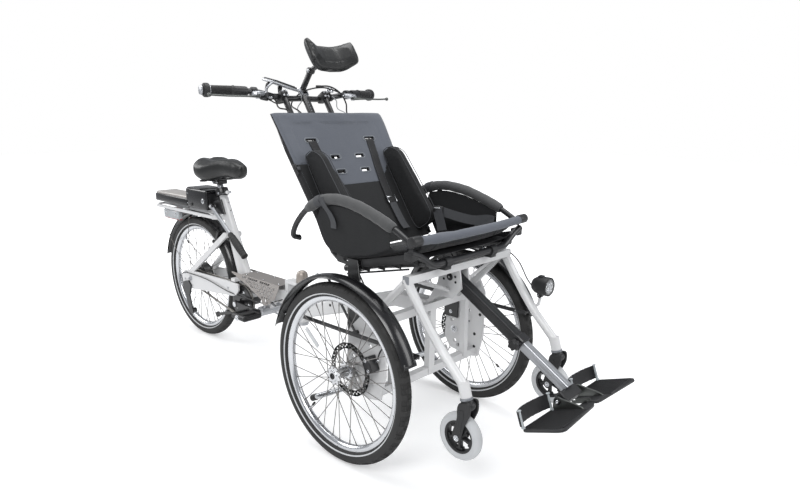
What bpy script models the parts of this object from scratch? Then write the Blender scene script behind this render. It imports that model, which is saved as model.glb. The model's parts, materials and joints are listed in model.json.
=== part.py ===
"""Wheelchair bike: a passenger chair on two big wheels in front, steered from the saddle of the bicycle
half that is hinged behind it.

Units are metres. +X is forward, +Y is the passenger's left, +Z is up, and the ground is Z = 0. Every place
is first given from the front axle, as at(ahead, left, height), and the origin lies on the ground under the
middle of the whole length.
"""

import math

import bmesh
import bpy
from mathutils import Matrix, Vector

# Whole vehicle
WHEELBASE = 1.381
TRACK = 0.665
TAIL = 0.330  # how far the battery reaches behind the rear axle
CLEAR = 0.0003  # between pieces that touch
RUN = 0.0001  # round a shaft that turns
TINY = 1e-6

# Big wheels
WHEEL_RADIUS = 0.298
TYRE_WIDTH = 0.047
BEAD_RADIUS = 0.2535
RIM_WIDTH = 0.026
RIM_DEPTH = 0.0195
SPOKE_COUNT = 36
SPOKE_RADIUS = 0.0011
SPOKE_LEAD = 60.0  # how far round the hub a spoke leads its rim hole
WHEEL_STEPS = 36
HUB_STEPS = 10
FLANGE_RADIUS = 0.030
FLANGE_AT = 0.026
FLANGE_THICK = 0.003
HUB_BARREL = 0.016
HUB_INWARD = 0.0415
HUB_OUTWARD = 0.0335
SHAFT_RADIUS = 0.0065
SHAFT_REACH = 0.018
SPACER_RADIUS = 0.013
PLATE_INSET = 0.0725  # wheel plane to the middle of the axle plate
DISC_RADIUS = 0.090
DISC_THICK = 0.0022
DISC_BAND = 0.021
DISC_ARMS = 6
DISC_SWEEP = 38.0
DISC_HOLES = 6
MOTOR_RADIUS = 0.062
MOTOR_HALF = 0.027
SPROCKET_THICK = 0.0025

# Chair frame
BAR_AHEAD = 0.217
BAR_BELOW = 0.074  # the seat's front edge
BAR_HALF = 0.266
BAR_SIZE = 0.024
TUBE_RADIUS = 0.0145
CROSS_AHEAD = 0.095
CROSS_BELOW = 0.162  # the top bar
CROSS_LOW = 0.222
CROSS_SIZE = 0.026
POST_HALF = 0.190
PLATE_THICK = 0.008
PLATE_HOLE = 0.008
STEER_BEHIND = 0.600
HEAD_RADIUS = 0.022
HEAD_LOW = 0.245
HEAD_HIGH = 0.400
BOOM_WIDTH = 0.046
BOOM_DEPTH = 0.054
PIN_RADIUS = 0.011
LUG_THICK = 0.012

# Castors
CASTOR_AHEAD = 0.441
CASTOR_HALF = 0.2525
CASTOR_TOP = 0.325
CASTOR_TILT = 17.0
CASTOR_DROP = 0.106
CASTOR_TRAIL = 0.050
CASTOR_RADIUS = 0.072
CASTOR_WIDTH = 0.030
CASTOR_SPOKES = 5
CASTOR_BOLT = 0.005
CASTOR_STEM = 0.008
FORK_GAP = 0.0195
FORK_THICK = 0.006

# Leg rest
LEG_AHEAD = 0.190
LEG_BELOW = 0.040  # the top bar
LEG_FALL = 31.5
LEG_OUTER = 0.036
LEG_WALL = 0.0035
LEG_OUTER_END = 0.320
LEG_INNER_START = 0.190
LEG_INNER_END = 0.500
GUSSET_THICK = 0.006
FOOT_PIVOT = 0.512  # along the leg
FOOT_DROP = 0.012
FOOT_TILT = 20.0
FOOT_WIDE = 0.2175
FOOT_HEEL = 0.026
FOOT_TOE = 0.104
FOOT_BELOW = 0.0227  # from the hinge down to the top of the plate
FOOT_THICK = 0.009
FOOT_SPLIT = 0.017
WEB_THICK = 0.005
STRAP_HIGH = 0.045
STRAP_THICK = 0.003

# Seat, back and arms
SEAT_TUBE = 0.0115
RAIL_HALF = 0.225
SEAT_FRONT = 0.262
SEAT_FRONT_HEIGHT = 0.706
BAR_HEIGHT = SEAT_FRONT_HEIGHT - BAR_BELOW
CROSS_HIGH = BAR_HEIGHT - CROSS_BELOW
LEG_HEIGHT = BAR_HEIGHT - LEG_BELOW
SEAT_SLOPE = 13.7
SEAT_HALF = 0.238
ROLL_HALF = 0.296
CUSHION_THICK = 0.034
HINGE_AHEAD = -0.104
HINGE_HEIGHT = SEAT_FRONT_HEIGHT - 0.066
RECLINE = 33.0
BACK_LENGTH = 0.556
BACK_TOP_HALF = 0.265
BACK_LOW_HALF = 0.240
BACK_THICK = 0.014
BACK_HOLLOW = 0.012
BELT_HALF = 0.019
BELT_LIFT = -0.0001
BACK_TUBE_SET = 0.0371
BACK_TUBE_HALF = 0.2155
HOOP_HALF = 0.2755
HOOP_TUBE = 0.0095
HOOP_FOOT = SEAT_FRONT_HEIGHT + 0.028
SLEEVE_RADIUS = 0.0185
GUARD_THICK = 0.005
PAD_IN = 0.168
PAD_WIDE = 0.045
PAD_LOW = 0.040
PAD_LONG = 0.345
PAD_DEEP = 0.110
PAD_FOOT = -0.0053

# Handlebar and headrest
BAR_TUBE = 0.011
GRIP_RADIUS = 0.0165
GRIP_LENGTH = 0.118
GRIP_END_HALF = 0.412
HANDLE_ALONG = 0.690
CARRIER_SET = 0.096  # from the front of the back to the carrier behind it
RISER_HALF = 0.100
POST_WIDE = 0.030
POST_DEEP = 0.010
POST_LOW = 0.330
POST_HIGH = 0.712
REST_HIGH = 0.114
REST_FLAT = 0.037
REST_WING = 0.093
REST_FLARE = 35.0
REST_THICK = 0.034

# Bicycle half
MAST_AHEAD = 0.391  # of the rear axle
MAST_FOOT_BEHIND = WHEELBASE - MAST_AHEAD
MAST_FOOT_HEIGHT = 0.310
MAST_TOP_HEIGHT = 0.740
MAST_LEAN = 23.4
MAST_FOOT_DEEP = 0.080
MAST_FOOT_WIDE = 0.056
MAST_TOP_DEEP = 0.052
POST_RADIUS = 0.0135
BEAM_HEIGHT = 0.335
BEAM_DEPTH = 0.060
BEAM_WIDTH = 0.050
STAY_HALF = 0.066
STAY_THICK = 0.008
CRANK_AHEAD = 0.411  # of the rear axle
CRANK_BEHIND = WHEELBASE - CRANK_AHEAD
CRANK_HEIGHT = 0.258
CRANK_LENGTH = 0.170
CRANK_HALF = 0.086
SHELL_RADIUS = 0.020
SHELL_HALF = 0.034
CHAIN_LINE = 0.045
CHAIN_PITCH = 0.0127
CHAIN_WIDTH = 0.0075
CHAIN_DEPTH = 0.008
RING_TEETH = 38
SPROCKET_TEETH = 18
TOOTH_HIGH = 0.004
RACK_HEIGHT = 0.622
RACK_RAIL = 0.010
RACK_CROSS = 0.632
RACK_HALF = 0.052
BATTERY_LONG = 0.492
BATTERY_HALF = 0.058
BATTERY_FLOOR = 0.6475
DECK_TOP = 0.386
DECK_HALF = 0.043
SLOT_SHARES = 10.47  # slot steps in the deck's length
DECK_REAR = MAST_FOOT_BEHIND + 0.066
DECK_FRONT = STEER_BEHIND + 0.100
SADDLE_TOP = 0.885
SADDLE_REAR = WHEELBASE - 0.106
SADDLE_NOSE = SADDLE_REAR - 0.300
SADDLE_HALF = 0.105
SPRING_RADIUS = 0.012
SPRING_WIRE = 0.002
SPRING_TURNS = 4


# Places

AXLE_HEIGHT = WHEEL_RADIUS * math.cos(math.pi / WHEEL_STEPS)


def arm(along, above, fall):
    """(ahead, up) of a point that lies along an arm falling forward by this angle, and above it."""
    c, s = math.cos(math.radians(fall)), math.sin(math.radians(fall))
    return Vector((along * c + above * s, 0, above * c - along * s))


FOOT_AT = Vector((LEG_AHEAD, 0, LEG_HEIGHT)) + arm(FOOT_PIVOT, -FOOT_DROP, LEG_FALL)
TOE = FOOT_AT + arm(FOOT_TOE, -FOOT_BELOW - FOOT_THICK, -FOOT_TILT)
AXLE_AT = (WHEELBASE + TAIL - TOE.x) / 2  # the front axle from the origin


def at(ahead, left, height):
    return Vector((AXLE_AT + ahead, left, height))


def aft(ahead, left, height):
    """A point measured ahead of the rear axle."""
    return at(ahead - WHEELBASE, left, height)


def back(along, left, front=0.0):
    """A point of the reclined back: along it from the hinge, to the left, and in front of its face."""
    c, s = math.cos(math.radians(RECLINE)), math.sin(math.radians(RECLINE))
    return at(HINGE_AHEAD - along * s + front * c, left, HINGE_HEIGHT + along * c + front * s)


def seat_height(ahead):
    """Height of the top of the seat, which falls towards the back."""
    return SEAT_FRONT_HEIGHT - (SEAT_FRONT - ahead) * math.tan(math.radians(SEAT_SLOPE))


def mast(height, ahead=0.0, left=0.0):
    """A point of the leaning mast's middle at a height, or beside it."""
    lean = math.tan(math.radians(MAST_LEAN))
    return at(-MAST_FOOT_BEHIND - (height - MAST_FOOT_HEIGHT) * lean + ahead, left, height)


def hole_for(shaft, sides):
    """Radius of a hole with this many sides whose flats clear a round shaft."""
    return (shaft + RUN) / math.cos(math.pi / sides)


# Working shapes

def clear_scene():
    for found in list(bpy.data.objects):
        bpy.data.objects.remove(found, do_unlink=True)


def collection(name, helper=False):
    made = bpy.data.collections.new(name)
    bpy.context.scene.collection.children.link(made)
    made.hide_render = helper
    return made


clear_scene()
PARTS = collection("wheelchair_bike")
CUTTERS = collection("cutters", True)


def shape(mesh, name="shape"):
    made = bpy.data.objects.new(name, mesh)
    made.display_type = "WIRE"
    CUTTERS.objects.link(made)
    return made


def from_bmesh(bm):
    mesh = bpy.data.meshes.new("shape")
    bmesh.ops.remove_doubles(bm, verts=bm.verts, dist=TINY)
    bmesh.ops.recalc_face_normals(bm, faces=bm.faces)
    bm.to_mesh(mesh)
    bm.free()
    return shape(mesh)


def applied(made):
    """The shape with its curve or modifiers turned into a plain mesh in world space."""
    bpy.context.view_layer.update()
    graph = bpy.context.evaluated_depsgraph_get()
    mesh = bpy.data.meshes.new_from_object(made.evaluated_get(graph))
    mesh.transform(made.matrix_world)
    bpy.data.objects.remove(made, do_unlink=True)
    bm = bmesh.new()
    bm.from_mesh(mesh)
    bpy.data.meshes.remove(mesh)
    return from_bmesh(bm)


def turn_to(direction):
    """The rotation that takes +Z to a direction, with +Y kept sideways where it can be."""
    z = Vector(direction).normalized()
    side = Vector((0, 1, 0)) if abs(z.y) < 0.9 else Vector((1, 0, 0))
    x = side.cross(z).normalized()
    return Matrix((x, z.cross(x), z)).transposed().to_4x4()


def place(made, matrix):
    made.data.transform(matrix)
    if matrix.determinant() < 0:
        made.data.flip_normals()
    return made


def moved(made, offset):
    return place(made, Matrix.Translation(offset))


def block(size, centre, fall=0.0, bevel=0.0):
    """A box, its length falling forward by an angle, with its long edges rounded."""
    bm = bmesh.new()
    bmesh.ops.create_cube(bm, size=1)
    bmesh.ops.scale(bm, vec=Vector(size), verts=bm.verts)
    if bevel:
        bmesh.ops.bevel(bm, geom=bm.edges, offset=bevel, segments=1, affect="EDGES")
    made = from_bmesh(bm)
    return place(made, Matrix.Translation(centre) @ Matrix.Rotation(math.radians(fall), 4, "Y"))


def beam(start, end, wide, deep, bevel=0.0):
    """A bar from start to end: wide across, deep in the vertical plane."""
    start, end = Vector(start), Vector(end)
    bm = bmesh.new()
    bmesh.ops.create_cube(bm, size=1)
    bmesh.ops.scale(bm, vec=Vector((deep, wide, (end - start).length)), verts=bm.verts)
    if bevel:
        long = [edge for edge in bm.edges if abs(edge.verts[0].co.z - edge.verts[1].co.z) > TINY]
        bmesh.ops.bevel(bm, geom=long, offset=bevel, segments=1, affect="EDGES")
    made = from_bmesh(bm)
    return place(made, Matrix.Translation((start + end) / 2) @ turn_to(end - start))


def rod(start, end, radius, sides=12, end_radius=None, flat=1.0):
    """A round bar or cone from start to end. Flat narrows it across."""
    start, end = Vector(start), Vector(end)
    bm = bmesh.new()
    last = radius if end_radius is None else end_radius
    bmesh.ops.create_cone(bm, cap_ends=True, segments=sides, radius1=radius, radius2=last,
                          depth=(end - start).length)
    bmesh.ops.scale(bm, vec=Vector((1, flat, 1)), verts=bm.verts)
    made = from_bmesh(bm)
    return place(made, Matrix.Translation((start + end) / 2) @ turn_to(end - start))


def smooth(points, steps):
    """Points on a smooth curve through the given ones."""
    points = [Vector(p) for p in points]
    points = [2 * points[0] - points[1]] + points + [2 * points[-1] - points[-2]]
    found = []
    for a, b, c, d in zip(points, points[1:], points[2:], points[3:]):
        for step in range(steps):
            t = step / steps
            found.append(0.5 * (2 * b + (c - a) * t + (2 * a - 5 * b + 4 * c - d) * t ** 2
                                + (3 * b - a - 3 * c + d) * t ** 3))
    return found + [points[-2]]


def tube(points, radius, rounding=1):
    """A tube along points: 4 sides, and 2 more for each step of rounding."""
    curve = bpy.data.curves.new("tube", "CURVE")
    curve.dimensions = "3D"
    spline = curve.splines.new("POLY")
    spline.points.add(len(points) - 1)
    for point, place_ in zip(spline.points, points):
        point.co = (*place_, 1)
    curve.bevel_depth = radius
    curve.bevel_resolution = rounding
    curve.use_fill_caps = True
    return applied(shape(curve))


def sheet(outline, thick, matrix=None, holes=()):
    """A flat plate from an outline in its own X and Y, thick along Z, with holes."""
    curve = bpy.data.curves.new("sheet", "CURVE")
    curve.dimensions = "2D"
    curve.fill_mode = "BOTH"
    curve.extrude = thick / 2
    for loop in (outline, *holes):
        spline = curve.splines.new("POLY")
        spline.points.add(len(loop) - 1)
        for point, (x, y) in zip(spline.points, loop):
            point.co = (x, y, 0, 1)
        spline.use_cyclic_u = True
    made = applied(shape(curve))
    return place(made, matrix) if matrix else made


def side_plate(outline, left, thick, holes=()):
    """A plate that stands lengthways: its outline is given as (ahead, height)."""
    upright = Matrix.Rotation(math.radians(90), 4, "X")
    return place(sheet(outline, thick, upright, holes), Matrix.Translation(at(0, left, 0)))


def circle(centre, radius, sides, start=0.0):
    """Points of a circle, as a hole or a disc's outline."""
    angles = [start + 2 * math.pi * k / sides for k in range(sides)]
    return [(centre[0] + radius * math.cos(a), centre[1] + radius * math.sin(a)) for a in angles]


def turned(profile, steps, closed=False, start=0.0, span=360.0, thick=0.0):
    """A profile of (radius, across) turned round the Y axis, rising from start degrees above ahead."""
    mesh = bpy.data.meshes.new("profile")
    count = len(profile)
    edges = [(k, k + 1) for k in range(count - 1)] + ([(count - 1, 0)] if closed else [])
    mesh.from_pydata([(radius, across, 0) for radius, across in profile], edges, [])
    made = shape(mesh)
    screw = made.modifiers.new("turn", "SCREW")
    screw.axis = "Y"
    screw.angle = -math.radians(span)
    screw.steps = screw.render_steps = steps
    screw.use_merge_vertices = span == 360.0
    screw.merge_threshold = 1e-5
    if thick:
        solid = made.modifiers.new("thick", "SOLIDIFY")
        solid.thickness = thick
        solid.offset = 0
    return place(applied(made), Matrix.Rotation(-math.radians(start), 4, "Y"))


def grid(columns, thick=0.0, closed=False):
    """A surface through columns of points, made thick, or closed round by its own ends."""
    bm = bmesh.new()
    rows = [[bm.verts.new(p) for p in column] for column in columns]
    for a, b in zip(rows, rows[1:]):
        count = len(a)
        for k in range(count if closed else count - 1):
            bm.faces.new((a[k], a[(k + 1) % count], b[(k + 1) % count], b[k]))
    if closed:
        bm.faces.new(rows[0])
        bm.faces.new(rows[-1])
    bmesh.ops.recalc_face_normals(bm, faces=bm.faces)
    made = from_bmesh(bm)
    if thick:
        solid = made.modifiers.new("thick", "SOLIDIFY")
        solid.thickness = thick
        solid.offset = 0
        return applied(made)
    return made


def cushioned(made, levels=1):
    soft = made.modifiers.new("soft", "SUBSURF")
    soft.levels = soft.render_levels = levels
    return applied(made)


def combined(base, others, operation, overlapping=False):
    others = list(others)
    if not others:
        return base
    tools = bpy.data.collections.new("tools")
    CUTTERS.children.link(tools)
    for other in others:
        CUTTERS.objects.unlink(other)
        tools.objects.link(other)
    change = base.modifiers.new("change", "BOOLEAN")
    change.operation = operation
    change.solver = "EXACT"
    change.operand_type = "COLLECTION"
    change.collection = tools
    change.use_self = overlapping
    result = applied(base)
    for other in others:
        bpy.data.objects.remove(other, do_unlink=True)
    bpy.data.collections.remove(tools)
    return result


def joined(base, *others, overlapping=False):
    return combined(base, others, "UNION", overlapping)


def cut(base, *cutters):
    return combined(base, cutters, "DIFFERENCE")


def merged(shapes):
    """Shapes put in one mesh as they are, for a union that follows."""
    bm = bmesh.new()
    for made in shapes:
        bm.from_mesh(made.data)
        bpy.data.objects.remove(made, do_unlink=True)
    return from_bmesh(bm)


def copy_of(made):
    return shape(made.data.copy())


def mirrored(made):
    return place(copy_of(made), Matrix.Scale(-1, 4, Vector((0, 1, 0))))


# Materials and bodies

def material(name, colour, metallic, roughness):
    made = bpy.data.materials.new(name)
    made.use_nodes = True
    shader = made.node_tree.nodes["Principled BSDF"]
    shader.inputs["Base Color"].default_value = (*colour, 1)
    shader.inputs["Metallic"].default_value = metallic
    shader.inputs["Roughness"].default_value = roughness
    return made


WHITE = material("white_paint", (0.80, 0.79, 0.78), 0.0, 0.30)
SILVER = material("bare_aluminium", (0.62, 0.61, 0.60), 1.0, 0.35)
STEEL = material("steel", (0.45, 0.44, 0.43), 1.0, 0.30)
SHEET = material("grey_sheet", (0.36, 0.35, 0.33), 0.8, 0.50)
BLACK = material("black_paint", (0.02, 0.02, 0.02), 0.0, 0.35)
PLASTIC = material("black_plastic", (0.018, 0.018, 0.018), 0.0, 0.50)
RUBBER = material("tyre_rubber", (0.022, 0.022, 0.022), 0.0, 0.80)
PALE_RUBBER = material("castor_rubber", (0.42, 0.43, 0.44), 0.0, 0.70)
GREY_CLOTH = material("grey_cloth", (0.075, 0.080, 0.095), 0.0, 0.95)
BLACK_CLOTH = material("black_cloth", (0.012, 0.012, 0.013), 0.0, 0.95)
LEATHER = material("black_leather", (0.020, 0.021, 0.021), 0.0, 0.45)
LENS = material("clear_lens", (0.70, 0.72, 0.74), 0.0, 0.12)


def body(name, pivot, parent=None):
    """An empty on a joint's axis, which carries the pieces that move with it."""
    made = bpy.data.objects.new(f"{name}_axis", None)
    made.empty_display_size = 0.05
    PARTS.objects.link(made)
    made["pivot"] = list(pivot)
    made.parent = parent
    made.location = Vector(pivot) - (Vector(parent["pivot"]) if parent else Vector())
    return made


def node(name, made, surface, carrier):
    """A finished piece, with its origin on its carrier's axis."""
    pivot = Vector(carrier["pivot"])
    made.data.transform(Matrix.Translation(-pivot))
    made.data.name = name
    made.data.materials.clear()
    made.data.materials.append(surface)
    made.data.shade_smooth()
    made.data.set_sharp_from_angle(angle=math.radians(32))
    made.name = name
    made.display_type = "TEXTURED"
    made.parent = carrier
    CUTTERS.objects.unlink(made)
    PARTS.objects.link(made)
    return made


# Wheels

def spoke_ends(side, number, per_side, flange_radius, flange_at, lead):
    """Where a spoke leaves the hub and meets the rim: (radius, across, angle) of both."""
    gap = 2 * math.pi / per_side
    rim_angle = number * gap + (gap / 2 if side > 0 else 0)
    way = 1 if number % 2 else -1
    hub_angle = rim_angle + way * math.radians(lead)
    lifted = flange_at + way * (FLANGE_THICK / 2 + SPOKE_RADIUS - CLEAR)
    hub = (flange_radius - 0.0045, side * lifted, hub_angle)
    rim = (BEAD_RADIUS - RIM_DEPTH + 0.004, side * 0.003, rim_angle)
    return hub, rim


def polar(radius, across, angle):
    return Vector((radius * math.cos(angle), across, radius * math.sin(angle)))


def spokes(flange_radius, flange_at, lead):
    per_side = SPOKE_COUNT // 2
    made = []
    for side in (1, -1):
        for number in range(per_side):
            hub, rim = spoke_ends(side, number, per_side, flange_radius, flange_at, lead)
            made.append(rod(polar(*hub), polar(*rim), SPOKE_RADIUS, 3))
    return merged(made)


def rim():
    outer = BEAD_RADIUS - CLEAR
    inner = BEAD_RADIUS - RIM_DEPTH
    half = RIM_WIDTH / 2
    profile = [(outer, -half), (outer, half), (inner, half * 0.5), (inner, -half * 0.5)]
    return turned(profile, WHEEL_STEPS, closed=True, start=180 / WHEEL_STEPS)


def tyre():
    half = TYRE_WIDTH / 2
    bead = RIM_WIDTH / 2
    wide_at = (BEAD_RADIUS + WHEEL_RADIUS) / 2
    tread = half * 0.45
    profile = [(BEAD_RADIUS, -bead), (BEAD_RADIUS, bead), (wide_at, half), (WHEEL_RADIUS, tread),
               (WHEEL_RADIUS, -tread), (wide_at, -half)]
    turn = 180 / WHEEL_STEPS
    return turned(profile, WHEEL_STEPS, closed=True, start=90 + turn)


def front_hub():
    """The left wheel's hub: the disc seats on its inner end, and the shaft enters there."""
    seat_radius = HUB_BARREL + 0.005
    half = FLANGE_THICK / 2
    profile = [(0, -HUB_INWARD), (seat_radius, -HUB_INWARD), (seat_radius, -FLANGE_AT - half),
               (FLANGE_RADIUS, -FLANGE_AT - half), (FLANGE_RADIUS, -FLANGE_AT + half), (HUB_BARREL, -FLANGE_AT + half),
               (HUB_BARREL, FLANGE_AT - half), (FLANGE_RADIUS, FLANGE_AT - half), (FLANGE_RADIUS, FLANGE_AT + half),
               (HUB_BARREL - 0.004, HUB_OUTWARD), (0, HUB_OUTWARD)]
    bore = rod((0, -HUB_INWARD - 0.01, 0), (0, SHAFT_REACH + 2 * CLEAR, 0), hole_for(SHAFT_RADIUS, 8), 8)
    return cut(turned(profile, HUB_STEPS), bore)


def motor_hub():
    """The rear hub, a drum with its axle stubs turned away at the stays."""
    edge = MOTOR_RADIUS - 0.010
    profile = [(0, -MOTOR_HALF), (edge, -MOTOR_HALF), (MOTOR_RADIUS, -MOTOR_HALF + 0.008),
               (MOTOR_RADIUS, MOTOR_HALF - 0.008), (edge, MOTOR_HALF), (0, MOTOR_HALF)]
    bore = rod((0, -MOTOR_HALF - 0.01, 0), (0, MOTOR_HALF + 0.01, 0), hole_for(SHAFT_RADIUS, 8), 8)
    return cut(turned(profile, 16), bore)


def disc():
    """A brake disc with swept arms and a ring of holes. It lies on the hub's inner end."""
    band = DISC_RADIUS - DISC_BAND
    core = HUB_BARREL + 0.007
    gap = 2 * math.pi / DISC_ARMS
    sweep = math.radians(DISC_SWEEP)
    middle = DISC_RADIUS - DISC_BAND / 2
    holes = [circle((0, 0), hole_for(SPACER_RADIUS, 8), 8)]
    for k in range(DISC_HOLES):
        a = 2 * math.pi * (k + 0.5) / DISC_HOLES
        holes.append(circle((middle * math.cos(a), middle * math.sin(a)), 0.0045, 4, a))
    for k in range(DISC_ARMS):
        a = gap * k
        corners = [(core, a + 0.22), (core, a + gap - 0.22), (band, a + sweep + gap - 0.075),
                   (band, a + sweep + gap / 2), (band, a + sweep + 0.075)]
        holes.append([(radius * math.cos(turn), radius * math.sin(turn)) for radius, turn in corners])
    whole = sheet(circle((0, 0), DISC_RADIUS, 24), DISC_THICK, holes=holes)
    across = -HUB_INWARD - CLEAR - DISC_THICK / 2
    return place(whole, Matrix.Translation((0, across, 0)) @ Matrix.Rotation(math.radians(90), 4, "X"))


def front_wheel(side, word, chair):
    centre = at(0, side * TRACK / 2, AXLE_HEIGHT)
    carrier = body(f"wheel_{word}", centre, chair)
    laced = joined(rim(), front_hub(), spokes(FLANGE_RADIUS, FLANGE_AT, SPOKE_LEAD), overlapping=True)
    for name, made, surface in ((f"tyre_{word}", tyre(), RUBBER), (f"laced_wheel_{word}", laced, SILVER),
                                (f"brake_disc_{word}", disc(), STEEL)):
        if side < 0:
            place(made, Matrix.Scale(-1, 4, Vector((0, 1, 0))))
        node(name, moved(made, centre), surface, carrier)


def rear_wheel(bicycle):
    centre = at(-WHEELBASE, 0, AXLE_HEIGHT)
    carrier = body("wheel_rear", centre, bicycle)
    laced = joined(rim(), motor_hub(), spokes(MOTOR_RADIUS + 0.002, MOTOR_HALF - 0.011, 20),
                   overlapping=True)
    node("tyre_rear", moved(tyre(), centre), RUBBER, carrier)
    node("laced_wheel_rear", moved(laced, centre), PLASTIC, carrier)


def sprocket_outline(teeth):
    """A toothed wheel's outline, a valley and a tip to each tooth."""
    points = []
    for k in range(teeth):
        for turn, radius in ((0, pitch_radius(teeth) - TOOTH_HIGH), (0.5, pitch_radius(teeth))):
            a = 2 * math.pi * (k + turn) / teeth
            points.append((radius * math.cos(a), radius * math.sin(a)))
    return points


def pitch_radius(teeth):
    return CHAIN_PITCH / 2 / math.sin(math.pi / teeth)


def rear_sprocket(bicycle):
    centre = at(-WHEELBASE, 0, AXLE_HEIGHT)
    carrier = body("sprocket", centre, bicycle)
    plate = sheet(sprocket_outline(SPROCKET_TEETH), SPROCKET_THICK,
                  holes=[circle((0, 0), hole_for(SHAFT_RADIUS, 8), 8)])
    place(plate, Matrix.Translation((0, -CHAIN_LINE, 0)) @ Matrix.Rotation(math.radians(90), 4, "X"))
    bore = hole_for(SHAFT_RADIUS, 8)
    face = -MOTOR_HALF - 2 * CLEAR
    sleeve = turned([(bore, -CHAIN_LINE), (0.017, -CHAIN_LINE), (0.017, face), (bore, face)], 8,
                    closed=True)
    node("rear_sprocket", moved(joined(plate, sleeve), centre), STEEL, carrier)


# Chair frame

def axle_plate():
    """The left axle plate with its row of ringed holes, the axle and its spacer."""
    outline = [(-0.046, 0.262), (-0.020, 0.222), (0.060, 0.204), (0.112, 0.216), (0.132, 0.300),
               (0.134, CROSS_HIGH), (0.108, CROSS_HIGH + 0.050), (0.052, CROSS_HIGH + 0.052),
               (0.016, CROSS_HIGH), (-0.034, CROSS_HIGH - 0.050)]
    rings = [(0.004, 0.252), (0.022, 0.238)]
    for ahead, share in ((-0.028, 0.284), (-0.012, 0.203), (0.066, 0.515), (0.066, 0.272)):
        rings.append((ahead, AXLE_HEIGHT + share * (CROSS_HIGH - AXLE_HEIGHT)))
    holes = [circle(ring, PLATE_HOLE, 6) for ring in rings]
    left = TRACK / 2 - PLATE_INSET
    plate = side_plate(outline, left, PLATE_THICK, holes)
    middle = at(0, 0, AXLE_HEIGHT)
    shaft = rod(middle + Vector((0, left - PLATE_THICK, 0)),
                middle + Vector((0, TRACK / 2 + SHAFT_REACH, 0)), SHAFT_RADIUS, 8)
    spacer_end = TRACK / 2 - HUB_INWARD - DISC_THICK - 4 * CLEAR
    spacer = rod(middle + Vector((0, left, 0)), middle + Vector((0, spacer_end, 0)), SPACER_RADIUS, 8)
    return [plate, shaft, spacer]


def castor_tube_height(share):
    """Height of the front tube's line: 0 at the castor's head, 1 at the top bar."""
    head = CASTOR_TOP + 0.050 * math.cos(math.radians(CASTOR_TILT))
    return head + share * (BAR_HEIGHT - head)


def castor_tube():
    """The left front tube, from the crossbar's end down to the castor's head."""
    tilt = math.radians(CASTOR_TILT)
    foot = at(CASTOR_AHEAD, CASTOR_HALF, CASTOR_TOP)
    up = Vector((-math.sin(tilt), 0, math.cos(tilt)))
    route = [at(BAR_AHEAD - 0.008, CASTOR_HALF + 0.004, BAR_HEIGHT),
             at(0.258, CASTOR_HALF + 0.003, castor_tube_height(0.722)),
             at(0.303, CASTOR_HALF + 0.002, castor_tube_height(0.483)),
             at(0.352, CASTOR_HALF, castor_tube_height(0.259)),
             foot + up * 0.050 + Vector((-0.006, 0, 0)), foot + up * 0.010]
    head = rod(foot, foot + up * 0.052, TUBE_RADIUS + 0.003, 10)
    return [tube(route, TUBE_RADIUS, 2), head]


def gusset():
    """The left of the two plates that hold the leg rest."""
    outline = [(BAR_AHEAD + 0.008, BAR_HEIGHT + 0.010), (BAR_AHEAD + 0.022, BAR_HEIGHT - 0.072),
               (LEG_AHEAD + 0.010, LEG_HEIGHT - 0.072), (LEG_AHEAD - 0.040, LEG_HEIGHT - 0.072),
               (CROSS_AHEAD + 0.006, CROSS_HIGH + 0.016), (CROSS_AHEAD - 0.006, CROSS_HIGH + 0.006),
               (LEG_AHEAD - 0.050, LEG_HEIGHT - 0.026), (LEG_AHEAD - 0.040, BAR_HEIGHT - 0.004),
               (BAR_AHEAD - 0.008, BAR_HEIGHT + 0.010)]
    left = LEG_OUTER / 2 + CLEAR + GUSSET_THICK / 2
    return side_plate(outline, left, GUSSET_THICK,
                      [circle((LEG_AHEAD - 0.018, LEG_HEIGHT - 0.047), 0.007, 6)])


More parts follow.
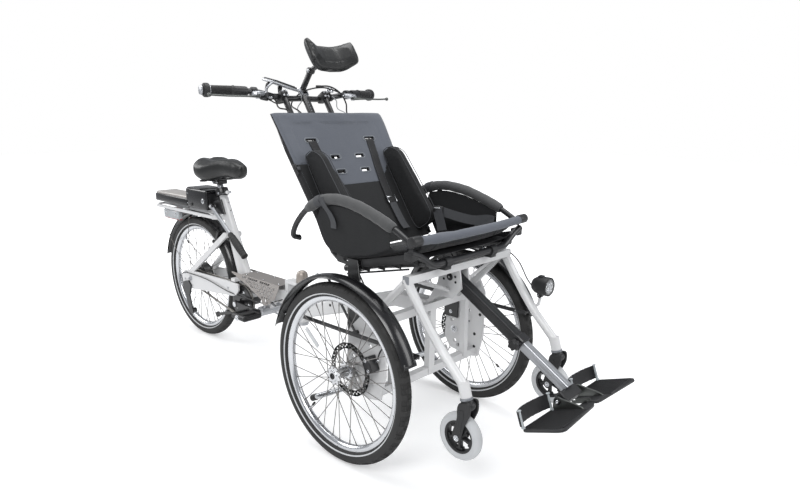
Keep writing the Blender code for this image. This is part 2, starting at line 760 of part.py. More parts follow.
def chair_frame(chair):
    bar = beam(at(BAR_AHEAD, -BAR_HALF, BAR_HEIGHT), at(BAR_AHEAD, BAR_HALF, BAR_HEIGHT), BAR_SIZE,
               BAR_SIZE)
    plate_left = TRACK / 2 - PLATE_INSET
    high = beam(at(CROSS_AHEAD, -plate_left, CROSS_HIGH), at(CROSS_AHEAD, plate_left, CROSS_HIGH),
                CROSS_SIZE, CROSS_SIZE)
    low = beam(at(CROSS_AHEAD - 0.008, -plate_left, CROSS_LOW + 0.012),
               at(CROSS_AHEAD - 0.008, plate_left, CROSS_LOW + 0.012), CROSS_SIZE, CROSS_SIZE)
    post = beam(at(CROSS_AHEAD - 0.004, 0, CROSS_LOW), at(CROSS_AHEAD, 0, CROSS_HIGH), 0.030, 0.022)
    head = rod(at(-STEER_BEHIND, 0, HEAD_LOW), at(-STEER_BEHIND, 0, HEAD_HIGH), HEAD_RADIUS, 12)
    knee = at(-0.060, 0, CROSS_HIGH - 0.006)
    boom = beam(at(-STEER_BEHIND + 0.012, 0, (HEAD_LOW + HEAD_HIGH) / 2 - 0.03),
                knee + Vector((0.010, 0, 0.004)), BOOM_WIDTH, BOOM_DEPTH, 0.006)
    root = beam(knee, at(CROSS_AHEAD, 0, CROSS_HIGH), BOOM_WIDTH, BOOM_DEPTH, 0.006)
    pin = rod(at(LEG_AHEAD, -LEG_OUTER / 2 - CLEAR - GUSSET_THICK - 0.003, LEG_HEIGHT),
              at(LEG_AHEAD, LEG_OUTER / 2 + CLEAR + GUSSET_THICK + 0.003, LEG_HEIGHT), 0.006, 10)
    halves = []
    for made in (*axle_plate(), *castor_tube(), gusset(),
                 beam(at(CROSS_AHEAD, POST_HALF, CROSS_LOW + 0.01), at(CROSS_AHEAD, POST_HALF, CROSS_HIGH),
                      0.022, 0.022),
                 tube([at(BAR_AHEAD - 0.010, BAR_HALF - 0.022, BAR_HEIGHT - 0.004),
                       at(0.085, plate_left - 0.006, CROSS_HIGH + 0.030)], TUBE_RADIUS - 0.002, 1),
                 tube([at(0.205, BAR_HALF - 0.040, BAR_HEIGHT - 0.006),
                       at(0.185, 0.020, BAR_HEIGHT - 0.087)], 0.007, 0)):
        halves += [made, mirrored(made)]
    lamp_foot = castor_tube_height(0.329)
    lamp_arm = tube([at(0.338, CASTOR_HALF, lamp_foot), at(0.352, CASTOR_HALF + 0.014, lamp_foot + 0.012),
                     at(0.356, CASTOR_HALF + 0.016, lamp_foot + 0.036)], 0.006, 0)
    frame = joined(bar, high, low, post, boom, root, pin, *halves, lamp_arm)
    bore = rod(at(-STEER_BEHIND, 0, HEAD_LOW - 0.02), at(-STEER_BEHIND, 0, HEAD_HIGH + 0.02),
               hole_for(PIN_RADIUS, 12), 12)
    frame = cut(joined(frame, head), bore)
    tilt = math.radians(CASTOR_TILT)
    down = Vector((math.sin(tilt), 0, -math.cos(tilt)))
    stems = []
    for side in (1, -1):
        foot = at(CASTOR_AHEAD, side * CASTOR_HALF, CASTOR_TOP)
        stems.append(rod(foot + down * 0.02, foot - down * 0.036, hole_for(CASTOR_STEM, 8), 8))
    return node("chair_frame", cut(frame, *stems), WHITE, chair)


# Castors

def castor_place(side):
    """The matrix that takes (trail, drop, across) to the castor, whose axis leans with the chair."""
    tilt = math.radians(CASTOR_TILT)
    behind = Vector((-math.cos(tilt), 0, -math.sin(tilt)))
    down = Vector((math.sin(tilt), 0, -math.cos(tilt)))
    axes = Matrix((behind, down, Vector((0, -1, 0)))).transposed().to_4x4()
    return Matrix.Translation(at(CASTOR_AHEAD, side * CASTOR_HALF, CASTOR_TOP)) @ axes


def fork_leg(across):
    outline = [(-0.019, 0.006), (0.006, 0.006), (0.020, 0.016), (0.030, 0.050),
               (CASTOR_TRAIL + 0.013, 0.092)]
    outline += [(CASTOR_TRAIL + 0.014 * math.cos(a), CASTOR_DROP + 0.014 * math.sin(a))
                for a in (math.radians(-10 + 62 * k) for k in range(4))]
    outline += [(0.008, 0.066), (-0.010, 0.040)]
    return sheet(outline, FORK_THICK, Matrix.Translation((0, 0, across)))


def castor_fork():
    axle_half = FORK_GAP + FORK_THICK + 0.004
    crown = block((0.036, 0.020, 2 * FORK_GAP + FORK_THICK - 0.001), (-0.001, 0.013, 0))
    collar = rod((0, CLEAR, 0), (0, 0.012, 0), TUBE_RADIUS + 0.003, 10)
    stem = rod((0, 0.010, 0), (0, -0.034, 0), CASTOR_STEM, 8)
    axle = rod((CASTOR_TRAIL, CASTOR_DROP, -axle_half), (CASTOR_TRAIL, CASTOR_DROP, axle_half),
               CASTOR_BOLT, 8)
    legs = [fork_leg(way * FORK_GAP) for way in (1, -1)]
    return joined(crown, collar, stem, axle, *legs)


def castor_wheel():
    """A five-spoke wheel with its moulded tyre, turned about Y."""
    half = CASTOR_WIDTH / 2
    rim_radius = CASTOR_RADIUS - 0.022
    profile = [(rim_radius - 0.006, -half * 0.8), (rim_radius - 0.006, half * 0.8),
               (CASTOR_RADIUS - 0.008, half),
               (CASTOR_RADIUS, half * 0.35), (CASTOR_RADIUS, -half * 0.35), (CASTOR_RADIUS - 0.008, -half)]
    ring = turned(profile, 16, closed=True)
    hub = rod((0, -half, 0), (0, half, 0), 0.013, 8)
    bars = [beam((0, 0, 0), polar(rim_radius - 0.003, 0, 2 * math.pi * k / CASTOR_SPOKES), 0.014, 0.010)
            for k in range(CASTOR_SPOKES)]
    bore = rod((0, -half - 0.01, 0), (0, half + 0.01, 0), hole_for(CASTOR_BOLT, 8), 8)
    return cut(joined(ring, hub, *bars), bore)


def castor(side, word, chair):
    to_chair = castor_place(side)
    swivel = body(f"castor_{word}", to_chair @ Vector((0, 0, 0)), chair)
    node(f"castor_fork_{word}", place(castor_fork(), to_chair), PLASTIC, swivel)
    centre = to_chair @ Vector((CASTOR_TRAIL, CASTOR_DROP, 0))
    roller = body(f"castor_roll_{word}", centre, swivel)
    node(f"castor_wheel_{word}", moved(castor_wheel(), centre), PALE_RUBBER, roller)


# Fenders, brakes and lamp

def fender_shell(start, end, half, steps):
    outer = WHEEL_RADIUS + 0.0270
    profile = [(outer - 0.014, -half), (outer - 0.002, -half + 0.004), (outer, 0),
               (outer - 0.002, half - 0.004),
               (outer - 0.014, half)]
    return turned(profile, steps, start=start, span=end - start, thick=0.002)


def front_fender(side, word, chair):
    """A fender with the flat bar that holds both its ends from inside the wheel."""
    half = 0.029
    middle = at(0, TRACK / 2, AXLE_HEIGHT)
    shell = moved(fender_shell(21, 163, half, 9), middle)
    bar_in = HUB_INWARD + 0.004
    height = AXLE_HEIGHT + 0.123
    inner = TRACK / 2 - bar_in
    bar = beam(at(-0.292, inner, height), at(0.292, inner, height), 0.004, 0.014)
    tabs = [beam(at(way * 0.287, inner - 0.001, height), at(way * 0.289, TRACK / 2 - half + 0.001, height),
                 0.010,
                 0.008) for way in (1, -1)]
    boss_end = TRACK / 2 - PLATE_INSET + PLATE_THICK / 2 + CLEAR
    boss = rod(at(0.010, boss_end, height), at(0.010, inner, height), 0.008, 10)
    strut = beam(at(0.030, inner, height), at(-0.110, inner, AXLE_HEIGHT + 0.292), 0.003, 0.010)
    tie = beam(at(-0.108, inner, AXLE_HEIGHT + 0.290),
               at(-0.112, TRACK / 2 - half + 0.001, AXLE_HEIGHT + 0.298),
               0.010, 0.006)
    made = joined(shell, bar, *tabs, boss, strut, tie)
    node(f"fender_{word}", made if side > 0 else mirrored_away(made), PLASTIC, chair)


def mirrored_away(made):
    return place(made, Matrix.Scale(-1, 4, Vector((0, 1, 0))))


def caliper(side, word, chair):
    """A disc brake caliper, slotted over the disc's edge and seated on the axle plate."""
    angle = math.radians(25)
    far = DISC_RADIUS + 0.006
    disc_at = TRACK / 2 - HUB_INWARD - CLEAR - DISC_THICK / 2
    seat = TRACK / 2 - PLATE_INSET + PLATE_THICK / 2 + CLEAR
    outer = disc_at + 0.012
    centre = at(far * math.cos(angle), (seat + outer) / 2, AXLE_HEIGHT + far * math.sin(angle))
    case = block((0.034, outer - seat, 0.052), centre, fall=-25, bevel=0.003)
    slot = block((0.030, 2 * 0.0028, 0.09), at((far - 0.013) * math.cos(angle), disc_at,
                                             AXLE_HEIGHT + (far - 0.013) * math.sin(angle)), fall=-25)
    made = cut(case, slot)
    node(f"brake_caliper_{word}", made if side > 0 else mirrored_away(made), BLACK, chair)


def headlight(chair):
    pivot = at(0.356, CASTOR_HALF + 0.016, castor_tube_height(0.329) + 0.0460)
    carrier = body("headlight", pivot, chair)
    profile = [(0, -0.038), (0.018, -0.036), (0.030, -0.016), (0.036, 0.020), (0.036, 0.030),
               (0.030, 0.032),
               (0, 0.032)]
    shell = place(turned(profile, 12), Matrix.Rotation(math.radians(-90), 4, "Z"))
    moved(shell, pivot + Vector((0.004, 0, 0.034)))
    foot = rod(pivot - Vector((0, 0.006, 0)), pivot + Vector((0, 0.006, 0)), 0.0092, 12)
    pin = rod(pivot + Vector((0, -0.012, 0)), pivot + Vector((0, 0.012, 0)), 0.004, 6)
    node("headlight", joined(shell, foot, pin), PLASTIC, carrier)


# Leg rest

def leg(along, left=0.0, above=0.0):
    point = Vector((LEG_AHEAD, left, LEG_HEIGHT)) + arm(along, above, LEG_FALL)
    return at(*point)


def leg_rest(chair):
    swing = body("leg_rest", leg(0), chair)
    inner_size = LEG_OUTER - 2 * (LEG_WALL + CLEAR)
    hollow = inner_size + 2 * CLEAR
    outer = beam(leg(-0.016), leg(LEG_OUTER_END), LEG_OUTER, LEG_OUTER, 0.003)
    collar = beam(leg(LEG_OUTER_END - 0.028), leg(LEG_OUTER_END - 0.002), LEG_OUTER + 0.007,
                  LEG_OUTER + 0.007,
                  0.003)
    knob = rod(leg(LEG_OUTER_END - 0.015), leg(LEG_OUTER_END - 0.015, -LEG_OUTER / 2 - 0.024), 0.011, 10)
    space = beam(leg(0.085), leg(LEG_OUTER_END + 0.02), hollow, hollow)
    bore = rod(leg(0, -LEG_OUTER), leg(0, LEG_OUTER), hole_for(0.006, 10), 10)
    node("leg_rest_outer", cut(joined(outer, collar, knob), space, bore), BLACK, swing)

    slide = body("leg_slide", leg(LEG_INNER_START), swing)
    inner = beam(leg(LEG_INNER_START), leg(LEG_INNER_END), inner_size, inner_size, 0.002)
    hinge = at(*FOOT_AT)
    knuckle = block((0.034, 0.090, 0.030), hinge, fall=LEG_FALL, bevel=0.003)
    pin = rod(hinge + Vector((0, -0.066, 0)), hinge + Vector((0, 0.066, 0)), 0.006, 10)
    node("leg_rest_inner", joined(inner, knuckle, pin), SILVER, slide)
    for side, word in ((1, "left"), (-1, "right")):
        footplate(side, word, slide)


def footplate(side, word, slide):
    """A footplate hung on the leg rest's pin by a web, with its webbing heel loop."""
    hinge = at(*FOOT_AT)
    carrier = body(f"foot_{word}", hinge + Vector((0, side * (0.045 + FOOT_SPLIT / 2), 0)), slide)
    tilt = math.radians(FOOT_TILT)
    ahead = Vector((math.cos(tilt), 0, math.sin(tilt)))
    above = Vector((-math.sin(tilt), 0, math.cos(tilt)))
    web_in = 0.045 + FOOT_SPLIT - 0.006
    outer = FOOT_SPLIT / 2 + FOOT_WIDE
    axes = Matrix((ahead, Vector((0, 1, 0)), above)).transposed().to_4x4()
    flat = Matrix.Translation(hinge - above * (FOOT_BELOW + FOOT_THICK / 2)) @ axes
    outline = [(-FOOT_HEEL, web_in), (-FOOT_HEEL, outer - 0.006), (-FOOT_HEEL + 0.006, outer),
               (FOOT_TOE - 0.010, outer), (FOOT_TOE, outer - 0.010), (FOOT_TOE - 0.022, FOOT_SPLIT / 2),
               (0.042, FOOT_SPLIT / 2), (0.042, web_in)]
    plate = sheet(outline, FOOT_THICK, flat)
    upright = Matrix((ahead, above, Vector((0, -1, 0)))).transposed().to_4x4()
    web_outline = circle((0, 0), 0.013, 10)[:6] + [(-0.013, -0.004),
                                                   (-FOOT_HEEL + 0.002, -FOOT_BELOW - 0.003),
                                                    (0.072, -FOOT_BELOW - 0.003), (0.013, -0.004)]
    web = sheet(web_outline, WEB_THICK, Matrix.Translation(hinge + Vector((0, web_in + WEB_THICK / 2, 0))) @ upright,
                [circle((0, 0), hole_for(0.006, 10), 10)])
    made = joined(plate, web)
    node(f"footplate_{word}", made if side > 0 else mirrored_away(made), PLASTIC, carrier)

    inner = web_in + WEB_THICK + 0.004
    route = smooth([(-FOOT_HEEL + 0.004, outer - 0.005, 0), (-FOOT_HEEL - 0.022, outer - 0.020, 0),
                    (-FOOT_HEEL - 0.028, (outer + inner) / 2, 0), (-FOOT_HEEL - 0.022, inner + 0.020, 0),
                    (-FOOT_HEEL + 0.004, inner + 0.003, 0)], 3)
    level = CLEAR - FOOT_BELOW
    columns = [[hinge + ahead * p.x + Vector((0, p.y, 0)) + above * (level + high) for high in (0, STRAP_HIGH)]
               for p in route]
    strap = grid(columns, STRAP_THICK)
    node(f"heel_strap_{word}", strap if side > 0 else mirrored_away(strap), BLACK_CLOTH, carrier)


# Seat and arms

def seat_frame(chair):
    rail_end = HINGE_AHEAD + 0.020
    dip = SEAT_FRONT_HEIGHT - 0.038
    middle = [at(0.250, 0.285, SEAT_FRONT_HEIGHT + 0.0155), at(0.250, 0.246, SEAT_FRONT_HEIGHT),
              at(0.250, 0.205, SEAT_FRONT_HEIGHT - 0.026), at(0.250, 0.165, dip), at(0.250, 0.120, dip)]
    hoop = tube(middle + [Vector((p.x, -p.y, p.z)) for p in reversed(middle)], SEAT_TUBE, 2)
    halves = []
    plate_left = TRACK / 2 - PLATE_INSET - PLATE_THICK / 2 - CLEAR - 0.003
    stand_top = SEAT_FRONT_HEIGHT - 0.051
    stand = [(-0.046, 0.345), (0.018, 0.345), (0.022, 0.500), (0.002, stand_top), (-0.044, stand_top),
             (-0.048, 0.500)]
    ear = [(HINGE_AHEAD - 0.018, HINGE_HEIGHT + 0.014), (HINGE_AHEAD - 0.018, HINGE_HEIGHT - 0.014),
           (rail_end + 0.050, HINGE_HEIGHT - 0.020), (rail_end + 0.050, HINGE_HEIGHT - 0.008),
           (HINGE_AHEAD + 0.020, HINGE_HEIGHT - 0.004), (HINGE_AHEAD + 0.010, HINGE_HEIGHT + 0.014)]
    for made in (tube([at(rail_end, RAIL_HALF, seat_height(rail_end)),
                       at(0.252, RAIL_HALF, seat_height(0.252) - 0.008)],
                      SEAT_TUBE, 1),
                 side_plate(stand, plate_left, 0.006),
                 side_plate(ear, RAIL_HALF + 0.0065, 0.006),
                 block((0.052, 0.030, 0.024), at(0.233, 0.120, BAR_HEIGHT + BAR_SIZE / 2 + CLEAR + 0.012)),
                 block((0.032, 0.026, 0.0250), at(0.243, HOOP_HALF, HOOP_FOOT - 0.0008 - CLEAR - 0.0125))):
        halves += [made, mirrored(made)]
    cross_height = seat_height(-0.022) - 0.006
    across = rod(at(-0.022, -plate_left, cross_height), at(-0.022, plate_left, cross_height), 0.0115, 8)
    pin = rod(at(HINGE_AHEAD, -RAIL_HALF - 0.009, HINGE_HEIGHT),
              at(HINGE_AHEAD, RAIL_HALF + 0.009, HINGE_HEIGHT), 0.008,
              10)
    node("seat_frame", joined(hoop, across, pin, *halves), BLACK, chair)


def spread(count):
    """Values from -1 to 1, closer together near the ends, as a cushion's rows are."""
    return [math.sin(math.pi / 2 * (2 * k / (count - 1) - 1)) for k in range(count)]


def cushion(surface, across, along, front, behind, channels=()):
    """A soft pad over surface(u, v) -> (point, normal): full in the middle, drawn in at its edges."""
    us = sorted(spread(across) + [c for c in channels])
    vs = spread(along)

    def thick(u, v, full):
        edge = (1 - abs(u) ** 6) * (1 - abs(v) ** 6)
        crown = 1 - 0.18 * (u * u + v * v) / 2
        groove = 0.35 if any(abs(u - c) < TINY for c in channels) else 1
        return full * (0.30 + 0.70 * edge ** 0.5) * crown * groove

    bm = bmesh.new()
    faces = []
    for way, full in ((1, front), (-1, behind)):
        rows = []
        for u in us:
            row = []
            for v in vs:
                point, normal = surface(u, v)
                row.append(bm.verts.new(point + normal * way * thick(u, v, full)))
            rows.append(row)
        faces.append(rows)
        for a, b in zip(rows, rows[1:]):
            for k in range(len(a) - 1):
                bm.faces.new((a[k], a[k + 1], b[k + 1], b[k]))
    top, low = faces
    rim_top = top[0] + [row[-1] for row in top[1:]] + top[-1][-2::-1] + [row[0] for row in top[-2:0:-1]]
    rim_low = low[0] + [row[-1] for row in low[1:]] + low[-1][-2::-1] + [row[0] for row in low[-2:0:-1]]
    count = len(rim_top)
    for k in range(count):
        bm.faces.new((rim_top[k], rim_top[(k + 1) % count], rim_low[(k + 1) % count], rim_low[k]))
    return from_bmesh(bm)


def seat_cushion(chair):
    rear = HINGE_AHEAD + 0.030
    front = 0.260
    lift = SEAT_TUBE + 0.0033
    front_rise = 0.017
    slope = math.radians(SEAT_SLOPE)
    up = Vector((-math.sin(slope), 0, math.cos(slope)))

    def surface(u, v):
        ahead = (rear + front) / 2 + v * (front - rear) / 2
        return at(ahead, u * SEAT_HALF, seat_height(ahead)) + up * (lift + front_rise * max(0, v) ** 3), up

    pad = cushion(surface, 6, 7, CUSHION_THICK - 0.010, 0.0098, channels=(-0.36, 0.36))
    roll = [at(0.262, y * ROLL_HALF, SEAT_FRONT_HEIGHT + 0.0425 + 0.0075 * y * y) for y in (-1, -0.6, 0, 0.6, 1)]
    node("seat_cushion", joined(pad, tube(roll, 0.0145, 2)), GREY_CLOTH, chair)


def hoop_route():
    """The arm hoop from its front end over the top and down to its hooked rear end."""
    points = [(0.242, 0), (0.241, 0.010), (0.205, 0.031), (0.160, 0.052), (0.100, 0.074), (0.020, 0.097),
              (-0.070, 0.107), (-0.150, 0.095), (-0.216, 0.062), (-0.266, 0.017), (-0.292, -0.022)]
    return [Vector((ahead, HOOP_HALF, HOOP_FOOT + above)) for ahead, above in points]


def arm_side(side, word, chair):
    """A tubular hoop in its padded sleeve, and the cloth guard that hangs below it."""
    route = [at(*p) for p in hoop_route()]
    hook = [at(-0.299, HOOP_HALF - 0.006, HOOP_FOOT - 0.042),
            at(-0.296, HOOP_HALF - 0.026, HOOP_FOOT - 0.050)]
    bare = tube(route + hook, HOOP_TUBE, 2)
    padded = route[3:9]
    made = joined(bare, tube(padded, SLEEVE_RADIUS, 2))
    node(f"arm_hoop_{word}", made if side > 0 else mirrored_away(made), GREY_CLOTH, chair)

    drop = SLEEVE_RADIUS + 0.0018
    top = [(p.x - AXLE_AT, p.z - drop) for p in padded[:-1]]
    low = [(-0.170, HOOP_FOOT + 0.026), (-0.126, HOOP_FOOT - 0.044), (-0.060, HOOP_FOOT - 0.066),
           (0.060, HOOP_FOOT - 0.044), (0.160, HOOP_FOOT - 0.002)]
    guard = side_plate(top + low, HOOP_HALF - 0.004, GUARD_THICK)
    node(f"side_guard_{word}", guard if side > 0 else mirrored_away(guard), BLACK_CLOTH, chair)


# Back, handlebar and headrest

def back_frame(carrier):
    low = rod(at(HINGE_AHEAD, -RAIL_HALF + 0.0015, HINGE_HEIGHT),
              at(HINGE_AHEAD, RAIL_HALF - 0.0015, HINGE_HEIGHT), 0.0125,
              10)
    bore = rod(at(HINGE_AHEAD, -RAIL_HALF - 0.01, HINGE_HEIGHT),
               at(HINGE_AHEAD, RAIL_HALF + 0.01, HINGE_HEIGHT),
               hole_for(0.008, 10), 10)
    top = BACK_LENGTH - 0.018
    route = [back(0.000, BACK_TUBE_HALF, -0.006), back(0.012, BACK_TUBE_HALF, -0.026),
             back(0.038, BACK_TUBE_HALF, -BACK_TUBE_SET), back(top - 0.110, BACK_TUBE_HALF + 0.018,
                                                               -BACK_TUBE_SET),
             back(top - 0.024, BACK_TUBE_HALF + 0.014, -BACK_TUBE_SET), back(top, BACK_TUBE_HALF - 0.012, -BACK_TUBE_SET)]
    frame = tube(route + [Vector((p.x, -p.y, p.z)) for p in reversed(route)], 0.011, 2)
    extra = []
    for along in (0.200, 0.360, 0.500):
        half = BACK_TUBE_HALF + 0.018 * along / top
        extra.append(rod(back(along, -half, -BACK_TUBE_SET), back(along, half, -BACK_TUBE_SET), 0.008, 6))
    depth = CARRIER_SET
    for along in (0.360, 0.500):
        for left in (-RISER_HALF, 0, RISER_HALF):
            ring = block((0.030, 0.034 if left else POST_WIDE + 0.012, 0.024), back(along, left, -depth),
                         fall=-RECLINE)
            stub = rod(back(along, left, -BACK_TUBE_SET), back(along, left, -depth + 0.010), 0.008, 4)
            extra += [ring, stub]
    whole = joined(frame, low, *extra)
    holes = [rod(back(0.300, way * RISER_HALF, -depth), back(0.560, way * RISER_HALF, -depth),
                 BAR_TUBE + CLEAR, 8)
             for way in (1, -1)]
    slot = beam(back(0.300, 0, -depth), back(0.560, 0, -depth), POST_WIDE + 2 * CLEAR,
                POST_DEEP + 2 * CLEAR)
    node("back_frame", cut(whole, bore, slot, *holes), BLACK, carrier)


def back_half(along):
    return BACK_LOW_HALF + (BACK_TOP_HALF - BACK_LOW_HALF) * along / BACK_LENGTH


def back_cover(carrier):
    normal = back(0, 0, 1) - back(0, 0, 0)

    def surface(u, v):
        along = 0.022 + (v + 1) / 2 * (BACK_LENGTH - 0.022)
        hollow = BACK_HOLLOW * (1 - u * u) * (1 - v * v)
        return back(along, u * back_half(along), -BACK_THICK - hollow), normal

    pad = cushion(surface, 6, 8, BACK_THICK, 0.006, channels=(-0.62, 0.62))
    node("back_cover", pad, BLACK_CLOTH, carrier)


def side_pad(side, word, carrier):
    """A wing that stands out from the back beside the passenger, wide below and narrow at its top."""
    def surface(u, v):
        along = PAD_LOW + (v + 1) / 2 * PAD_LONG
        deep = PAD_DEEP * (0.86 - 0.14 * v)
        front = PAD_FOOT + (u + 1) / 2 * deep
        return back(along, side * (PAD_IN + PAD_WIDE / 2), front), Vector((0, 1, 0))

    pad = cushion(surface, 6, 7, PAD_WIDE / 2, PAD_WIDE / 2)
    node(f"side_pad_{word}", pad, GREY_CLOTH, carrier)


def cover_front(along, left):
    """How far in front of the back's plane the cover's face lies."""
    u = left / back_half(along)
    v = 2 * (along - 0.022) / (BACK_LENGTH - 0.022) - 1
    hollow = BACK_HOLLOW * (1 - u * u) * (1 - v * v)
    return -hollow - BACK_THICK * 0.09 * (u * u + v * v)


def belt(side, word, carrier):
    """A shoulder belt, out of its slot and down the front of the back to the lap."""
    places = [(0.408, 0.130), (0.340, 0.124), (0.240, 0.118), (0.150, 0.114), (0.080, 0.112),
              (0.045, 0.112)]
    columns = []
    for along, left in places:
        columns.append([back(along, side * (left + half), cover_front(along, left + half) + BELT_LIFT)
                        for half in (-BELT_HALF, 0, BELT_HALF)])
    node(f"shoulder_belt_{word}", grid(columns, 0.0025), BLACK_CLOTH, carrier)


def bar_end(side):
    return at(-0.612, side * GRIP_END_HALF, 1.177)


def handlebar(carrier):
    depth = CARRIER_SET
    high = back(HANDLE_ALONG, 0, -depth - POST_DEEP / 2 - BAR_TUBE - 0.005)
    route = [high, high + Vector((0, RISER_HALF, 0)), at(-0.566, 0.219, 1.174), at(-0.590, 0.330, 1.177),
             bar_end(1)]
    bar = tube([Vector((p.x, -p.y, p.z)) for p in reversed(route[1:])] + route, BAR_TUBE, 2)
    extra = []
    for way in (1, -1):
        extra.append(rod(back(0.335, way * RISER_HALF, -depth),
                         back(HANDLE_ALONG, way * RISER_HALF, -depth), BAR_TUBE, 8))
        extra.append(block((0.052, 0.030, 0.032), back(HANDLE_ALONG, way * RISER_HALF, -depth - 0.010),
                           fall=-RECLINE))
        pivot = lever_pivot(way)
        clamp = at(-0.568, way * 0.226, 1.174)
        extra.append(rod(clamp - Vector((0, 0.012, 0)), clamp + Vector((0, 0.012, 0)), BAR_TUBE + 0.006, 8))
        extra.append(beam(clamp + Vector((0.006, way * -0.004, -0.002)), pivot + Vector((0.004, 0, 0.009)),
                          0.020, 0.014))
        extra.append(rod(pivot + Vector((0, 0, 0.006)), pivot - Vector((0, 0, 0.0075)), 0.0035, 6))
        extra.append(rod(pivot - Vector((0, 0, 0.0069)), pivot - Vector((0, 0, 0.0089)), 0.0065, 6))
    stalk = beam(route[1] * 0.5 + route[2] * 0.5,
                 high + Vector((0, 0.150, 0)) + Vector((-0.020, 0, 0.042)), 0.016, 0.012)
    place(stalk, Matrix.Scale(-1, 4, Vector((0, 1, 0))))
    screen = block((0.044, 0.075, 0.012), high + Vector((-0.020, -0.150, 0.040)), fall=-24)
    shifter = block((0.034, 0.044, 0.030), at(-0.556, -0.185, 1.158), fall=10)
    node("handlebar", joined(bar, stalk, screen, shifter, *extra), PLASTIC, carrier)
    for side, word in ((1, "left"), (-1, "right")):
        end = bar_end(side)
        start = at(-0.590, side * 0.330, 1.177)
        way = (end - start).normalized()
        first = end - way * GRIP_LENGTH
        profile = [(0, 0.004), (GRIP_RADIUS, 0.004), (GRIP_RADIUS, 0.012 - GRIP_LENGTH),
                   (GRIP_RADIUS + 0.003, -GRIP_LENGTH), (0, -GRIP_LENGTH)]
        facing = Matrix.Translation(end) @ turn_to(way) @ Matrix.Rotation(math.radians(90), 4, "X")
        grip = place(turned(profile, 10), facing)
        inside = [Vector((p.x, side * p.y, p.z)) for p in route[2:-1]] + [end + way * CLEAR]
        node(f"grip_{word}", cut(grip, tube(inside, BAR_TUBE + 3 * CLEAR, 2)), RUBBER, carrier)
        brake_lever(side, word, carrier)


def lever_pivot(side):
    return at(-0.536, side * 0.232, 1.160)


def brake_lever(side, word, carrier):
    pivot = lever_pivot(side)
    hinge = body(f"brake_{word}", pivot, carrier)
    eye = rod(pivot + Vector((0, 0, -0.0063)), pivot + Vector((0, 0, 0.0010)), 0.009, 12)
    route = smooth([pivot + Vector((0.004, 0, -0.002)), at(-0.518, side * 0.290, 1.158),
                    at(-0.520, side * 0.360, 1.158),
                    at(-0.532, side * 0.424, 1.160)], 2)
    blade = tube(route, 0.0045, 0)
    ball = rod(route[-1] - Vector((0, side * 0.004, 0)), route[-1] + Vector((0, side * 0.008, 0)), 0.0075,
               8)
    bore = rod(pivot - Vector((0, 0, 0.02)), pivot + Vector((0, 0, 0.02)), hole_for(0.0035, 8), 8)
    node(f"brake_lever_{word}", cut(joined(eye, blade, ball), bore), BLACK, hinge)


def headrest(carrier):
    depth = CARRIER_SET
    slide = body("headrest_slide", back(POST_LOW, 0, -depth), carrier)
    top = back(POST_HIGH, 0, -depth)
    post = beam(back(POST_LOW, 0, -depth), top, POST_WIDE, POST_DEEP)
    ears = []
    for way in (1, -1):
        ears.append(beam(back(POST_HIGH - 0.020, way * 0.0125, -depth),
                         back(POST_HIGH + 0.014, way * 0.0125, -depth),
                         0.005, 0.020))
    slot = beam(back(POST_HIGH - 0.0125, 0, -depth), back(POST_HIGH + 0.03, 0, -depth), 0.0192, 0.05)
    post = cut(post, slot)
    pin = rod(top + Vector((0, -0.018, 0)), top + Vector((0, 0.018, 0)), 0.004, 8)
    node("headrest_post", joined(post, *ears, pin), BLACK, slide)

    tilt = body("headrest_tilt", top, slide)
    knee = top + Vector((0.052, 0, 0.072))
    centre = rest_point(0, 0)
    normal = rest_normal()
    eye = rod(top + Vector((0, -0.009, 0)), top + Vector((0, 0.009, 0)), 0.0115, 10)
    neck = joined(eye, beam(top, knee, 0.017, 0.014),
                  rod(knee - Vector((0, 0.010, 0)), knee + Vector((0, 0.010, 0)), 0.012, 8),
                  beam(knee, centre - normal * (REST_THICK * 0.5 + 0.006), 0.017, 0.012),
                  beam(centre - normal * (REST_THICK * 0.5 + 0.008),
                       centre - normal * (REST_THICK * 0.5 - 0.0008), 0.050,
                       0.040))
    bore = rod(top - Vector((0, 0.03, 0)), top + Vector((0, 0.03, 0)), hole_for(0.004, 8), 8)
    node("headrest_neck", cut(neck, bore), BLACK, tilt)

    def surface(u, v):
        return rest_point(u, v), rest_side_normal(u)

    pad = cushion(surface, 8, 6, REST_THICK / 2, REST_THICK / 2)
    node("headrest_pad", pad, LEATHER, tilt)


def rest_normal():
    return back(0, 0, 1) - back(0, 0, 0)


def rest_side_normal(u):
    bend = math.radians(REST_FLARE) * math.sin(math.pi / 2 * u)
    return (rest_normal() * math.cos(bend) - Vector((0, 1, 0)) * math.sin(bend)).normalized()


def rest_point(u, v):
    """A point of the headrest pad's middle layer, u across and v up."""
    up = (back(1, 0) - back(0, 0)).normalized()
    reach = (REST_FLAT + REST_WING) * abs(u)
    out = max(0.0, reach - REST_FLAT * 0.5)
    flare = math.radians(REST_FLARE)
    curved = out * out / (REST_WING + REST_FLAT * 0.5)
    left = (reach - curved * (1 - math.cos(flare)))
    middle = at(-0.431, 0, 1.298)
    front = rest_normal()
    high = REST_HIGH / 2 * (1 - 0.10 * abs(u) ** 3)
    return middle + up * v * high + Vector((0, math.copysign(left, u),
                                            0)) + front * curved * math.sin(flare)


# Bicycle half

def stay_outline():
    """The chain stay's side, from the rear dropout to the crank's shell."""
    points = [(-0.087, 0.302), (-0.077, 0.264), (-0.023, 0.243), (0.367, 0.283), (0.391, 0.292),
              (0.413, 0.316),
              (0.409, 0.345), (0.321, 0.347), (0.051, 0.337), (-0.059, 0.327)]
    return [(ahead - WHEELBASE, height) for ahead, height in points]


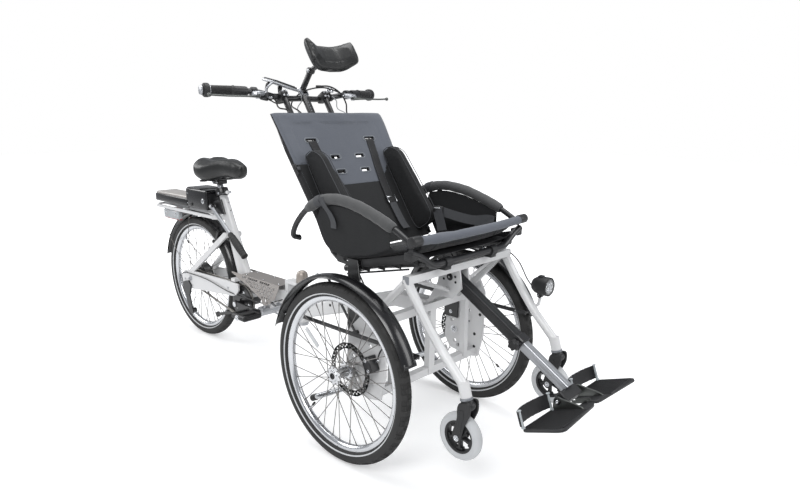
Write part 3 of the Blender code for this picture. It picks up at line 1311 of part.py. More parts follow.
def bicycle_frame(bicycle):
    foot, top = mast(MAST_FOOT_HEIGHT), mast(MAST_TOP_HEIGHT)
    tall = rod(foot, top, 0.5, 14, 0.5 * MAST_TOP_DEEP / MAST_FOOT_DEEP)
    lean = turn_to(top - foot)
    square = Matrix.Translation(foot) @ lean @ Matrix.Diagonal((MAST_FOOT_DEEP, MAST_FOOT_WIDE, 1,
                                                                1)) @ lean.inverted()
    place(tall, square @ Matrix.Translation(-foot))
    shaft = rod(mast(0.50), mast(0.80), POST_RADIUS + 2 * CLEAR, 10)
    beam_front = -STEER_BEHIND - 0.078
    spine = beam(at(-MAST_FOOT_BEHIND - 0.020, 0, BEAM_HEIGHT), at(beam_front, 0, BEAM_HEIGHT), BEAM_WIDTH,
                 BEAM_DEPTH)
    web = block((0.020, 0.044, HEAD_HIGH - HEAD_LOW + 2 * LUG_THICK + 2 * CLEAR),
                at(beam_front, 0, (HEAD_HIGH + HEAD_LOW) / 2))
    lugs = []
    for height in (HEAD_HIGH + CLEAR + LUG_THICK / 2, HEAD_LOW - CLEAR - LUG_THICK / 2):
        reach = 0.080
        outline = [(x - STEER_BEHIND, y) for x, y in circle((0, 0), 0.024, 10, math.radians(-90))[:6]]
        outline += [(-STEER_BEHIND - reach, 0.024), (-STEER_BEHIND - reach, -0.024)]
        lug = sheet(outline, LUG_THICK)
        lugs.append(moved(lug, at(0, 0, height)))
    pin = rod(at(-STEER_BEHIND, 0, HEAD_LOW - LUG_THICK),
              at(-STEER_BEHIND, 0, HEAD_HIGH + LUG_THICK + 0.010), PIN_RADIUS, 10)
    cap = place(turned([(0, 0.052), (0.014, 0.049), (0.022, 0.038), (0.024, 0), (0, 0)], 12),
                Matrix.Translation(at(-STEER_BEHIND, 0, HEAD_HIGH + CLEAR + LUG_THICK - 0.001))
                @ Matrix.Rotation(math.radians(90), 4, "X"))
    shell = rod(at(-CRANK_BEHIND, -SHELL_HALF, CRANK_HEIGHT), at(-CRANK_BEHIND, SHELL_HALF, CRANK_HEIGHT),
                SHELL_RADIUS + 0.004,
                10)
    hanger = beam(at(-CRANK_BEHIND, 0, CRANK_HEIGHT), at(-CRANK_BEHIND - 0.006, 0, BEAM_HEIGHT), 0.046,
                  0.036)
    axle = rod(at(-WHEELBASE, -STAY_HALF, AXLE_HEIGHT), at(-WHEELBASE, STAY_HALF, AXLE_HEIGHT),
               SHAFT_RADIUS, 10)
    ring_clear = CRANK_BEHIND + pitch_radius(RING_TEETH) + CHAIN_DEPTH + 0.001
    bridges = [beam(at(-ring_clear - 0.010, -STAY_HALF, 0.308), at(-ring_clear - 0.010, STAY_HALF, 0.308),
                    0.020, 0.024),
               beam(aft(0.396, 0, 0.312), at(-ring_clear - 0.010, 0, 0.308), 0.030, 0.022),
               beam(aft(0.366, -STAY_HALF, 0.357), aft(0.366, STAY_HALF, 0.357), 0.030, 0.014),
               beam(mast(0.546, -0.010, -0.042), mast(0.546, -0.010, 0.042), 0.020, 0.020)]
    halves = []
    for made in (side_plate(stay_outline(), STAY_HALF, STAY_THICK),
                 beam(mast(0.548, -0.010, 0.037), aft(-0.014, STAY_HALF, 0.318), 0.012, 0.026),
                 beam(aft(0.251, 0.010, RACK_HEIGHT), aft(0.196, RACK_HALF, RACK_HEIGHT), 0.012, 0.020),
                 beam(aft(0.201, RACK_HALF, RACK_HEIGHT),
                      at(-WHEELBASE - TAIL + 0.008, RACK_HALF, RACK_HEIGHT), RACK_RAIL,
                      0.014)):
        halves += [made, mirrored(made)]
    for ahead in (0.191, -0.059, -TAIL + 0.021):
        halves.append(beam(aft(ahead, -RACK_HALF, RACK_CROSS), aft(ahead, RACK_HALF, RACK_CROSS), 0.014,
                           0.008))
    tray_low = RACK_CROSS - 0.004
    tray = block((0.470, 0.050, BATTERY_FLOOR - CLEAR - tray_low),
                 aft(-0.064, 0, (BATTERY_FLOOR - CLEAR + tray_low) / 2))
    lever_at = hand_lever_pivot()
    ear = side_plate([(x - WHEELBASE, z) for x,
                      z in ((0.231, 0.706), (0.175, 0.690), (0.175, 0.652), (0.261, 0.640))],
                     -0.022, 0.022)
    ear_pin = rod(lever_at + Vector((0, 0.024, 0)), lever_at - Vector((0, 0.012, 0)), 0.005, 8)
    stand_at = kickstand_pivot()
    lug_low = block((0.030, 0.020, 0.126), stand_at + Vector((0.004, 0.0135, 0.053)))
    stand_pin = rod(stand_at + Vector((0, 0.014, 0)), stand_at - Vector((0, 0.0070, 0)), 0.005, 8)
    latch = at(-CRANK_BEHIND + 0.140, 0, 0.247)
    latch_roll = rod(latch - Vector((0, 0.048, 0)), latch + Vector((0, 0.048, 0)), 0.021, 10)
    latch_arms = [beam(latch, latch + Vector((0.035, 0, 0.075)), 0.030, 0.026),
                  beam(latch, latch + Vector((-0.064, 0, -0.036)), 0.020, 0.018)]
    clamp = rod(mast(MAST_TOP_HEIGHT - 0.020), mast(MAST_TOP_HEIGHT + 0.004), 0.029, 12)
    quick = beam(mast(MAST_TOP_HEIGHT - 0.008, 0.020, -0.022),
                 mast(MAST_TOP_HEIGHT - 0.004, 0.085, -0.030), 0.008, 0.010)
    frame = joined(tall, spine, web, pin, cap, hanger, axle, *bridges, tray, ear, ear_pin, lug_low,
                   stand_pin, clamp, quick,
                   latch_roll, *latch_arms, *lugs,
                   *halves)
    frame = joined(frame, shell)
    bore = rod(at(-CRANK_BEHIND, -0.06, CRANK_HEIGHT), at(-CRANK_BEHIND, 0.06, CRANK_HEIGHT),
               hole_for(0.010, 10), 10)
    node("bicycle_frame", cut(frame, shaft, bore), WHITE, bicycle)


def hand_lever_pivot():
    return aft(0.195, -0.050, 0.672)


def hand_lever(bicycle):
    pivot = hand_lever_pivot()
    carrier = body("hand_lever", pivot, bicycle)
    direction = arm(1, 0, 38)
    eye = rod(pivot + Vector((0, -0.007, 0)), pivot + Vector((0, 0.007, 0)), 0.014, 12)
    bar = rod(pivot, pivot + direction * 0.210, 0.006, 8)
    grip = rod(pivot + direction * 0.180, pivot + direction * 0.318, 0.0165, 12, 0.0155)
    bore = rod(pivot + Vector((0, -0.02, 0)), pivot + Vector((0, 0.02, 0)), hole_for(0.005, 8), 8)
    node("hand_lever", cut(joined(eye, bar, grip), bore), RUBBER, carrier)


def kickstand_pivot():
    return aft(0.346, -0.0325, 0.196)


def kickstand(bicycle):
    pivot = kickstand_pivot()
    carrier = body("kickstand", pivot, bicycle)
    direction = Vector((-math.cos(math.radians(17)), 0, -math.sin(math.radians(17))))
    eye = rod(pivot + Vector((0, -0.007, 0)), pivot + Vector((0, 0.0027, 0)), 0.012, 12)
    leg_bar = beam(pivot - Vector((0, 0.002, 0)), pivot + direction * 0.190 - Vector((0, 0.002, 0)),
                   0.0085, 0.014)
    foot = rod(pivot + direction * 0.182 - Vector((0, 0.007, 0)),
               pivot + direction * 0.182 + Vector((0, 0.0055, 0)), 0.013, 10)
    bore = rod(pivot + Vector((0, -0.02, 0)), pivot + Vector((0, 0.02, 0)), hole_for(0.005, 8), 8)
    node("kickstand", cut(joined(eye, leg_bar, foot), bore), BLACK, carrier)


def rear_fender(bicycle):
    half = 0.029
    shell = moved(fender_shell(15, 168, half, 10), at(-WHEELBASE, 0, AXLE_HEIGHT))
    brace = beam(aft(-0.059, 0, 0.612), aft(-0.059, 0, RACK_CROSS - 0.004 - CLEAR), 0.024, 0.012)
    node("fender_rear", joined(shell, brace), PLASTIC, bicycle)


def rim_brake(bicycle):
    """Two brake arms on the seat stays, joined over the tyre by the cable's pipe."""
    parts = []
    slant = math.radians(50)
    for way in (1, -1):
        low = aft(0.1575, way * 0.0330, 0.453)
        high = at(-WHEELBASE + 0.340 * math.cos(slant), way * 0.0357, AXLE_HEIGHT + 0.340 * math.sin(slant))
        parts.append(beam(low, high, 0.0092, 0.012))
        pad_middle = at(-WHEELBASE + 0.243 * math.cos(slant), way * 0.0195,
                        AXLE_HEIGHT + 0.243 * math.sin(slant))
        parts.append(rod(pad_middle, low.lerp(high, 0.27), 0.005, 6))
        parts.append(block((0.050, 0.010, 0.011), pad_middle, fall=40))
    tops = at(-WHEELBASE + 0.336 * math.cos(slant), 0, AXLE_HEIGHT + 0.336 * math.sin(slant))
    pipe = rod(tops + Vector((0, -0.046, 0)), tops + Vector((0, 0.046, 0)), 0.003, 6)
    node("rim_brake", joined(parts[0], *parts[1:], pipe), BLACK, bicycle)


def deck(bicycle):
    """The folded and pierced sheet over the beam."""
    rear, front = -DECK_REAR, -DECK_FRONT
    thick = 0.0022
    flare = math.radians(64)
    over_crank = DECK_TOP - (CRANK_HALF - 0.010 - DECK_HALF) * math.tan(flare)

    def lower_edge(share, drop):
        """A point of the side's lower edge, kept above the turning cranks."""
        x = rear + share * (front - rear)
        swept = x + CRANK_BEHIND < CRANK_LENGTH + 0.018
        return x, max(DECK_TOP - drop, over_crank if swept else 0)

    lower = [lower_edge(*spot) for spot in ((0.006, 0.004), (0.168, 0.018), (0.376, 0.034), (0.735, 0.080),
                                            (0.790, 0.086), (0.890, 0.086), (1.0, 0.056))]

    def side_point(x, z):
        return at(x, DECK_HALF + (DECK_TOP - z) / math.tan(flare), z)

    top_edge = [at(x, DECK_HALF, DECK_TOP) for x, _ in lower]
    columns = []
    for (x, z), edge in zip(lower, top_edge):
        outer = side_point(x, z)
        columns.append([outer, edge, Vector((edge.x, -edge.y, edge.z)),
                        Vector((outer.x, -outer.y, outer.z))])
    folded = grid(columns, thick)
    mast_front = -MAST_FOOT_BEHIND + 0.009
    cutters = [block((0.2, 2 * (MAST_FOOT_WIDE / 2 + 0.002), 0.02), at(mast_front - 0.1, 0, DECK_TOP))]
    step = (front - rear) / SLOT_SHARES
    for first, count, drop, long in ((2.8, 6, 0.016, 0.6), (4.9, 3, 0.036, 0.36)):
        for k in range(count):
            middle = side_point(rear + (first + k) * step, DECK_TOP - drop)
            for way in (1, -1):
                cutters.append(block((long * step, 0.030, 0.007),
                                     Vector((middle.x, way * middle.y, middle.z))))
    node("deck_cover", cut(folded, *cutters), SHEET, bicycle)


def battery(bicycle):
    rear = -WHEELBASE - TAIL
    front = rear + BATTERY_LONG
    carrier = body("battery", at(rear + 0.2, 0, BATTERY_FLOOR), bicycle)
    long = block((0.330, 2 * BATTERY_HALF, 0.050), at(rear + 0.165, 0, BATTERY_FLOOR + 0.025), bevel=0.008)
    tall = block((BATTERY_LONG - 0.310, 2 * BATTERY_HALF, 0.094),
                 at(front - (BATTERY_LONG - 0.310) / 2, 0, BATTERY_FLOOR + 0.047),
                 bevel=0.008)
    lock = rod(at(front - 0.026, -BATTERY_HALF + 0.006, 0.690),
               at(front - 0.026, -BATTERY_HALF - 0.006, 0.690), 0.010, 10)
    node("battery", joined(long, tall, lock), PLASTIC, carrier)


def tail_light(bicycle):
    high = RACK_HEIGHT - 0.007 - CLEAR
    case = block((0.150, 0.108, high - 0.567), aft(-0.186, 0, (high + 0.567) / 2), bevel=0.006)
    axle = at(-WHEELBASE, 0, AXLE_HEIGHT)
    hollow = rod(axle - Vector((0, 0.033, 0)), axle + Vector((0, 0.033, 0)), WHEEL_RADIUS + 0.032, 48)
    node("tail_light", cut(case, hollow), LENS, bicycle)


def saddle(bicycle):
    carrier = body("saddle_post", mast(0.55), bicycle)
    lean = (mast(1.0) - mast(0.0)).normalized()
    head = mast(0.778)
    post = rod(mast(0.520), head, POST_RADIUS, 10)
    clamp = block((0.046, 0.050, 0.020), head + Vector((0.004, 0, 0.004)), bevel=0.003)
    node("seat_post", joined(post, clamp), BLACK, carrier)

    length = SADDLE_REAR - SADDLE_NOSE
    sections = []
    widths = ((0.0, 0.62, 0.90), (0.06, 0.90, 1.0), (0.22, 1.0, 1.0), (0.42, 0.80, 0.90),
              (0.66, 0.34, 0.80),
              (0.94, 0.20, 0.74), (1.0, 0.12, 0.52))
    for share, wide, tall in widths:
        x = -SADDLE_REAR + share * length
        half = SADDLE_HALF * wide
        top = SADDLE_TOP - 0.022 * math.sin(math.pi * min(share * 1.15, 1)) + 0.004 * share
        deep = 0.058 * tall * (1 - 0.25 * share)
        loop = []
        for k in range(8):
            a = 2 * math.pi * k / 8
            loop.append(at(x, half * math.cos(a),
                           top - deep * 0.45 + deep * (0.45 if math.sin(a) > 0 else 0.55) * math.sin(a)))
        sections.append(loop)
    seat = cushioned(grid(sections, closed=True), 1)
    rails = []
    for way in (1, -1):
        route = [(0.383, 0.012, 0.852), (0.351, 0.020, 0.815), (0.291, 0.022, 0.803),
                 (0.211, 0.022, 0.7975),
                 (0.166, 0.040, 0.790), (0.143, 0.056, 0.786)]
        route = smooth([aft(ahead, way * left, height) for ahead, left, height in route], 1)
        rails.append(tube(route, 0.0035, 0))
        rails.append(rod(aft(0.143, way * 0.056, 0.783), aft(0.143, way * 0.056, 0.789), 0.016, 10))
        rails.append(spring(aft(0.143, way * 0.056, 0.789), 0.050))
    yoke = block((0.030, 0.058, 0.008), aft(0.211, 0, 0.7964))
    node("saddle", joined(seat, *rails, yoke), LEATHER, carrier)


def spring(foot, height):
    """A coil spring: one unbroken tube that stands on foot."""
    steps = 6
    count = SPRING_TURNS * steps
    points = [foot + polar(SPRING_RADIUS, 0,
                           2 * math.pi * k / steps).xzy + Vector((0, 0, height * k / count))
              for k in range(count + 1)]
    gap = height / SPRING_TURNS - 2 * SPRING_WIRE
    print(f"saddle spring: {SPRING_TURNS} turns, least gap {gap * 1000:.2f} mm")
    return tube(points, SPRING_WIRE, 0)


def crankset(bicycle):
    centre = at(-CRANK_BEHIND, 0, CRANK_HEIGHT)
    carrier = body("crank", centre, bicycle)
    ring_radius = pitch_radius(RING_TEETH)
    ring = sheet(sprocket_outline(RING_TEETH), SPROCKET_THICK,
                 holes=[circle((0.044 * math.cos(a), 0.044 * math.sin(a)), 0.015, 6, a)
                        for a in (2 * math.pi * k / 5 for k in range(5))])
    place(ring,
          Matrix.Translation(centre + Vector((0, -CHAIN_LINE, 0))) @ Matrix.Rotation(math.radians(90), 4, "X"))
    axle = rod(centre + Vector((0, -CRANK_HALF, 0)), centre + Vector((0, CRANK_HALF, 0)), 0.010, 10)
    arms = []
    for side, way in ((-1, 1), (1, -1)):
        root = centre + Vector((0, side * CRANK_HALF, 0))
        tip = root + Vector((way * CRANK_LENGTH, 0, 0))
        arms.append(beam(root, tip, 0.011, 0.024))
        arms.append(rod(root - Vector((0, side * 0.006, 0)), root + Vector((0, side * 0.007, 0)), 0.018, 8))
        arms.append(rod(tip - Vector((0, side * 0.006, 0)), tip + Vector((0, side * 0.006, 0)), 0.014, 8))
        arms.append(rod(tip, tip + Vector((0, side * 0.104, 0)), 0.005, 6))
    node("crankset", joined(ring, axle, *arms), STEEL, carrier)
    for side, way, word in ((-1, 1, "right"), (1, -1, "left")):
        pedal(centre + Vector((way * CRANK_LENGTH, side * CRANK_HALF, 0)), side, word, carrier)


def pedal(tip, side, word, crank):
    carrier = body(f"pedal_{word}", tip, crank)
    middle = tip + Vector((0, side * 0.058, 0))
    frame = block((0.098, 0.092, 0.022), middle, bevel=0.006)
    windows = [block((0.026, 0.060, 0.05), middle + Vector((way * 0.029, 0, 0))) for way in (1, -1)]
    bore = rod(tip, tip + Vector((0, side * 0.2, 0)), hole_for(0.005, 8), 8)
    node(f"pedal_{word}", cut(frame, *windows, bore), PLASTIC, carrier)


def tangent_route(first, first_radius, second, second_radius):
    """The belt line round two wheels, in (ahead, height), as a closed loop."""
    gap = Vector(second) - Vector(first)
    heading = math.atan2(gap.y, gap.x)
    swing = math.acos((first_radius - second_radius) / gap.length)
    points = []
    for centre, radius, start, end, steps in (
            (first, first_radius, heading + swing, heading - swing + 2 * math.pi, 16),
            (second, second_radius, heading - swing, heading + swing, 9)):
        for k in range(steps + 1):
            a = start + (end - start) * k / steps
            points.append((centre[0] + radius * math.cos(a), centre[1] + radius * math.sin(a)))
    return points


def chain(bicycle):
    """The chain as a closed band round the ring and the sprocket, outside their teeth."""
    gap = 2 * CLEAR
    ring = (-CRANK_BEHIND, CRANK_HEIGHT)
    sprocket = (-WHEELBASE, AXLE_HEIGHT)
    inner = tangent_route(ring, pitch_radius(RING_TEETH) + gap, sprocket,
                          pitch_radius(SPROCKET_TEETH) + gap)
    outer = tangent_route(ring, pitch_radius(RING_TEETH) + gap + CHAIN_DEPTH, sprocket,
                          pitch_radius(SPROCKET_TEETH) + gap + CHAIN_DEPTH)
    node("chain", side_plate(outer, -CHAIN_LINE, CHAIN_WIDTH, [inner]), STEEL, bicycle)


def derailleur(bicycle):
    """The hanger, parallelogram and cage behind the rear axle's right end."""
    left = -STAY_HALF - STAY_THICK / 2 - CLEAR - 0.004
    knuckle = [(0.009, 0.262), (-0.015, 0.284), (-0.059, 0.272), (-0.071, 0.236), (-0.039, 0.200),
               (-0.007, 0.214)]
    cage = [(-0.019, 0.236), (-0.055, 0.228), (-0.023, 0.124), (-0.003, 0.112), (0.015, 0.124)]
    plates = [side_plate([(ahead - WHEELBASE, height) for ahead, height in outline], place_left, thick)
              for outline, place_left, thick in ((knuckle, left, 0.008), (cage, left + 0.0005, 0.006))]
    jockey = rod(aft(-0.005, left, 0.130), aft(-0.005, -CHAIN_LINE - CHAIN_WIDTH / 2 - 0.001, 0.130),
                 0.012, 10)
    node("derailleur", joined(*plates, jockey), PLASTIC, bicycle)


def build():
    chair = body("chair", at(0, 0, 0))
    bicycle = body("bicycle", at(-STEER_BEHIND, 0, HEAD_LOW), chair)
    recline = body("recline", at(HINGE_AHEAD, 0, HINGE_HEIGHT), chair)
    chair_frame(chair)
    for side, word in ((1, "left"), (-1, "right")):
        front_wheel(side, word, chair)
        castor(side, word, chair)
        front_fender(side, word, chair)
        caliper(side, word, chair)
        arm_side(side, word, chair)
        side_pad(side, word, recline)
        belt(side, word, recline)
    headlight(chair)
    leg_rest(chair)
    seat_frame(chair)
    seat_cushion(chair)
    back_frame(recline)
    back_cover(recline)
    handlebar(recline)
    headrest(recline)
    bicycle_frame(bicycle)
    rear_wheel(bicycle)
    rear_sprocket(bicycle)
    rear_fender(bicycle)
    rim_brake(bicycle)
    deck(bicycle)
    battery(bicycle)
    tail_light(bicycle)
    saddle(bicycle)
    crankset(bicycle)
    chain(bicycle)
    derailleur(bicycle)
    hand_lever(bicycle)
    kickstand(bicycle)


build()
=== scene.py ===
# %% [markdown]
# A wheelchair bicycle: a reclined seat on two large wheels and two castors in front, and the
# rear half of an electric bicycle behind it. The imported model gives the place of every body.
# This file dresses it: first the camera and light, then the finishes, then piece after piece.

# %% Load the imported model
import bpy
import bmesh
import json
import math
from mathutils import Matrix, Vector, noise

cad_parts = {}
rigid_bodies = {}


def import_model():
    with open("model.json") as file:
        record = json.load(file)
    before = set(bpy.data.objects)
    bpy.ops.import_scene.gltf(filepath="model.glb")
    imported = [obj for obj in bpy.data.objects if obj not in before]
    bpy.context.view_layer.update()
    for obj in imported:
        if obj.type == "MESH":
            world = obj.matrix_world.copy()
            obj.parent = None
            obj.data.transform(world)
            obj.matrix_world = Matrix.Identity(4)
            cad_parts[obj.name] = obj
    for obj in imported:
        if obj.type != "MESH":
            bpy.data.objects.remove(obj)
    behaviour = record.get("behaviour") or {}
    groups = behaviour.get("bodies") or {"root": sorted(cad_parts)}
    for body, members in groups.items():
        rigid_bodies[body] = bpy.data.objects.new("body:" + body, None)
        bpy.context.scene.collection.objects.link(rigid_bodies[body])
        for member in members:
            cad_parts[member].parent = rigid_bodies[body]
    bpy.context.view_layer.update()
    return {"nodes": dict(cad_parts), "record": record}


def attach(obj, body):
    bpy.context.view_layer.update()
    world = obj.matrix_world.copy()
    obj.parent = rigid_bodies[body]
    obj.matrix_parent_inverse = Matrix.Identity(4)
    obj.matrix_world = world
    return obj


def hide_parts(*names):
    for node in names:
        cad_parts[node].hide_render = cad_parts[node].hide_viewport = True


for leftover in list(bpy.data.objects):
    bpy.data.objects.remove(leftover, do_unlink=True)
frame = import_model()
BODY_OF = {node: body for body, held in frame["record"]["behaviour"]["bodies"].items() for node in held}

# %% [markdown]
# The camera stands in front of the vehicle, to its right, at a standing person's chest height.
# Its place was worked out from the round wheels: a circle seen aslant tells where the eye is.
# A camera looks along its own -Z, so its turn is built from the three directions of the view.

# %% Camera
CAMERA_AT = Vector((1.9093, -1.6015, 1.1235))
CAMERA_AZIMUTH = math.radians(42.558)
CAMERA_ELEVATION = math.radians(12.573)
CAMERA_ROLL = math.radians(0.621)
CAMERA_LENS = 28.65
SENSOR_WIDTH = 36


def new_object(name, data):
    """An object that is part of the scene."""
    made = bpy.data.objects.new(name, data)
    bpy.context.scene.collection.objects.link(made)
    return made


backwards = Vector((math.sin(CAMERA_AZIMUTH) * math.cos(CAMERA_ELEVATION),
    -math.cos(CAMERA_AZIMUTH) * math.cos(CAMERA_ELEVATION), math.sin(CAMERA_ELEVATION)))
level = Vector((math.cos(CAMERA_AZIMUTH), math.sin(CAMERA_AZIMUTH), 0))
upwards = backwards.cross(level)
right = level * math.cos(CAMERA_ROLL) + upwards * math.sin(CAMERA_ROLL)
top = upwards * math.cos(CAMERA_ROLL) - level * math.sin(CAMERA_ROLL)
camera = new_object("camera", bpy.data.cameras.new("camera"))
camera.data.lens = CAMERA_LENS
camera.data.sensor_width = SENSOR_WIDTH
camera.matrix_world = Matrix.LocRotScale(CAMERA_AT,
    Matrix((right, top, backwards)).transposed().to_quaternion(), None)
bpy.context.scene.camera = camera
bpy.context.scene.view_settings.view_transform = "Standard"
print("camera at", [round(c, 2) for c in CAMERA_AT])

# %% [markdown]
# Light comes from large soft panels, as in a photographer's white room: one high on the camera's
# left, one on its right, one overhead and one behind. For the camera alone the floor also glows,
# faintly near the tyres and fully farther off, so it keeps their soft shadow and ends in white.

# %% Lamps and surroundings
def panel(name, place, aim, size, power):
    lamp = bpy.data.lights.new(name, "AREA")
    lamp.shape = "RECTANGLE"
    lamp.size, lamp.size_y = size
    lamp.energy = power
    holder = new_object(name, lamp)
    direction = Vector(aim) - Vector(place)
    holder.matrix_world = Matrix.Translation(place) @ direction.to_track_quat("-Z", "Y").to_matrix().to_4x4()


panel("key_panel", (2.2, -3.6, 3.6), (0.1, 0, 0.5), (2.6, 2.0), 125)
panel("side_panel", (3.6, 1.6, 2.2), (0.3, 0, 0.5), (1.8, 2.4), 55)
panel("top_panel", (-0.3, 0.3, 4.2), (0, 0, 0), (3.6, 2.6), 105)
panel("rear_panel", (-3.4, -1.6, 2.4), (-0.2, 0, 0.5), (2.0, 2.0), 60)


def add_node(tree, kind, settings=None, **wired):
    """A shader node: settings are its own values, and wired names an input's value or a socket to link."""
    made = tree.nodes.new("ShaderNode" + kind)
    for label, value in (settings or {}).items():
        setattr(made, label, value)
    for label, value in wired.items():
        socket = made.inputs[int(label[1:]) if label[1:].isdigit() else label.replace("_", " ")]
        if isinstance(value, bpy.types.NodeSocket):
            tree.links.new(value, socket)
        else:
            socket.default_value = value
    return made


world = bpy.data.worlds.new("white_room")
bpy.context.scene.world = world
world.use_nodes = True
tree = world.node_tree
tree.nodes.clear()
rays = add_node(tree, "LightPath").outputs
seen = add_node(tree, "Math", {"operation": "MAXIMUM"}, _0=rays["Is Camera Ray"],
    _1=rays["Is Transmission Ray"])
room_light = add_node(tree, "Background", Color=(0.92, 0.95, 1.0, 1), Strength=0.42)
room_white = add_node(tree, "Background", Color=(1, 1, 1, 1), Strength=1.0)
choose = add_node(tree, "MixShader", _0=seen.outputs[0], _1=room_light.outputs[0], _2=room_white.outputs[0])
add_node(tree, "OutputWorld", Surface=choose.outputs[0])

# %% Floor
floor_bm = bmesh.new()
bmesh.ops.create_grid(floor_bm, x_segments=2, y_segments=2, size=14)
floor_mesh = bpy.data.meshes.new("floor")
floor_bm.to_mesh(floor_mesh)
floor_bm.free()
floor = new_object("floor", floor_mesh)
floor.location.z = -0.0005
floor_finish = bpy.data.materials.new("floor_white")
floor_finish.use_nodes = True
tree = floor_finish.node_tree
matt = tree.nodes["Principled BSDF"]
matt.inputs["Base Color"].default_value = (0.86, 0.86, 0.86, 1)
matt.inputs["Roughness"].default_value = 0.65
how_far = add_node(tree, "VectorMath", {"operation": "LENGTH"},
    _0=add_node(tree, "TexCoord").outputs["Object"])
whiter = add_node(tree, "MapRange", Value=how_far.outputs["Value"], From_Min=1.3, From_Max=3.2, To_Min=0.3,
    To_Max=1.0)
lifted = add_node(tree, "Emission", Color=(1, 1, 1, 1), Strength=whiter.outputs["Result"])
both = add_node(tree, "AddShader", _0=matt.outputs[0], _1=lifted.outputs[0])
eye = add_node(tree, "LightPath").outputs["Is Camera Ray"]
for_eye = add_node(tree, "MixShader", _0=eye, _1=matt.outputs[0], _2=both.outputs[0])
tree.links.new(for_eye.outputs[0], tree.nodes["Material Output"].inputs["Surface"])
floor.data.materials.append(floor_finish)
print("floor and four panels of light")

# %% [markdown]
# Finishes. Real surfaces differ in three ways: colour, how they spread light, and their fine
# relief. The relief and the uneven colour are shader groups, made once and used with each
# material's own values. Everything reads Object coordinates in metres, so a scale is per metre.

# %% A helper for shader groups
def shader_group(name, inputs, outputs):
    """An empty group with float inputs {name: default} and outputs {name: type}."""
    made = bpy.data.node_groups.new(name, "ShaderNodeTree")
    made.interface.new_socket("Vector", in_out="INPUT", socket_type="NodeSocketVector")
    for label, value in inputs.items():
        made.interface.new_socket(label, in_out="INPUT", socket_type="NodeSocketFloat").default_value = value
    for label in outputs:
        made.interface.new_socket(label, in_out="OUTPUT", socket_type="NodeSocketFloat")
    return made, made.nodes.new("NodeGroupInput"), made.nodes.new("NodeGroupOutput")


def maths(tree, operation, first, second, third=0.5):
    """The result of one Math node, fed by sockets or by plain numbers."""
    return add_node(tree, "Math", {"operation": operation}, _0=first, _1=second, _2=third).outputs[0]


# %% Grain: the pebbled skin of moulded plastic, cast rubber and sprayed paint
grain, g_in, g_out = shader_group("grain", {"Scale": 800.0, "Softness": 0.5}, ["Height", "Patches"])
feed = g_in.outputs
fine = add_node(grain, "TexNoise", Detail=2.0, Vector=feed["Vector"], Scale=feed["Scale"],
    Roughness=feed["Softness"])
broad = add_node(grain, "TexNoise", Detail=3.0, Vector=feed["Vector"],
    Scale=maths(grain, "MULTIPLY", feed["Scale"], 0.012))
grain.links.new(fine.outputs["Fac"], g_out.inputs["Height"])
grain.links.new(broad.outputs["Fac"], g_out.inputs["Patches"])
print("group", grain.name)

# %% Weave: threads that pass over and under, from crossed sine waves in all three directions
weave, w_in, w_out = shader_group("weave", {"Threads": 900.0}, ["Height", "Thread"])
feed = w_in.outputs
split = add_node(weave, "SeparateXYZ", _0=feed["Vector"])
waves = [maths(weave, "SINE", maths(weave, "MULTIPLY", split.outputs[axis], feed["Threads"]), 0.5)
    for axis in "XYZ"]
crossed = maths(weave, "MULTIPLY", waves[0], waves[1])
for first, second in ((1, 2), (0, 2)):
    crossed = maths(weave, "ADD", crossed, maths(weave, "MULTIPLY", waves[first], waves[second]))
weave.links.new(maths(weave, "MULTIPLY_ADD", crossed, 0.25, 0.5), w_out.inputs["Height"])
flecks = add_node(weave, "TexNoise", Detail=4.0, Vector=feed["Vector"],
    Scale=maths(weave, "MULTIPLY", feed["Threads"], 0.25))
weave.links.new(flecks.outputs["Fac"], w_out.inputs["Thread"])
print("group", weave.name)

# %% Wear: soft-edged marks where dust settles or hands and shoes rub
wear, r_in, r_out = shader_group("wear", {"Scale": 9.0, "Amount": 0.4}, ["Mask"])
feed = r_in.outputs
marks = add_node(wear, "TexNoise", Detail=7.0, Roughness=0.68, Vector=feed["Vector"], Scale=feed["Scale"])
faint = maths(wear, "SUBTRACT", 0.82, maths(wear, "MULTIPLY", feed["Amount"], 0.45))
spread = add_node(wear, "MapRange", Value=marks.outputs["Fac"], From_Min=faint, From_Max=0.86)
wear.links.new(spread.outputs["Result"], r_out.inputs["Mask"])
print("group", wear.name)

# %% [markdown]
# One function mixes a finish from those groups: a main colour, a second colour that shows in
# patches, and relief from grain or weave. What is the same all over, such as coat or sheen, goes
# straight on the Principled shader's own socket.

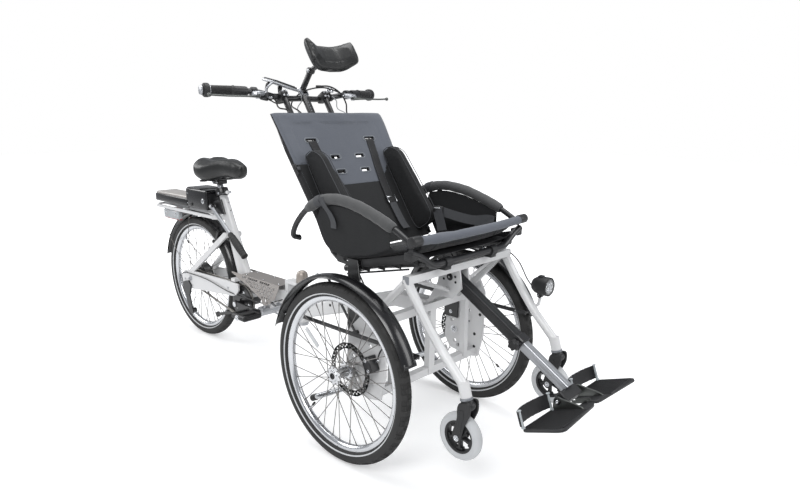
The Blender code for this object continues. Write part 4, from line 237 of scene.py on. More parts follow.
# %% A maker of finishes
def finish(name, colour, second=None, rough=0.36, metal=0.0, relief="grain", scale=900, depth=0.0001,
        strength=0.2, dust=0.1, dust_colour=(0.35, 0.34, 0.32), dust_scale=9.0, coat=0.0, sheen=0.0,
        stretch=(1, 1, 1)):
    made = bpy.data.materials.new(name)
    made.use_nodes = True
    tree = made.node_tree
    shader = tree.nodes["Principled BSDF"]
    for label, value in (("Metallic", metal), ("Coat Weight", coat), ("Coat Roughness", 0.08),
            ("Sheen Weight", sheen), ("Sheen Roughness", 0.4)):
        shader.inputs[label].default_value = value
    spot = add_node(tree, "TexCoord").outputs["Object"]
    stretched = add_node(tree, "Mapping", Vector=spot, Scale=stretch)
    woven = relief == "weave"
    pattern = add_node(tree, "Group", {"node_tree": weave if woven else grain}, Vector=stretched.outputs[0],
        **{"Threads" if woven else "Scale": scale}).outputs
    mask = add_node(tree, "Group", {"node_tree": wear}, Vector=spot, Scale=dust_scale,
        Amount=dust).outputs["Mask"]
    colours = add_node(tree, "Mix", {"data_type": "RGBA"}, Factor=pattern["Thread" if woven else "Patches"])
    dusty = add_node(tree, "Mix", {"data_type": "RGBA"}, Factor=maths(tree, "MULTIPLY", mask,
        min(1.0, dust * 1.6)))
    for mix, label, value in ((colours, "A", colour), (colours, "B", second or [c * 0.8 for c in colour]),
            (dusty, "B", dust_colour)):
        mix.inputs[label].default_value = (*value, 1)
    tree.links.new(colours.outputs["Result"], dusty.inputs["A"])
    bump = add_node(tree, "Bump", Strength=strength, Distance=depth, Height=pattern["Height"])
    tree.links.new(dusty.outputs["Result"], shader.inputs["Base Color"])
    tree.links.new(maths(tree, "MULTIPLY_ADD", mask, 0.18, rough), shader.inputs["Roughness"])
    tree.links.new(bump.outputs[0], shader.inputs["Normal"])
    return made


# %% Painted and bare metal
white_paint = finish("white_paint", (0.66, 0.66, 0.66), (0.61, 0.61, 0.615), scale=500, strength=0.12,
    dust_colour=(0.55, 0.54, 0.52), coat=0.35)
black_paint = finish("black_paint", (0.008, 0.008, 0.009), (0.014, 0.014, 0.015), rough=0.34, scale=700,
    dust=0.15, coat=0.15)
silver = finish("silver", (0.5, 0.51, 0.53), (0.41, 0.42, 0.44), metal=0.85, depth=0.00008, dust=0.15,
    stretch=(0.08, 1, 1))
bright_steel = finish("bright_steel", (0.72, 0.73, 0.75), (0.58, 0.59, 0.61), rough=0.22, metal=1.0,
    scale=1200, depth=0.00005, dust=0.12)
dark_steel = finish("dark_steel", (0.3, 0.29, 0.27), (0.16, 0.15, 0.14), rough=0.38, metal=1.0, scale=600,
    strength=0.3, dust=0.35, dust_colour=(0.09, 0.075, 0.06), dust_scale=40)
disc_steel = finish("disc_steel", (0.46, 0.45, 0.44), (0.3, 0.29, 0.28), rough=0.3, metal=1.0, depth=0.00006,
    dust=0.3, dust_colour=(0.2, 0.16, 0.13), dust_scale=30)
grey_sheet_metal = finish("grey_sheet_metal", (0.265, 0.245, 0.232), (0.215, 0.2, 0.19), rough=0.42,
    metal=0.35, scale=700, strength=0.25, dust=0.25, coat=0.1)
dark_grey_metal = finish("dark_grey_metal", (0.14, 0.145, 0.14), (0.1, 0.105, 0.1), metal=0.9, depth=0.00008,
    strength=0.25, dust=0.15)
bronze = finish("bronze", (0.42, 0.38, 0.34), (0.34, 0.3, 0.27), rough=0.45, metal=0.6, scale=600,
    strength=0.3, dust=0.3, dust_colour=(0.2, 0.18, 0.16), dust_scale=40)
brushed_silver = finish("brushed_silver", (0.44, 0.42, 0.4), (0.37, 0.355, 0.34), rough=0.42, metal=0.35,
    strength=0.3, dust=0.2, dust_scale=30)
spoke_steel = finish("spoke_steel", (0.17, 0.16, 0.155), (0.13, 0.125, 0.12), rough=0.4, metal=0.5, scale=700,
    dust=0.2, dust_colour=(0.16, 0.15, 0.14), dust_scale=40)
print("metals made")

# %% Plastic and rubber
black_plastic = finish("black_plastic", (0.009, 0.009, 0.01), (0.016, 0.016, 0.017), rough=0.46, scale=1400,
    depth=0.00015, strength=0.35, dust=0.15)
gloss_black = finish("gloss_black", (0.005, 0.005, 0.006), (0.008, 0.008, 0.009), rough=0.24, scale=300,
    depth=0.00005, strength=0.05, coat=0.2)
screen_glass = finish("screen_glass", (0.035, 0.042, 0.05), (0.05, 0.06, 0.07), rough=0.08, scale=200,
    depth=0.00002, strength=0.02, dust=0.05, coat=0.5)
case_grey = finish("case_grey", (0.27, 0.28, 0.3), (0.22, 0.23, 0.25), rough=0.35, metal=0.5, dust=0.15)
tyre_rubber = finish("tyre_rubber", (0.012, 0.012, 0.012), (0.022, 0.021, 0.02), rough=0.62, depth=0.0003,
    strength=0.4, dust=0.35, dust_colour=(0.13, 0.12, 0.11), dust_scale=26)
stripe_grey = finish("stripe_grey", (0.6, 0.61, 0.62), (0.5, 0.51, 0.52), rough=0.38, scale=1500,
    strength=0.3, dust=0.2, dust_scale=40)
castor_rubber = finish("castor_rubber", (0.55, 0.56, 0.57), (0.47, 0.48, 0.49), rough=0.55, depth=0.0002,
    strength=0.3, dust=0.35, dust_colour=(0.24, 0.23, 0.21), dust_scale=50)
grip_rubber = finish("grip_rubber", (0.009, 0.009, 0.01), (0.016, 0.016, 0.016), rough=0.55, scale=1100,
    depth=0.0003, strength=0.5, dust=0.12)
cable_skin = finish("cable_skin", (0.008, 0.008, 0.009), scale=1500, dust=0.08)
grey_cable = finish("grey_cable", (0.42, 0.43, 0.44), rough=0.4, scale=1500, dust=0.08)
print("plastics made")

# %% Cloth, webbing and imitation leather
grey_cloth = finish("grey_cloth", (0.072, 0.08, 0.098), (0.118, 0.128, 0.15), rough=0.85, relief="weave",
    scale=2400, depth=0.0004, strength=0.5, sheen=0.25)
dark_cloth = finish("dark_cloth", (0.005, 0.0055, 0.006), (0.012, 0.0125, 0.014), rough=0.86, relief="weave",
    scale=2600, depth=0.0004, strength=0.5, dust=0.05, sheen=0.05)
mesh_cloth = finish("mesh_cloth", (0.005, 0.005, 0.006), (0.024, 0.025, 0.027), rough=0.82, relief="weave",
    scale=1500, depth=0.0006, strength=0.7, sheen=0.12)
foam_grey = finish("foam_grey", (0.046, 0.047, 0.048), (0.072, 0.073, 0.074), rough=0.8, relief="weave",
    scale=2000, depth=0.0004, strength=0.5, dust=0.15, sheen=0.25)
webbing = finish("webbing", (0.006, 0.006, 0.007), (0.016, 0.016, 0.018), rough=0.68, relief="weave",
    scale=3200, depth=0.0005, strength=0.6)
grey_webbing = finish("grey_webbing", (0.034, 0.036, 0.04), (0.056, 0.058, 0.064), rough=0.68, relief="weave",
    scale=3200, depth=0.0005, strength=0.6)
leather = finish("leather", (0.01, 0.0105, 0.0105), (0.016, 0.0165, 0.0165), scale=650, depth=0.0004,
    strength=0.35, coat=0.05)
pale_thread = finish("pale_thread", (0.3, 0.32, 0.34), rough=0.7, relief="weave", scale=4000, depth=0.0003,
    strength=0.4, dust=0.05)
stitch_thread = finish("stitch_thread", (0.1, 0.11, 0.12), rough=0.7, relief="weave", scale=4000,
    depth=0.0003, strength=0.4, dust=0.05)
print("cloths made")


# %% Clear, red and pale lenses, which let light through
def lens(name, colour, rough, through):
    made = bpy.data.materials.new(name)
    made.use_nodes = True
    tree = made.node_tree
    shader = tree.nodes["Principled BSDF"]
    for label, value in (("Base Color", (*colour, 1)), ("Roughness", rough), ("Transmission Weight", through),
            ("IOR", 1.49)):
        shader.inputs[label].default_value = value
    ribs = add_node(tree, "TexWave", Vector=add_node(tree, "TexCoord").outputs["Object"], Scale=60)
    bump = add_node(tree, "Bump", Strength=0.15, Distance=0.0004, Height=ribs.outputs["Fac"])
    tree.links.new(bump.outputs[0], shader.inputs["Normal"])
    return made


clear_lens = lens("clear_lens", (0.93, 0.94, 0.95), 0.06, 0.85)
red_lens = lens("red_lens", (0.45, 0.02, 0.02), 0.12, 0.35)
pale_case = lens("pale_case", (0.62, 0.66, 0.68), 0.25, 0.45)
print("lenses made")

# %% [markdown]
# Shapes. Every new piece is gathered in one bmesh from a few kinds of shape: turned, swept along
# a line, cut from plate, or a bevelled block. Each helper makes its shape near the origin, sets it
# in place with one matrix, and adds it with the number of its finish.

# %% Add a finished shape to a piece
def gather(bm, shape):
    """Adds all of a shape to a piece and frees the shape."""
    carrier = bpy.data.meshes.new("carrier")
    shape.to_mesh(carrier)
    shape.free()
    bm.from_mesh(carrier)
    bpy.data.meshes.remove(carrier)


def absorb(bm, shape, index=0, matrix=None):
    """Gathers a shape after it is placed, turned outwards and given the number of its finish."""
    if matrix is not None:
        bmesh.ops.transform(shape, matrix=matrix, verts=shape.verts)
    bmesh.ops.recalc_face_normals(shape, faces=shape.faces)
    for face in shape.faces:
        face.material_index = index
    gather(bm, shape)


def add_quads(bm, rows):
    """The faces between rows of vertices."""
    return [bm.faces.new((a[k], a[k + 1], b[k + 1], b[k])) for a, b in zip(rows, rows[1:])
        for k in range(len(a) - 1)]


def ribbon(bm, columns, thick, index):
    """A strap or a panel of cloth from rows of points across it."""
    shape = bmesh.new()
    add_quads(shape, [[shape.verts.new(p) for p in row] for row in columns])
    bmesh.ops.recalc_face_normals(shape, faces=shape.faces)
    bmesh.ops.solidify(shape, geom=list(shape.faces), thickness=thick)
    absorb(bm, shape, index)


def turn_to(x, y, z):
    """A matrix that turns the three axes to three directions."""
    return Matrix((x, y, z)).transposed().to_4x4()


def around(radius, angle, left=0.0):
    """A point at an angle round an axle."""
    return Vector((radius * math.cos(angle), left, radius * math.sin(angle)))


def aside(left):
    """A step to the left."""
    return Vector((0, left, 0))


def mirrored(half):
    """A whole outline from its first half."""
    return half + [(radius, -along) for radius, along in reversed(half) if along]


def soften(shape, edges, offset, segments=2, **more):
    """Rounds edges off."""
    bmesh.ops.bevel(shape, geom=edges, offset=offset, segments=segments, profile=0.5, affect="EDGES",
        material=-1, **more)


def facing(direction, place=(0, 0, 0)):
    """A matrix that turns +Z to a direction and moves the origin to a place."""
    turn = Vector(direction).to_track_quat("Z", "Y").to_matrix().to_4x4()
    return Matrix.Translation(Vector(place)) @ turn


# %% Turned shapes: an outline of (radius, along) spun round an axis
def add_turned(bm, outline, place, axis, steps=32, index=0, closed=False):
    shape = bmesh.new()
    corners = [shape.verts.new((radius, 0, along)) for radius, along in outline]
    pairs = list(zip(corners, corners[1:])) + ([(corners[-1], corners[0])] if closed else [])
    edges = [shape.edges.new(pair) for pair in pairs]
    bmesh.ops.spin(shape, geom=corners + edges, cent=(0, 0, 0), axis=(0, 0, 1), angle=math.tau, steps=steps,
        use_merge=True)
    bmesh.ops.remove_doubles(shape, verts=shape.verts, dist=1e-6)
    absorb(bm, shape, index, facing(axis, place))


def add_pin(bm, start, end, radius, sides=12, index=0, bevel=0.0, end_radius=None):
    """A round bar with flat or softened ends."""
    start, end = Vector(start), Vector(end)
    shape = bmesh.new()
    bmesh.ops.create_cone(shape, cap_ends=True, segments=sides, radius1=radius,
        radius2=radius if end_radius is None else end_radius, depth=(end - start).length)
    if bevel:
        rims = [e for e in shape.edges if abs(e.verts[0].co.z - e.verts[1].co.z) < 1e-7]
        soften(shape, rims, bevel)
    absorb(bm, shape, index, facing(end - start, (start + end) / 2))


def add_cross_pin(bm, middle, half, radius, sides=12, index=0, bevel=0.0):
    """A round bar that lies across the vehicle."""
    reach = aside(half)
    add_pin(bm, middle - reach, middle + reach, radius, sides, index, bevel)


# %% Blocks and plates
def add_block(bm, size, place, turn=None, bevel=0.002, index=0, segments=2):
    shape = bmesh.new()
    bmesh.ops.create_cube(shape, size=1)
    bmesh.ops.scale(shape, vec=Vector(size), verts=shape.verts)
    if bevel:
        soften(shape, list(shape.edges), bevel, segments)
    absorb(bm, shape, index, Matrix.Translation(Vector(place)) @ (turn or Matrix.Identity(4)))


def add_plate(bm, outline, thick, matrix, bevel=0.0006, index=0):
    """A plate cut to an outline in X and Y, centred on Z = 0 before it is placed."""
    shape = bmesh.new()
    face = shape.faces.new([shape.verts.new((x, y, -thick / 2)) for x, y in outline])
    raised = bmesh.ops.extrude_face_region(shape, geom=[face])["geom"]
    bmesh.ops.translate(shape, vec=(0, 0, thick), verts=[v
        for v in raised if isinstance(v, bmesh.types.BMVert)])
    if bevel:
        soften(shape, list(shape.edges), bevel, 1)
    absorb(bm, shape, index, matrix)


# %% Lines and tubes swept along them
def curve_through(points, steps=6, loop=False):
    """A smooth line through the points, with extra points between them."""
    points = [Vector(p) for p in points]
    count = len(points)
    line = []
    for k in range(count if loop else count - 1):
        before = points[k - 1] if (k or loop) else points[0] * 2 - points[1]
        a, b = points[k], points[(k + 1) % count]
        after = points[(k + 2) % count] if (loop or k + 2 < count) else b * 2 - a
        for s in range(steps):
            t = s / steps
            line.append(0.5 * (2 * a + (b - before) * t + (2 * before - 5 * a + 4 * b - after) * t * t
                + (3 * a - before - 3 * b + after) * t ** 3))
    return line if loop else line + [points[-1]]


def frames_along(line, loop=False):
    """A matrix at each point, with Z along the line and no twist between neighbours."""
    frames = []
    side = None
    for k, point in enumerate(line):
        ahead = line[(k + 1) % len(line)] if (loop or k + 1 < len(line)) else point
        behind = line[k - 1] if (loop or k) else point
        z = (ahead - behind).normalized()
        if side is None:
            side = z.orthogonal()
        x = (side - z * side.dot(z)).normalized()
        side = x
        y = z.cross(x)
        frames.append(Matrix.Translation(point) @ turn_to(x, y, z))
    return frames


def add_tube(bm, line, radius, sides=10, index=0, loop=False, flat=1.0, radii=None, face_on=None):
    """A tube, or with flat below 1 a strap, along a line. face_on turns its thin side to a direction."""
    line = [Vector(p) for p in line]
    frames = frames_along(line, loop)
    if face_on is not None:
        turned = []
        for frame_now in frames:
            z = frame_now.col[2].xyz.normalized()
            y = (Vector(face_on) - z * z.dot(Vector(face_on))).normalized()
            turned.append(Matrix.Translation(frame_now.translation) @ turn_to(y.cross(z), y, z))
        frames = turned
    shape = bmesh.new()
    made = bmesh.ops.create_circle(shape, segments=sides, radius=1.0, cap_ends=not loop)
    ring = made["verts"]
    bmesh.ops.scale(shape, vec=(1, flat, 1), verts=ring)
    sizes = [Matrix.Scale(radii[k] if radii else radius, 4) for k in range(len(frames))]
    bmesh.ops.transform(shape, matrix=frames[0] @ sizes[0], verts=ring)
    edges = list(shape.edges)
    first = edges
    for k in range(1, len(frames)):
        grown = bmesh.ops.extrude_edge_only(shape, edges=edges)["geom"]
        ring = [v for v in grown if isinstance(v, bmesh.types.BMVert)]
        edges = [e for e in grown if isinstance(e, bmesh.types.BMEdge)]
        step = frames[k] @ sizes[k] @ (frames[k - 1] @ sizes[k - 1]).inverted()
        bmesh.ops.transform(shape, matrix=step, verts=ring)
    if loop:
        bmesh.ops.bridge_loops(shape, edges=edges + first)
    else:
        bmesh.ops.holes_fill(shape, edges=edges, sides=0)
    absorb(bm, shape, index)


# %% Finish a piece: a smooth object at the origin that rides on its body
def complete(bm, name, body, finishes, stands_for=(), angle=38, weighted=False):
    mesh = bpy.data.meshes.new(name)
    bm.to_mesh(mesh)
    bm.free()
    for surface in finishes:
        mesh.materials.append(surface)
    mesh.shade_smooth()
    mesh.set_sharp_from_angle(angle=math.radians(angle))
    piece = new_object(name, mesh)
    if weighted:
        even = piece.modifiers.new("even_normals", "WEIGHTED_NORMAL")
        even.keep_sharp = True
    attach(piece, body)
    if stands_for:
        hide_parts(*stands_for)
    print(name, "faces", len(mesh.polygons))
    return piece


def stand_in(node, bm, finishes, angle=38, weighted=False, name=None):
    """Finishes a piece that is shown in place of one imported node."""
    return complete(bm, name or node + "_made", BODY_OF[node], finishes, [node], angle,
        weighted)


# %% [markdown]
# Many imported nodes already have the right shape, and only their flat facets give them away. A
# copy with its doubles merged can be shaded smooth, and a second finish can go on the faces
# that a rule picks, such as a wheel's tyre or a bracket's dark plate.

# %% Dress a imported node
def dressed(node, finishes, angle=50, pick=None, bevel=0.0, more=None, name=None):
    """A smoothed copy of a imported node. pick numbers each face's finish, and more adds details."""
    bm = bmesh.new()
    bm.from_mesh(frame["nodes"][node].data)
    bmesh.ops.remove_doubles(bm, verts=bm.verts, dist=2e-6)
    bmesh.ops.dissolve_limit(bm, angle_limit=math.radians(1.0), verts=bm.verts, edges=bm.edges)
    if bevel:
        corners = [e for e in bm.edges if len(e.link_faces) == 2 and e.is_convex
            and e.calc_face_angle(0) > math.radians(60) and e.calc_length() > bevel * 4]
        soften(bm, corners, bevel, 1, clamp_overlap=True)
    for face in bm.faces:
        face.material_index = pick(face.calc_center_median()) if pick else 0
    if more:
        more(bm)
    return stand_in(node, bm, finishes, angle, True, name)


SIDES = (("left", 1), ("right", -1))
print("helpers ready")

# %% [markdown]
# The big wheels. A tyre is one cross-section spun round the axle, and its tread comes from rings of
# faces pressed in afterwards. The laced wheels have a hollow rim with its brake track, a nipple
# at each spoke's end and a flanged hub, as the real ones do.

# %% Places and sizes that several pieces share
AXLE_AT = 0.491074
AXLE_HEIGHT = 0.296866
TRACK_HALF = 0.3325
WHEELBASE = 1.381


def at(ahead, left, height):
    """A point measured from the front axle's place on the ground."""
    return Vector((AXLE_AT + ahead, left, height))


def aft(ahead, left, height):
    """A point measured from the rear axle's place."""
    return at(ahead - WHEELBASE, left, height)


def add_bolt_pair(bm, middle, half, radius, high, index=0):
    """The same bolt on the left and on the right of a middle point."""
    for side in (1, -1):
        add_bolt(bm, middle + aside(side * half), (0, side, 0), radius, high, index)


def add_beam(bm, start, end, wide, deep, bevel=0.001, index=0):
    """A square bar: wide across Y where it can be, deep across the other way."""
    start, end = Vector(start), Vector(end)
    along = (end - start).normalized()
    across = aside(1) if abs(along.y) < 0.9 else Vector((1, 0, 0))
    across = (across - along * across.dot(along)).normalized()
    third = along.cross(across)
    turn = turn_to(along, across, third)
    add_block(bm, ((end - start).length, wide, deep), (start + end) / 2, turn, bevel, index)


def add_bolt(bm, place, direction, radius=0.005, high=0.004, index=0):
    """A domed hexagon socket bolt with its washer."""
    direction = Vector(direction).normalized()
    outline = [(0, high * 0.55), (radius * 0.5, high * 0.55), (radius * 0.5, high),
        (radius * 0.8, high * 0.92), (radius, high * 0.45), (radius, high * 0.2), (radius * 1.45, high * 0.2),
        (radius * 1.45, 0), (0, 0)]
    add_turned(bm, outline, place, direction, 12, index)


print("shared places ready")


# %% A tyre with its tread
TYRE_REACH = 0.297
TREAD_STEPS = 108


def tyre_outline():
    half = [(0.2535, 0.0115), (0.2545, 0.0148), (0.258, 0.0185), (0.2602, 0.0199), (0.264, 0.0222),
        (0.272, 0.0236), (0.279, 0.0232), (0.285, 0.0212), (0.2895, 0.018), (0.2928, 0.014), (0.2952, 0.0092),
        (0.2966, 0.0045)]
    return mirrored(half + [(TYRE_REACH, 0.0)])


def tyre_piece(word, centre):
    bm = bmesh.new()
    add_turned(bm, tyre_outline(), (0, 0, 0), (0, 1, 0), TREAD_STEPS, 0, closed=True)
    knobs = []
    for face in bm.faces:
        middle = face.calc_center_median()
        reach = math.hypot(middle.x, middle.z)
        number = round(math.atan2(middle.z, middle.x) / math.tau * TREAD_STEPS - 0.5)
        if 0.2602 < reach < 0.264 and abs(middle.y) > 0.0199:
            face.material_index = 1
        elif 0.2862 < reach < 0.2945 and number % 3 != (0 if middle.y > 0 else 1):
            knobs.append(face)
        elif 0.2945 < reach and number % 2 == 0:
            knobs.append(face)
    bmesh.ops.inset_individual(bm, faces=knobs, thickness=0.0008, depth=-0.0011)
    for k in range(18):
        angle = math.tau * k / 18
        for side in (-1, 1):
            foot = around(0.2585, angle, side * 0.0189)
            add_block(bm, (0.0012, 0.0008, 0.01), foot, Matrix.Rotation(-angle + math.pi / 2, 4, "Y"), 0, 0)
    add_pin(bm, (0.232, 0, 0), (0.196, 0, 0), 0.0028, 10, 2, 0.0004)
    add_pin(bm, (0.21, 0, 0), (0.1945, 0, 0), 0.004, 10, 0, 0.0008)
    turn = Matrix.Rotation({"left": 0.7, "right": 2.3, "rear": 4.0}[word], 4, "Y")
    bmesh.ops.transform(bm, matrix=Matrix.Translation(centre) @ turn, verts=bm.verts)
    stand_in(f"tyre_{word}", bm, [tyre_rubber, stripe_grey, bright_steel], 30, name=f"tyre_{word}_tread")


WHEEL_CENTRES = {"left": at(0, TRACK_HALF, AXLE_HEIGHT), "right": at(0, -TRACK_HALF, AXLE_HEIGHT),
    "rear": aft(0, 0, AXLE_HEIGHT)}
for wheel_word, wheel_centre in WHEEL_CENTRES.items():
    tyre_piece(wheel_word, wheel_centre)


# %% Rim, spokes and nipples
SPOKES_A_SIDE = 18


def add_rim(bm):
    outline = [(0.253, 0.0112), (0.253, 0.0129), (0.2515, 0.0132), (0.244, 0.0131), (0.2428, 0.0124),
        (0.2375, 0.0088), (0.2348, 0.0045), (0.2342, 0.0)]
    add_turned(bm, mirrored(outline), (0, 0, 0), (0, 1, 0), 96, 0, closed=True)


def add_spokes(bm, flange_radius, flange_at, lead, index=0):
    for side in (1, -1):
        for number in range(SPOKES_A_SIDE):
            gap = math.tau / SPOKES_A_SIDE
            rim_angle = number * gap + (gap / 2 if side > 0 else 0)
            way = 1 if number % 2 else -1
            hub_angle = rim_angle + way * math.radians(lead)
            lifted = side * (flange_at + way * 0.0023)
            hub = around(flange_radius, hub_angle, lifted)
            end = around(0.2355, rim_angle, side * 0.003)
            add_pin(bm, hub, end, 0.00125, 6, index)
            add_pin(bm, end, end.lerp(hub, 0.055), 0.0019, 6, index)
            add_pin(bm, hub - aside(side * way * 0.0016), hub + aside(side * way * 0.0012), 0.002, 6, index)


def front_laced(word, side):
    bm = bmesh.new()
    add_rim(bm)
    add_spokes(bm, 0.0262, 0.026, 60, 3)
    hub = [(0.007, -0.041), (0.0205, -0.041), (0.0205, -0.03), (0.017, -0.0282), (0.03, -0.0275),
        (0.03, -0.0245), (0.018, -0.0235), (0.015, -0.014), (0.0145, 0.0), (0.015, 0.014), (0.018, 0.0235),
        (0.03, 0.0245), (0.03, 0.0275), (0.0185, 0.029), (0.0165, 0.032), (0.012, 0.0334), (0.007, 0.0334)]
    add_turned(bm, [(r, y * side) for r, y in hub], (0, 0, 0), (0, 1, 0), 40, 0)
    add_turned(bm, [(0.0105, 0.032 * side), (0.0105, 0.0345 * side), (0.0085, 0.0352 * side),
        (0.007, 0.0352 * side)], (0, 0, 0), (0, 1, 0), 24, 1)
    add_block(bm, (0.078, 0.0035, 0.0155), (0.148, side * 0.0155, 0.03), Matrix.Rotation(math.radians(-11), 4,
        "Y"), 0.0015, 2)
    turn = Matrix.Rotation({"left": 2.75, "right": 4.02}[word], 4, "Y")
    bmesh.ops.transform(bm, matrix=Matrix.Translation(WHEEL_CENTRES[word]) @ turn, verts=bm.verts)
    stand_in(f"laced_wheel_{word}", bm, [bright_steel, black_plastic, stripe_grey, spoke_steel], 35)


for word, side in SIDES:
    front_laced(word, side)

# %% The rear wheel, laced to a drum that holds the motor
bm = bmesh.new()
add_rim(bm)
add_spokes(bm, 0.061, 0.0165, 18, 2)
drum = [(0.007, -0.027), (0.03, -0.027), (0.034, -0.0262), (0.05, -0.0258), (0.056, -0.024), (0.059, -0.0205),
    (0.065, -0.0195), (0.065, -0.0165), (0.061, -0.0155), (0.0605, 0.0)]
add_turned(bm, mirrored(drum), (0, 0, 0), (0, 1, 0), 48, 1)
for k in range(6):
    angle = math.tau * k / 6
    for side in (1, -1):
        foot = around(0.045, angle, side * 0.0255)
        add_bolt(bm, foot, (0, side, 0), 0.0026, 0.0016, 0)
bmesh.ops.transform(bm, matrix=Matrix.Translation(WHEEL_CENTRES["rear"]), verts=bm.verts)
stand_in("laced_wheel_rear", bm, [bright_steel, black_paint, spoke_steel], 35)


# %% Brake discs: a slotted band on six swept arms
def disc_piece(word, side):
    bm = bmesh.new()
    shape = bmesh.new()
    radii = [0.0695, 0.0745, 0.079, 0.0845, 0.0895]
    steps = 120
    rings = []
    for radius in radii:
        wave = 0.0006 if radius in (radii[0], radii[-1]) else 0
        ring = []
        for k in range(steps):
            turn = math.tau * k / steps
            reach = radius + wave * math.sin(12 * turn)
            ring.append(shape.verts.new((reach * math.cos(turn), reach * math.sin(turn), 0)))
        rings.append(ring)
    for number, (inner, outer) in enumerate(zip(rings, rings[1:])):
        for k in range(steps):
            if (number == 1 and k % 4 == 0) or (number == 2 and k % 4 == 2):
                continue
            after = (k + 1) % steps
            shape.faces.new((inner[k], outer[k], outer[after], inner[after]))
    bmesh.ops.solidify(shape, geom=list(shape.faces), thickness=0.0018)
    absorb(bm, shape, 0)
    for k in range(6):
        start = math.tau * k / 6
        line = []
        for s in range(7):
            share = s / 6
            angle = start + math.radians(38) * share
            radius = 0.022 + 0.049 * share
            line.append(Vector((radius * math.cos(angle), radius * math.sin(angle), 0)))
        add_tube(bm, line, 0.0052, 4, 0, flat=0.18, face_on=(0, 0, 1))
        middle = (math.cos(start + 0.05) * 0.0195, math.sin(start + 0.05) * 0.0195, 0.001)
        add_bolt(bm, middle, (0, 0, 1), 0.0022, 0.0022, 1)
    add_turned(bm, mirrored([(0.0145, -0.001), (0.0265, -0.001)]), (0, 0, 0), (0, 0, 1), 36, 0, True)
    across = Matrix.Rotation(math.radians(90 * side), 4, "X")
    place = WHEEL_CENTRES[word] - aside(side * 0.0429)
    bmesh.ops.transform(bm, matrix=Matrix.Translation(place) @ across, verts=bm.verts)
    stand_in(f"brake_disc_{word}", bm, [disc_steel, dark_steel], 30)


for word, side in SIDES:
    disc_piece(word, side)


# %% Front fenders: a rolled shell on a flat bar
def add_fender_shell(bm, centre, start, end, half=0.0285, reach=0.3245, index=0, crown=0.0085, steps=44):
    shape = bmesh.new()
    outline = []
    for k in range(11):
        across = -1 + k / 5
        outline.append((reach - crown * across ** 2 - (0.003 if abs(across) > 0.99 else 0), across * half))
    corners = [shape.verts.new((r * math.cos(math.radians(start)), y, r * math.sin(math.radians(start))))
        for r, y in outline]
    edges = [shape.edges.new(pair) for pair in zip(corners, corners[1:])]
    bmesh.ops.spin(shape, geom=corners + edges, cent=(0, 0, 0), axis=(0, -1, 0),
        angle=math.radians(end - start), steps=steps)
    bmesh.ops.recalc_face_normals(shape, faces=shape.faces)
    bmesh.ops.solidify(shape, geom=list(shape.faces), thickness=0.0018)
    absorb(bm, shape, index, Matrix.Translation(centre))


def fender_piece(word, side):
    bm = bmesh.new()
    middle = WHEEL_CENTRES[word]
    add_fender_shell(bm, middle, 21, 163)
    inner = side * 0.287
    height = AXLE_HEIGHT + 0.123
    edge = side * (TRACK_HALF - 0.0285)
    add_beam(bm, at(-0.292, inner, height), at(0.292, inner, height), 0.004, 0.014, 0.001, 1)
    for way in (1, -1):
        add_beam(bm, at(way * 0.287, inner - side * 0.001, height), at(way * 0.289, edge, height), 0.01,
            0.007, 0.001, 1)
        add_bolt(bm, at(way * 0.2885, side * (TRACK_HALF - 0.012), height + 0.006), (way, 0, 0.6), 0.0035,
            0.003, 2)
        add_bolt(bm, at(way * 0.25, inner, height), (0, -side, 0), 0.0036, 0.003, 2)
    add_pin(bm, at(0.01, side * 0.2641, height), at(0.01, inner, height), 0.008, 20, 1, 0.001)
    add_beam(bm, at(0.03, inner, height), at(-0.11, inner, AXLE_HEIGHT + 0.292), 0.003, 0.01, 0.0008, 1)
    add_beam(bm, at(-0.108, inner, AXLE_HEIGHT + 0.29), at(-0.112, edge, AXLE_HEIGHT + 0.298), 0.01, 0.006,
        0.0008, 1)
    add_bolt(bm, at(-0.112, side * (TRACK_HALF - 0.006), AXLE_HEIGHT + 0.3045), (-0.35, 0, 1), 0.004, 0.003,
        2)
    end = math.radians(21)
    foot = middle + around(0.3215, end)
    add_block(bm, (0.003, 0.052, 0.016), foot - Vector((0.003, 0, 0.002)), Matrix.Rotation(-end, 4, "Y"),
        0.001, 1)
    stand_in(f"fender_{word}", bm, [gloss_black, black_paint, bright_steel], 35)


for word, side in SIDES:
    fender_piece(word, side)

# %% [markdown]
# Soft goods. A stuffed pad starts as a closed form a little smaller than the real one. It is
# remeshed evenly and blown up a few millimetres as cloth under pressure, so that its sides
# pull in and its faces crown. Seams, piping and stitches are laid on afterwards.

# %% The seat's directions, as the frame has them
SEAT_FRONT_HEIGHT = 0.706
SLOPE = math.radians(13.7)
RECLINE = math.radians(33)
HINGE_AHEAD, HINGE_HEIGHT = -0.104, 0.64
COVER_TOP = 0.556
HINGE = at(HINGE_AHEAD, 0, HINGE_HEIGHT)
BACK_UP = Vector((-math.sin(RECLINE), 0, math.cos(RECLINE)))
BACK_OUT = Vector((math.cos(RECLINE), 0, math.sin(RECLINE)))
SEAT_UP = Vector((-math.sin(SLOPE), 0, math.cos(SLOPE)))


def back(along, left, front=0.0):
    """A point of the reclined back: along it from its hinge, to the left, and in front of it."""
    return HINGE + BACK_UP * along + aside(left) + BACK_OUT * front


def seat(ahead, left, above=0.0):
    """A point of the seat, whose surface falls towards the back."""
    height = SEAT_FRONT_HEIGHT - (0.262 - ahead) * math.tan(SLOPE)
    return at(ahead, left, height) + SEAT_UP * above


def back_half(along):
    """Half the back cover's width at a place along it."""
    return 0.24 + 0.025 * along / COVER_TOP


print("the back leans", round(math.degrees(RECLINE)), "degrees")

